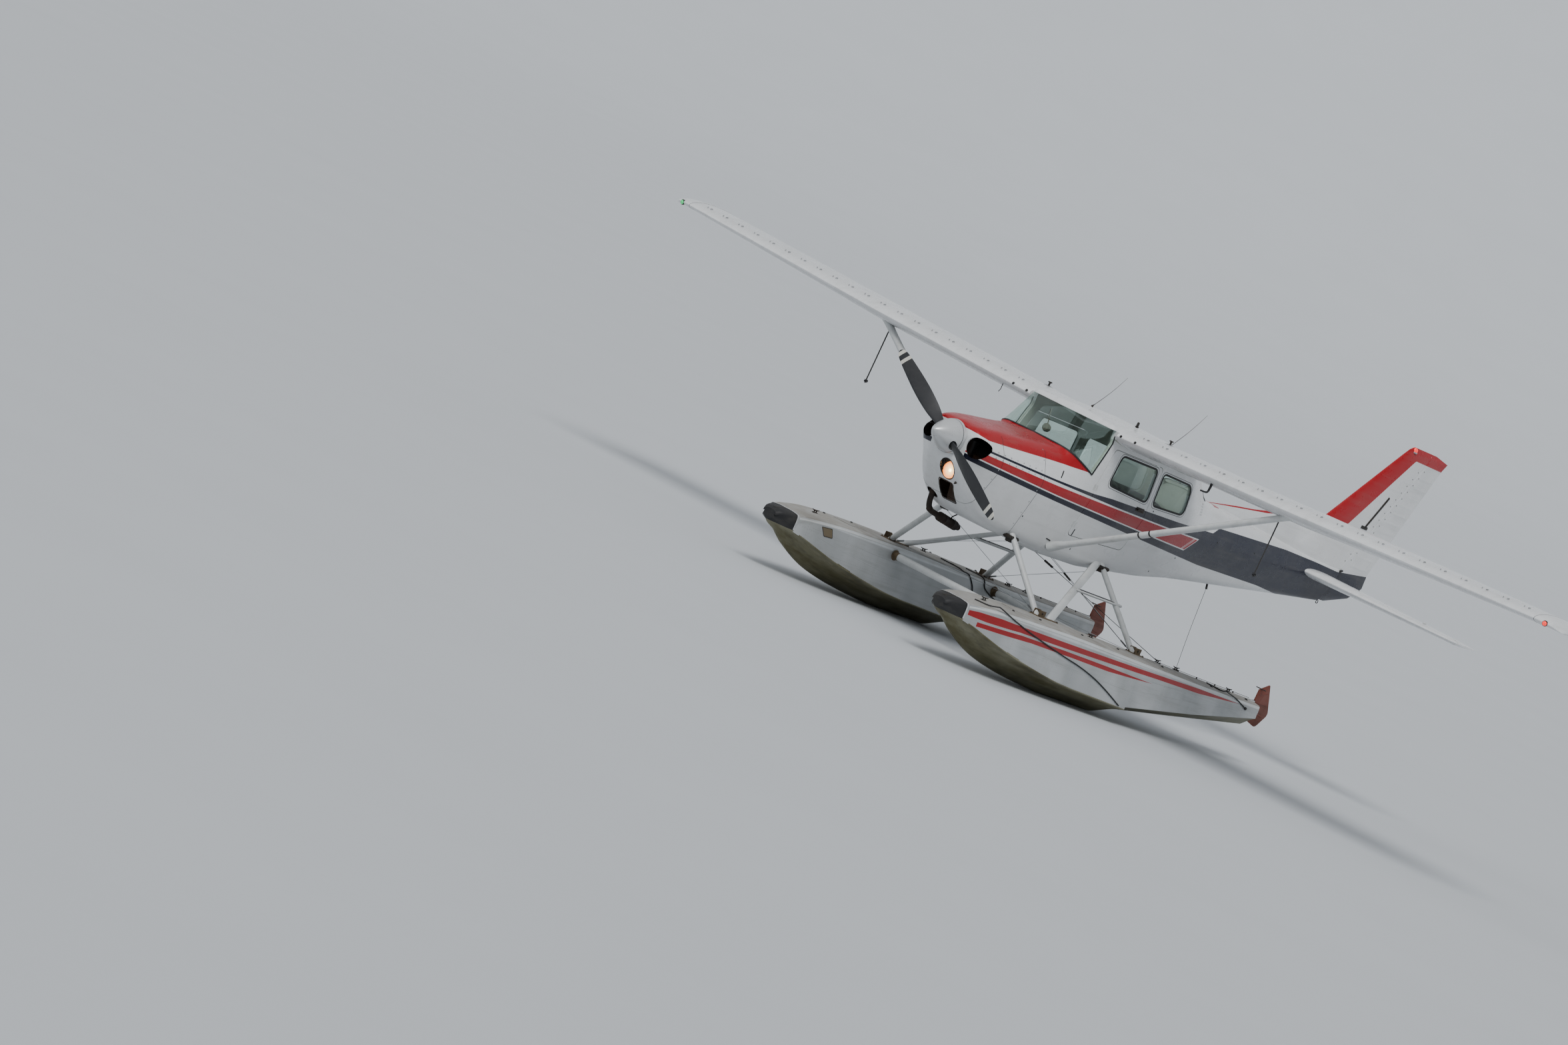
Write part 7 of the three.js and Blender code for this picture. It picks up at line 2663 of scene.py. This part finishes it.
class FLOATPLANE_OT_tail_details(Maker):
    """Fit the beacon, the fin antenna and the hinge bolts and brackets to the tail"""

    bl_idname = "floatplane.tail_details"
    bl_label = "Tail details"

    def fin_points(self, y, z, sign=1):
        le, te, thick = looked_up(FIN_ROWS, z, 1, 2, 3)
        return np.column_stack([sign * foil_half((y - le) / (te - le)) * thick, y, z])

    def make(self):
        lamp = turned(
            [(-0.026, 0.031), (-0.022, 0.033), (0.0, 0.032), (0.010, 0.026), (0.017, 0.014), (0.0195, 0.004)],
            [0, 6.318, 1.5775], [0, 0, 1], 32
        )
        piece("beacon_lens", lamp, "red_lens", 50)
        base = turned(
            [(-0.040, 0.020), (-0.036, 0.036), (-0.024, 0.036), (-0.022, 0.030)], [0, 6.318, 1.5775],
            [0, 0, 1], 32
        )
        piece("beacon_base", base, "bare_metal", 50)
        t = np.linspace(0, 1, 20)
        y, z = 6.032 + (6.213 - 6.032) * t, 0.689 + (1.037 - 0.689) * t
        for side, sign in (("left", 1), ("right", -1)):
            centre = self.fin_points(y, z, sign)
            bar = hoop(centre, [sign, 0, 0.05], 0.016, 0.008, 10, closed=False)
            foot_y = np.linspace(5.955, 6.075, 12)
            foot = self.fin_points(foot_y, np.full(12, 0.672), sign)
            foot = hoop(foot, [sign, 0, 0.05], 0.017, 0.007, 10, closed=False)
            piece(f"fin_antenna_{side}", together(bar, foot), "dark_metal", 50)
        z = np.arange(0.30, 1.46, 0.083)
        hinge = rudder_hinge_y(z)
        ahead = self.fin_points(hinge - 0.055, z)
        pair("fin_hinge_bolts", studs(ahead, [[1, 0, 0]], 0.006, 0.002, 8), "dark_metal")
        behind = self.fin_points(hinge + 0.048, z + 0.03)
        bolts = studs(behind, [[1, 0, 0]], 0.006, 0.0025, 8)
        pair("rudder_bolts", bolts, "dark_metal", body="rudder")
        spots = on_skin([[5.955, 0.189]])
        pair("tail_fairing_stub", tiles(spots, [0, 1, 0.3], [1, 0, 0.3], (0.05, 0.02, 0.018)), "rubber")
        x = np.array([0.32, 0.80, 1.30])
        top = columns(x, ELEVATOR_Y - 0.045, STAB_Z + 0.034)
        pair("elevator_hinges", tiles(top, [0, 1, 0], [0, 0, 1], (0.05, 0.014, 0.008)), "strut_paint")


PANEL_FACE_Y = 0.420


class FLOATPLANE_OT_cabin(Maker):
    """Make the panel, glareshield, dials, yokes, pedals and padded seats"""

    bl_idname = "floatplane.cabin"
    bl_label = "Cabin"

    def make(self):
        room = common(
            fuselage(body_rows(np.linspace(0.022, 0.9, 50)), -CABIN_WALL - 0.0008, -0.0612),
            block(-0.9, 0.9, -0.1, 1.2, -0.6095, 1.0)
        )
        board = prism(
            "y",
            rounded(
                [(-0.54, -0.06, 0.03), (0.54, -0.06, 0.03), (0.54, 0.225, 0.03), (-0.54, 0.225, 0.03)], 6
            ),
            0.382, PANEL_FACE_Y
        )
        lower = joined(block(-0.08, 0.08, 0.382, PANEL_FACE_Y, -0.600, -0.05))
        piece(
            "panel_board", common(joined(board, lower), room), "black_plastic", 35, "instrument_panel",
        )
        y = np.linspace(0.255, 0.470, 16)
        x = np.linspace(-0.50, 0.50, 41)
        crown = 0.236 + 0.020 * (1 - (x / 0.5) ** 2)
        rings = []
        for yy, drop in zip(y, 0.030 * np.clip((y - 0.42) / 0.05, 0, 1) ** 2):
            upper = columns(x, yy, crown - drop)
            rings.append(np.vstack([upper, (upper - [0, 0, 0.016])[::-1]]))
        shelf = common(loft(rings), room)
        piece("glareshield", shelf, "black_plastic")
        self.instruments()
        self.yokes()
        self.seats()

    def instruments(self):
        big = np.array([[x, z] for z in (0.165, 0.065) for x in (-0.36, -0.26, -0.16)]) * [-1, 1]
        small = np.array([[-0.08, 0.17], [-0.08, 0.10], [-0.08, 0.03], [0.42, 0.03], [0.42, 0.10]])
        rest, marks = [], []
        for spots, radius in ((big, 0.040), (small, 0.026)):
            centres = columns(spots[:, 0], PANEL_FACE_Y, spots[:, 1])
            rest.append(studs(centres, [[0, 1, 0]], radius, 0.004, 28))
            t = around(12)
            rim = np.stack([np.cos(t), np.zeros(12), np.sin(t)], -1)
            ticks = centres[:, None] + rim[None] * radius * 0.52 + [0, 0.0036, 0]
            marks.append(
                tiles(
                    ticks.reshape(-1, 3), np.tile(rim, (len(spots), 1)), [[0, 1, 0]],
                    (radius * 0.16, 0.0016, 0.0012)
                )
            )
            marks.append(
                tiles(
                    centres + [0.2 * radius, 0.0038, 0.2 * radius], [[1, 0, 1]], [[0, 1, 0]],
                    (radius * 0.62, 0.0022, 0.0016)
                )
            )
        piece("dials", together(*rest), "dial_face")
        piece("dial_marks", together(*marks), "dial_mark")
        stack = tiles(
            [[-0.20, PANEL_FACE_Y, z] for z in (0.17, 0.125, 0.08, 0.035)], [[1, 0, 0]], [[0, 1, 0]],
            (0.16, 0.038, 0.008)
        )
        knobs = studs(
            [[-0.20 + dx, 0.428, z] for z in (0.17, 0.125, 0.08, 0.035) for dx in (-0.065, 0.065)],
            [[0, 1, 0]], 0.009, 0.012, 14
        )
        switches = studs(
            [[0.44 - 0.045 * k, PANEL_FACE_Y, -0.035] for k in range(9)], [[0, 1, 0.2]], 0.005, 0.016, 8
        )
        plungers = [
            turned(
                [(0, 0.005), (0.03, 0.005), (0.032, 0.014), (0.045, 0.014), (0.047, 0.006)],
                [0.03 - 0.05 * k, PANEL_FACE_Y, -0.03], [0, 1, 0], 16
            )
            for k in range(3)
        ]
        piece("radio_stack", together(stack, knobs, switches, *plungers), "black_plastic")

    def yokes(self):
        arm = np.array([
            [-0.120, 0.590, 0.148], [-0.127, 0.590, 0.10], [-0.105, 0.590, 0.060], [-0.05, 0.592, 0.058]
        ])
        for side, x in (("left", 0.240), ("right", -0.240)):
            grip = curve_through(
                np.array([*arm, [0, 0.592, 0.060], *(arm[::-1] * [-1, 1, 1])]) + [x, 0, 0], 60
            )
            t = np.linspace(0, 1, 60)
            radius = 0.0105 + 0.002 * np.exp(
                -(((t - 0.04) / 0.1) ** 2)
            ) + 0.002 * np.exp(-(((t - 0.96) / 0.1) ** 2))
            hub = slab((x - 0.035, 0.578, 0.035), (x + 0.035, 0.603, 0.085), 0.010)
            shaft = rod([x, 0.405, 0.060], [x, 0.585, 0.060], 0.012, count=20)
            collar = turned(
                [(0, 0.024), (0.008, 0.024), (0.014, 0.016)], [x, PANEL_FACE_Y, 0.060], [0, 1, 0], 24
            )
            piece(f"yoke_{side}", together(swept(grip, radius, 16), hub, shaft, collar), "black_plastic", 45)
            pedals = tiles(
                [[x + dx, 0.135, -0.470] for dx in (-0.075, 0.075)], [[0, 0.3, 1]], [[0, 1, -0.3]],
                (0.12, 0.075, 0.010)
            )
            arms = [rod([x + dx, 0.060, -0.600], [x + dx, 0.130, -0.480], 0.009) for dx in (-0.075, 0.075)]
            piece(f"pedals_{side}", together(pedals, *arms), "dark_metal")

    def seats(self):
        rake = unit([0, 0.215, 0.72])
        normal = np.array([0, -rake[2], rake[1]])
        for side, x in (("left", 0.250), ("right", -0.250)):
            base = cushion([x, 0.862, -0.372], [0.198, 0, 0], [0, 0.232, -0.012], [0, 0.05, 1], 0.088, 3)
            back = cushion(np.array([x, 1.178, -0.060]), [0.192, 0, 0], rake * 0.262, normal, 0.080, 4)
            shell = self.frame(x, 0.198, 0.62)
            made = piece(
                f"front_base_cushion_{side}", base, "seat_cloth", 70, f"front_seat_{side}"
            )
            made = piece(
                f"front_back_cushion_{side}", back, "seat_cloth", 70, f"front_seat_{side}"
            )
            piece(f"front_seat_frame_{side}", shell, "dark_metal", 40, f"front_seat_{side}")
        base = cushion([0, 1.802, -0.372], [0.392, 0, 0], [0, 0.232, -0.012], [0, 0.05, 1], 0.088, 3, 0.1)
        back = cushion([0, 2.116, -0.080], [0.380, 0, 0], rake * 0.245, normal, 0.075, 4, 0.1)
        for name, shape in (("rear_base_cushion", base), ("rear_back_cushion", back)):
            piece(name, shape, "seat_cloth", 70, "rear_seat")
        piece("rear_seat_frame", self.frame(0, 0.385, 1.56), "dark_metal", 40, "rear_seat")

    def frame(self, x, half, y):
        """Two side rails with four legs, a pan under the cushion and the rods behind the back."""
        pan = slab((x - half * 0.96, y + 0.045, -0.452), (x + half * 0.96, y + 0.540, -0.432), 0.02)
        parts = [pan]
        feet = [np.array([y + dy, max(-0.6096, ring_at(y + dy)[:, 2].min() + 0.0612)]) for dy in (0.09, 0.50)]
        for sx in (-0.82, 0.30) if x > 0 else (-0.30, 0.82) if x < 0 else (-0.55, 0.55):
            leg, rise = x + sx * half, x + sx * half * 0.9
            for at, floor in feet:
                parts.append(swept([[leg, at, -0.440], [leg, at + 0.012, floor]], 0.013, 14))
            parts.append(swept([[leg, at, floor + 0.016] for at, floor in feet], 0.012, 14))
            rear = [
                [rise, y + 0.46, -0.440], [rise, y + 0.560, -0.36], [rise, y + 0.640, -0.05],
                [x + sx * half * 0.86, y + 0.672, 0.10]
            ]
            parts.append(swept(curve_through(rear, 22), 0.010, 12))
        return together(*parts)


class FLOATPLANE_OT_carried_over(Maker):
    """Give each solid that still shows its own finish"""

    bl_idname = "floatplane.carried_over"
    bl_label = "Finishes of plain solids"

    def make(self):
        finishes = {
            "engine_block": "engine_iron", "exhaust": "exhaust_steel", "elevator_tube": "bare_metal",
            "instrument_panel": "black_plastic", "spreader_front": "strut_paint",
            "spreader_rear": "strut_paint", "footstep_left": "strut_paint", "footstep_right": "strut_paint",
            "water_rudder_left": "rudder_paint", "water_rudder_right": "rudder_paint",
            "landing_light": "landing_lens", "propeller": "blade_paint", "spinner": "spinner_paint"
        }
        for name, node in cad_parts.items():
            if not node.hide_render:
                node.data.materials.clear()
                node.data.materials.append(MATERIALS[finishes.get(name, "strut_paint")])


class FLOATPLANE_OT_stage(Maker):
    """Lay the pale floor and place the soft studio lights"""

    bl_idname = "floatplane.stage"
    bl_label = "Stage"

    def make(self):
        t = around(96)
        rim = np.column_stack([np.cos(t), np.sin(t)])
        bend = np.linspace(0, np.pi / 2, 24)
        reach = np.concatenate([[2.0, 20.0, 60.0, 110.0], 150 + 100 * np.sin(bend)])
        height = np.concatenate([np.zeros(4), 100 - 100 * np.cos(bend)]) - 0.002
        rings = np.stack([np.column_stack([rim * r, np.full(96, z)]) for r, z in zip(reach, height)])
        points, faces = rings.reshape(-1, 3), [
            list(range(96)), *[face[::-1] for face in quads(len(reach), 96, closed_columns=True)]
        ]
        mesh = bpy.data.meshes.new("floor")
        mesh.from_pydata(points.tolist(), [], faces)
        mesh.polygons.foreach_set("use_smooth", [True] * len(mesh.polygons))
        f = Finish("floor_paint")
        f.set("Base Color", f.mix(f.noise(f.place, 0.4), (0.55, 0.575, 0.60, 1), (0.58, 0.605, 0.63, 1)))
        f.set("Roughness", 0.85)
        mesh.materials.append(f.material)
        floor = bpy.data.objects.new("floor", mesh)
        bpy.context.scene.collection.objects.link(floor)
        world = bpy.data.worlds.new("soft_sky")
        world.use_nodes = True
        back = world.node_tree.nodes["Background"]
        back.inputs[0].default_value = (0.84, 0.87, 0.91, 1)
        back.inputs[1].default_value = 0.54
        bpy.context.scene.world = world
        for name, toward, spread, strength in (
            ("key_light", (0.62, -0.78, 1.15), 24, 2.0), ("fill_light", (-1.0, -0.55, 0.55), 60, 0.55),
        ):
            data = bpy.data.lights.new(name, "SUN")
            data.energy, data.angle = strength, math.radians(spread)
            lamp = bpy.data.objects.new(name, data)
            away = unit(toward)
            side = unit(np.cross([0, 0, 1], away))
            turn = Matrix([list(side), list(np.cross(away, side)), list(away)]).transposed().to_4x4()
            lamp.matrix_world = Matrix.Translation((away * 20).tolist()) @ turn
            bpy.context.scene.collection.objects.link(lamp)


OPERATORS = (
    FLOATPLANE_OT_camera,
    FLOATPLANE_OT_ropes,
    FLOATPLANE_OT_fuselage,
    FLOATPLANE_OT_cowling,
    FLOATPLANE_OT_wings,
    FLOATPLANE_OT_tail,
    FLOATPLANE_OT_floats,
    FLOATPLANE_OT_struts,
    FLOATPLANE_OT_window_trim,
    FLOATPLANE_OT_nose_details,
    FLOATPLANE_OT_propeller,
    FLOATPLANE_OT_body_details,
    FLOATPLANE_OT_wing_details,
    FLOATPLANE_OT_strut_details,
    FLOATPLANE_OT_float_details,
    FLOATPLANE_OT_tail_details,
    FLOATPLANE_OT_cabin,
    FLOATPLANE_OT_carried_over,
    FLOATPLANE_OT_stage,
)


class FLOATPLANE_PT_panel(bpy.types.Panel):
    bl_label = "Floatplane"
    bl_space_type = "VIEW_3D"
    bl_region_type = "UI"
    bl_category = "Floatplane"

    def draw(self, context):
        for prop in ("white", "red", "navy", "hull", "generators", "wire", "whip"):
            self.layout.prop(context.scene.floatplane, prop)
        for operator in OPERATORS:
            self.layout.operator(operator.bl_idname)


CLASSES = (FloatplaneSettings, *OPERATORS, FLOATPLANE_PT_panel)


def register():
    for c in CLASSES:
        bpy.utils.register_class(c)
    bpy.types.Scene.floatplane = bpy.props.PointerProperty(type=FloatplaneSettings)


def unregister():
    del bpy.types.Scene.floatplane
    for c in reversed(CLASSES):
        bpy.utils.unregister_class(c)


def main():
    register()
    make_materials()
    for operator in OPERATORS:
        family, name = operator.bl_idname.split(".")
        getattr(getattr(bpy.ops, family), name)()


if __name__ == "__main__":
    main()
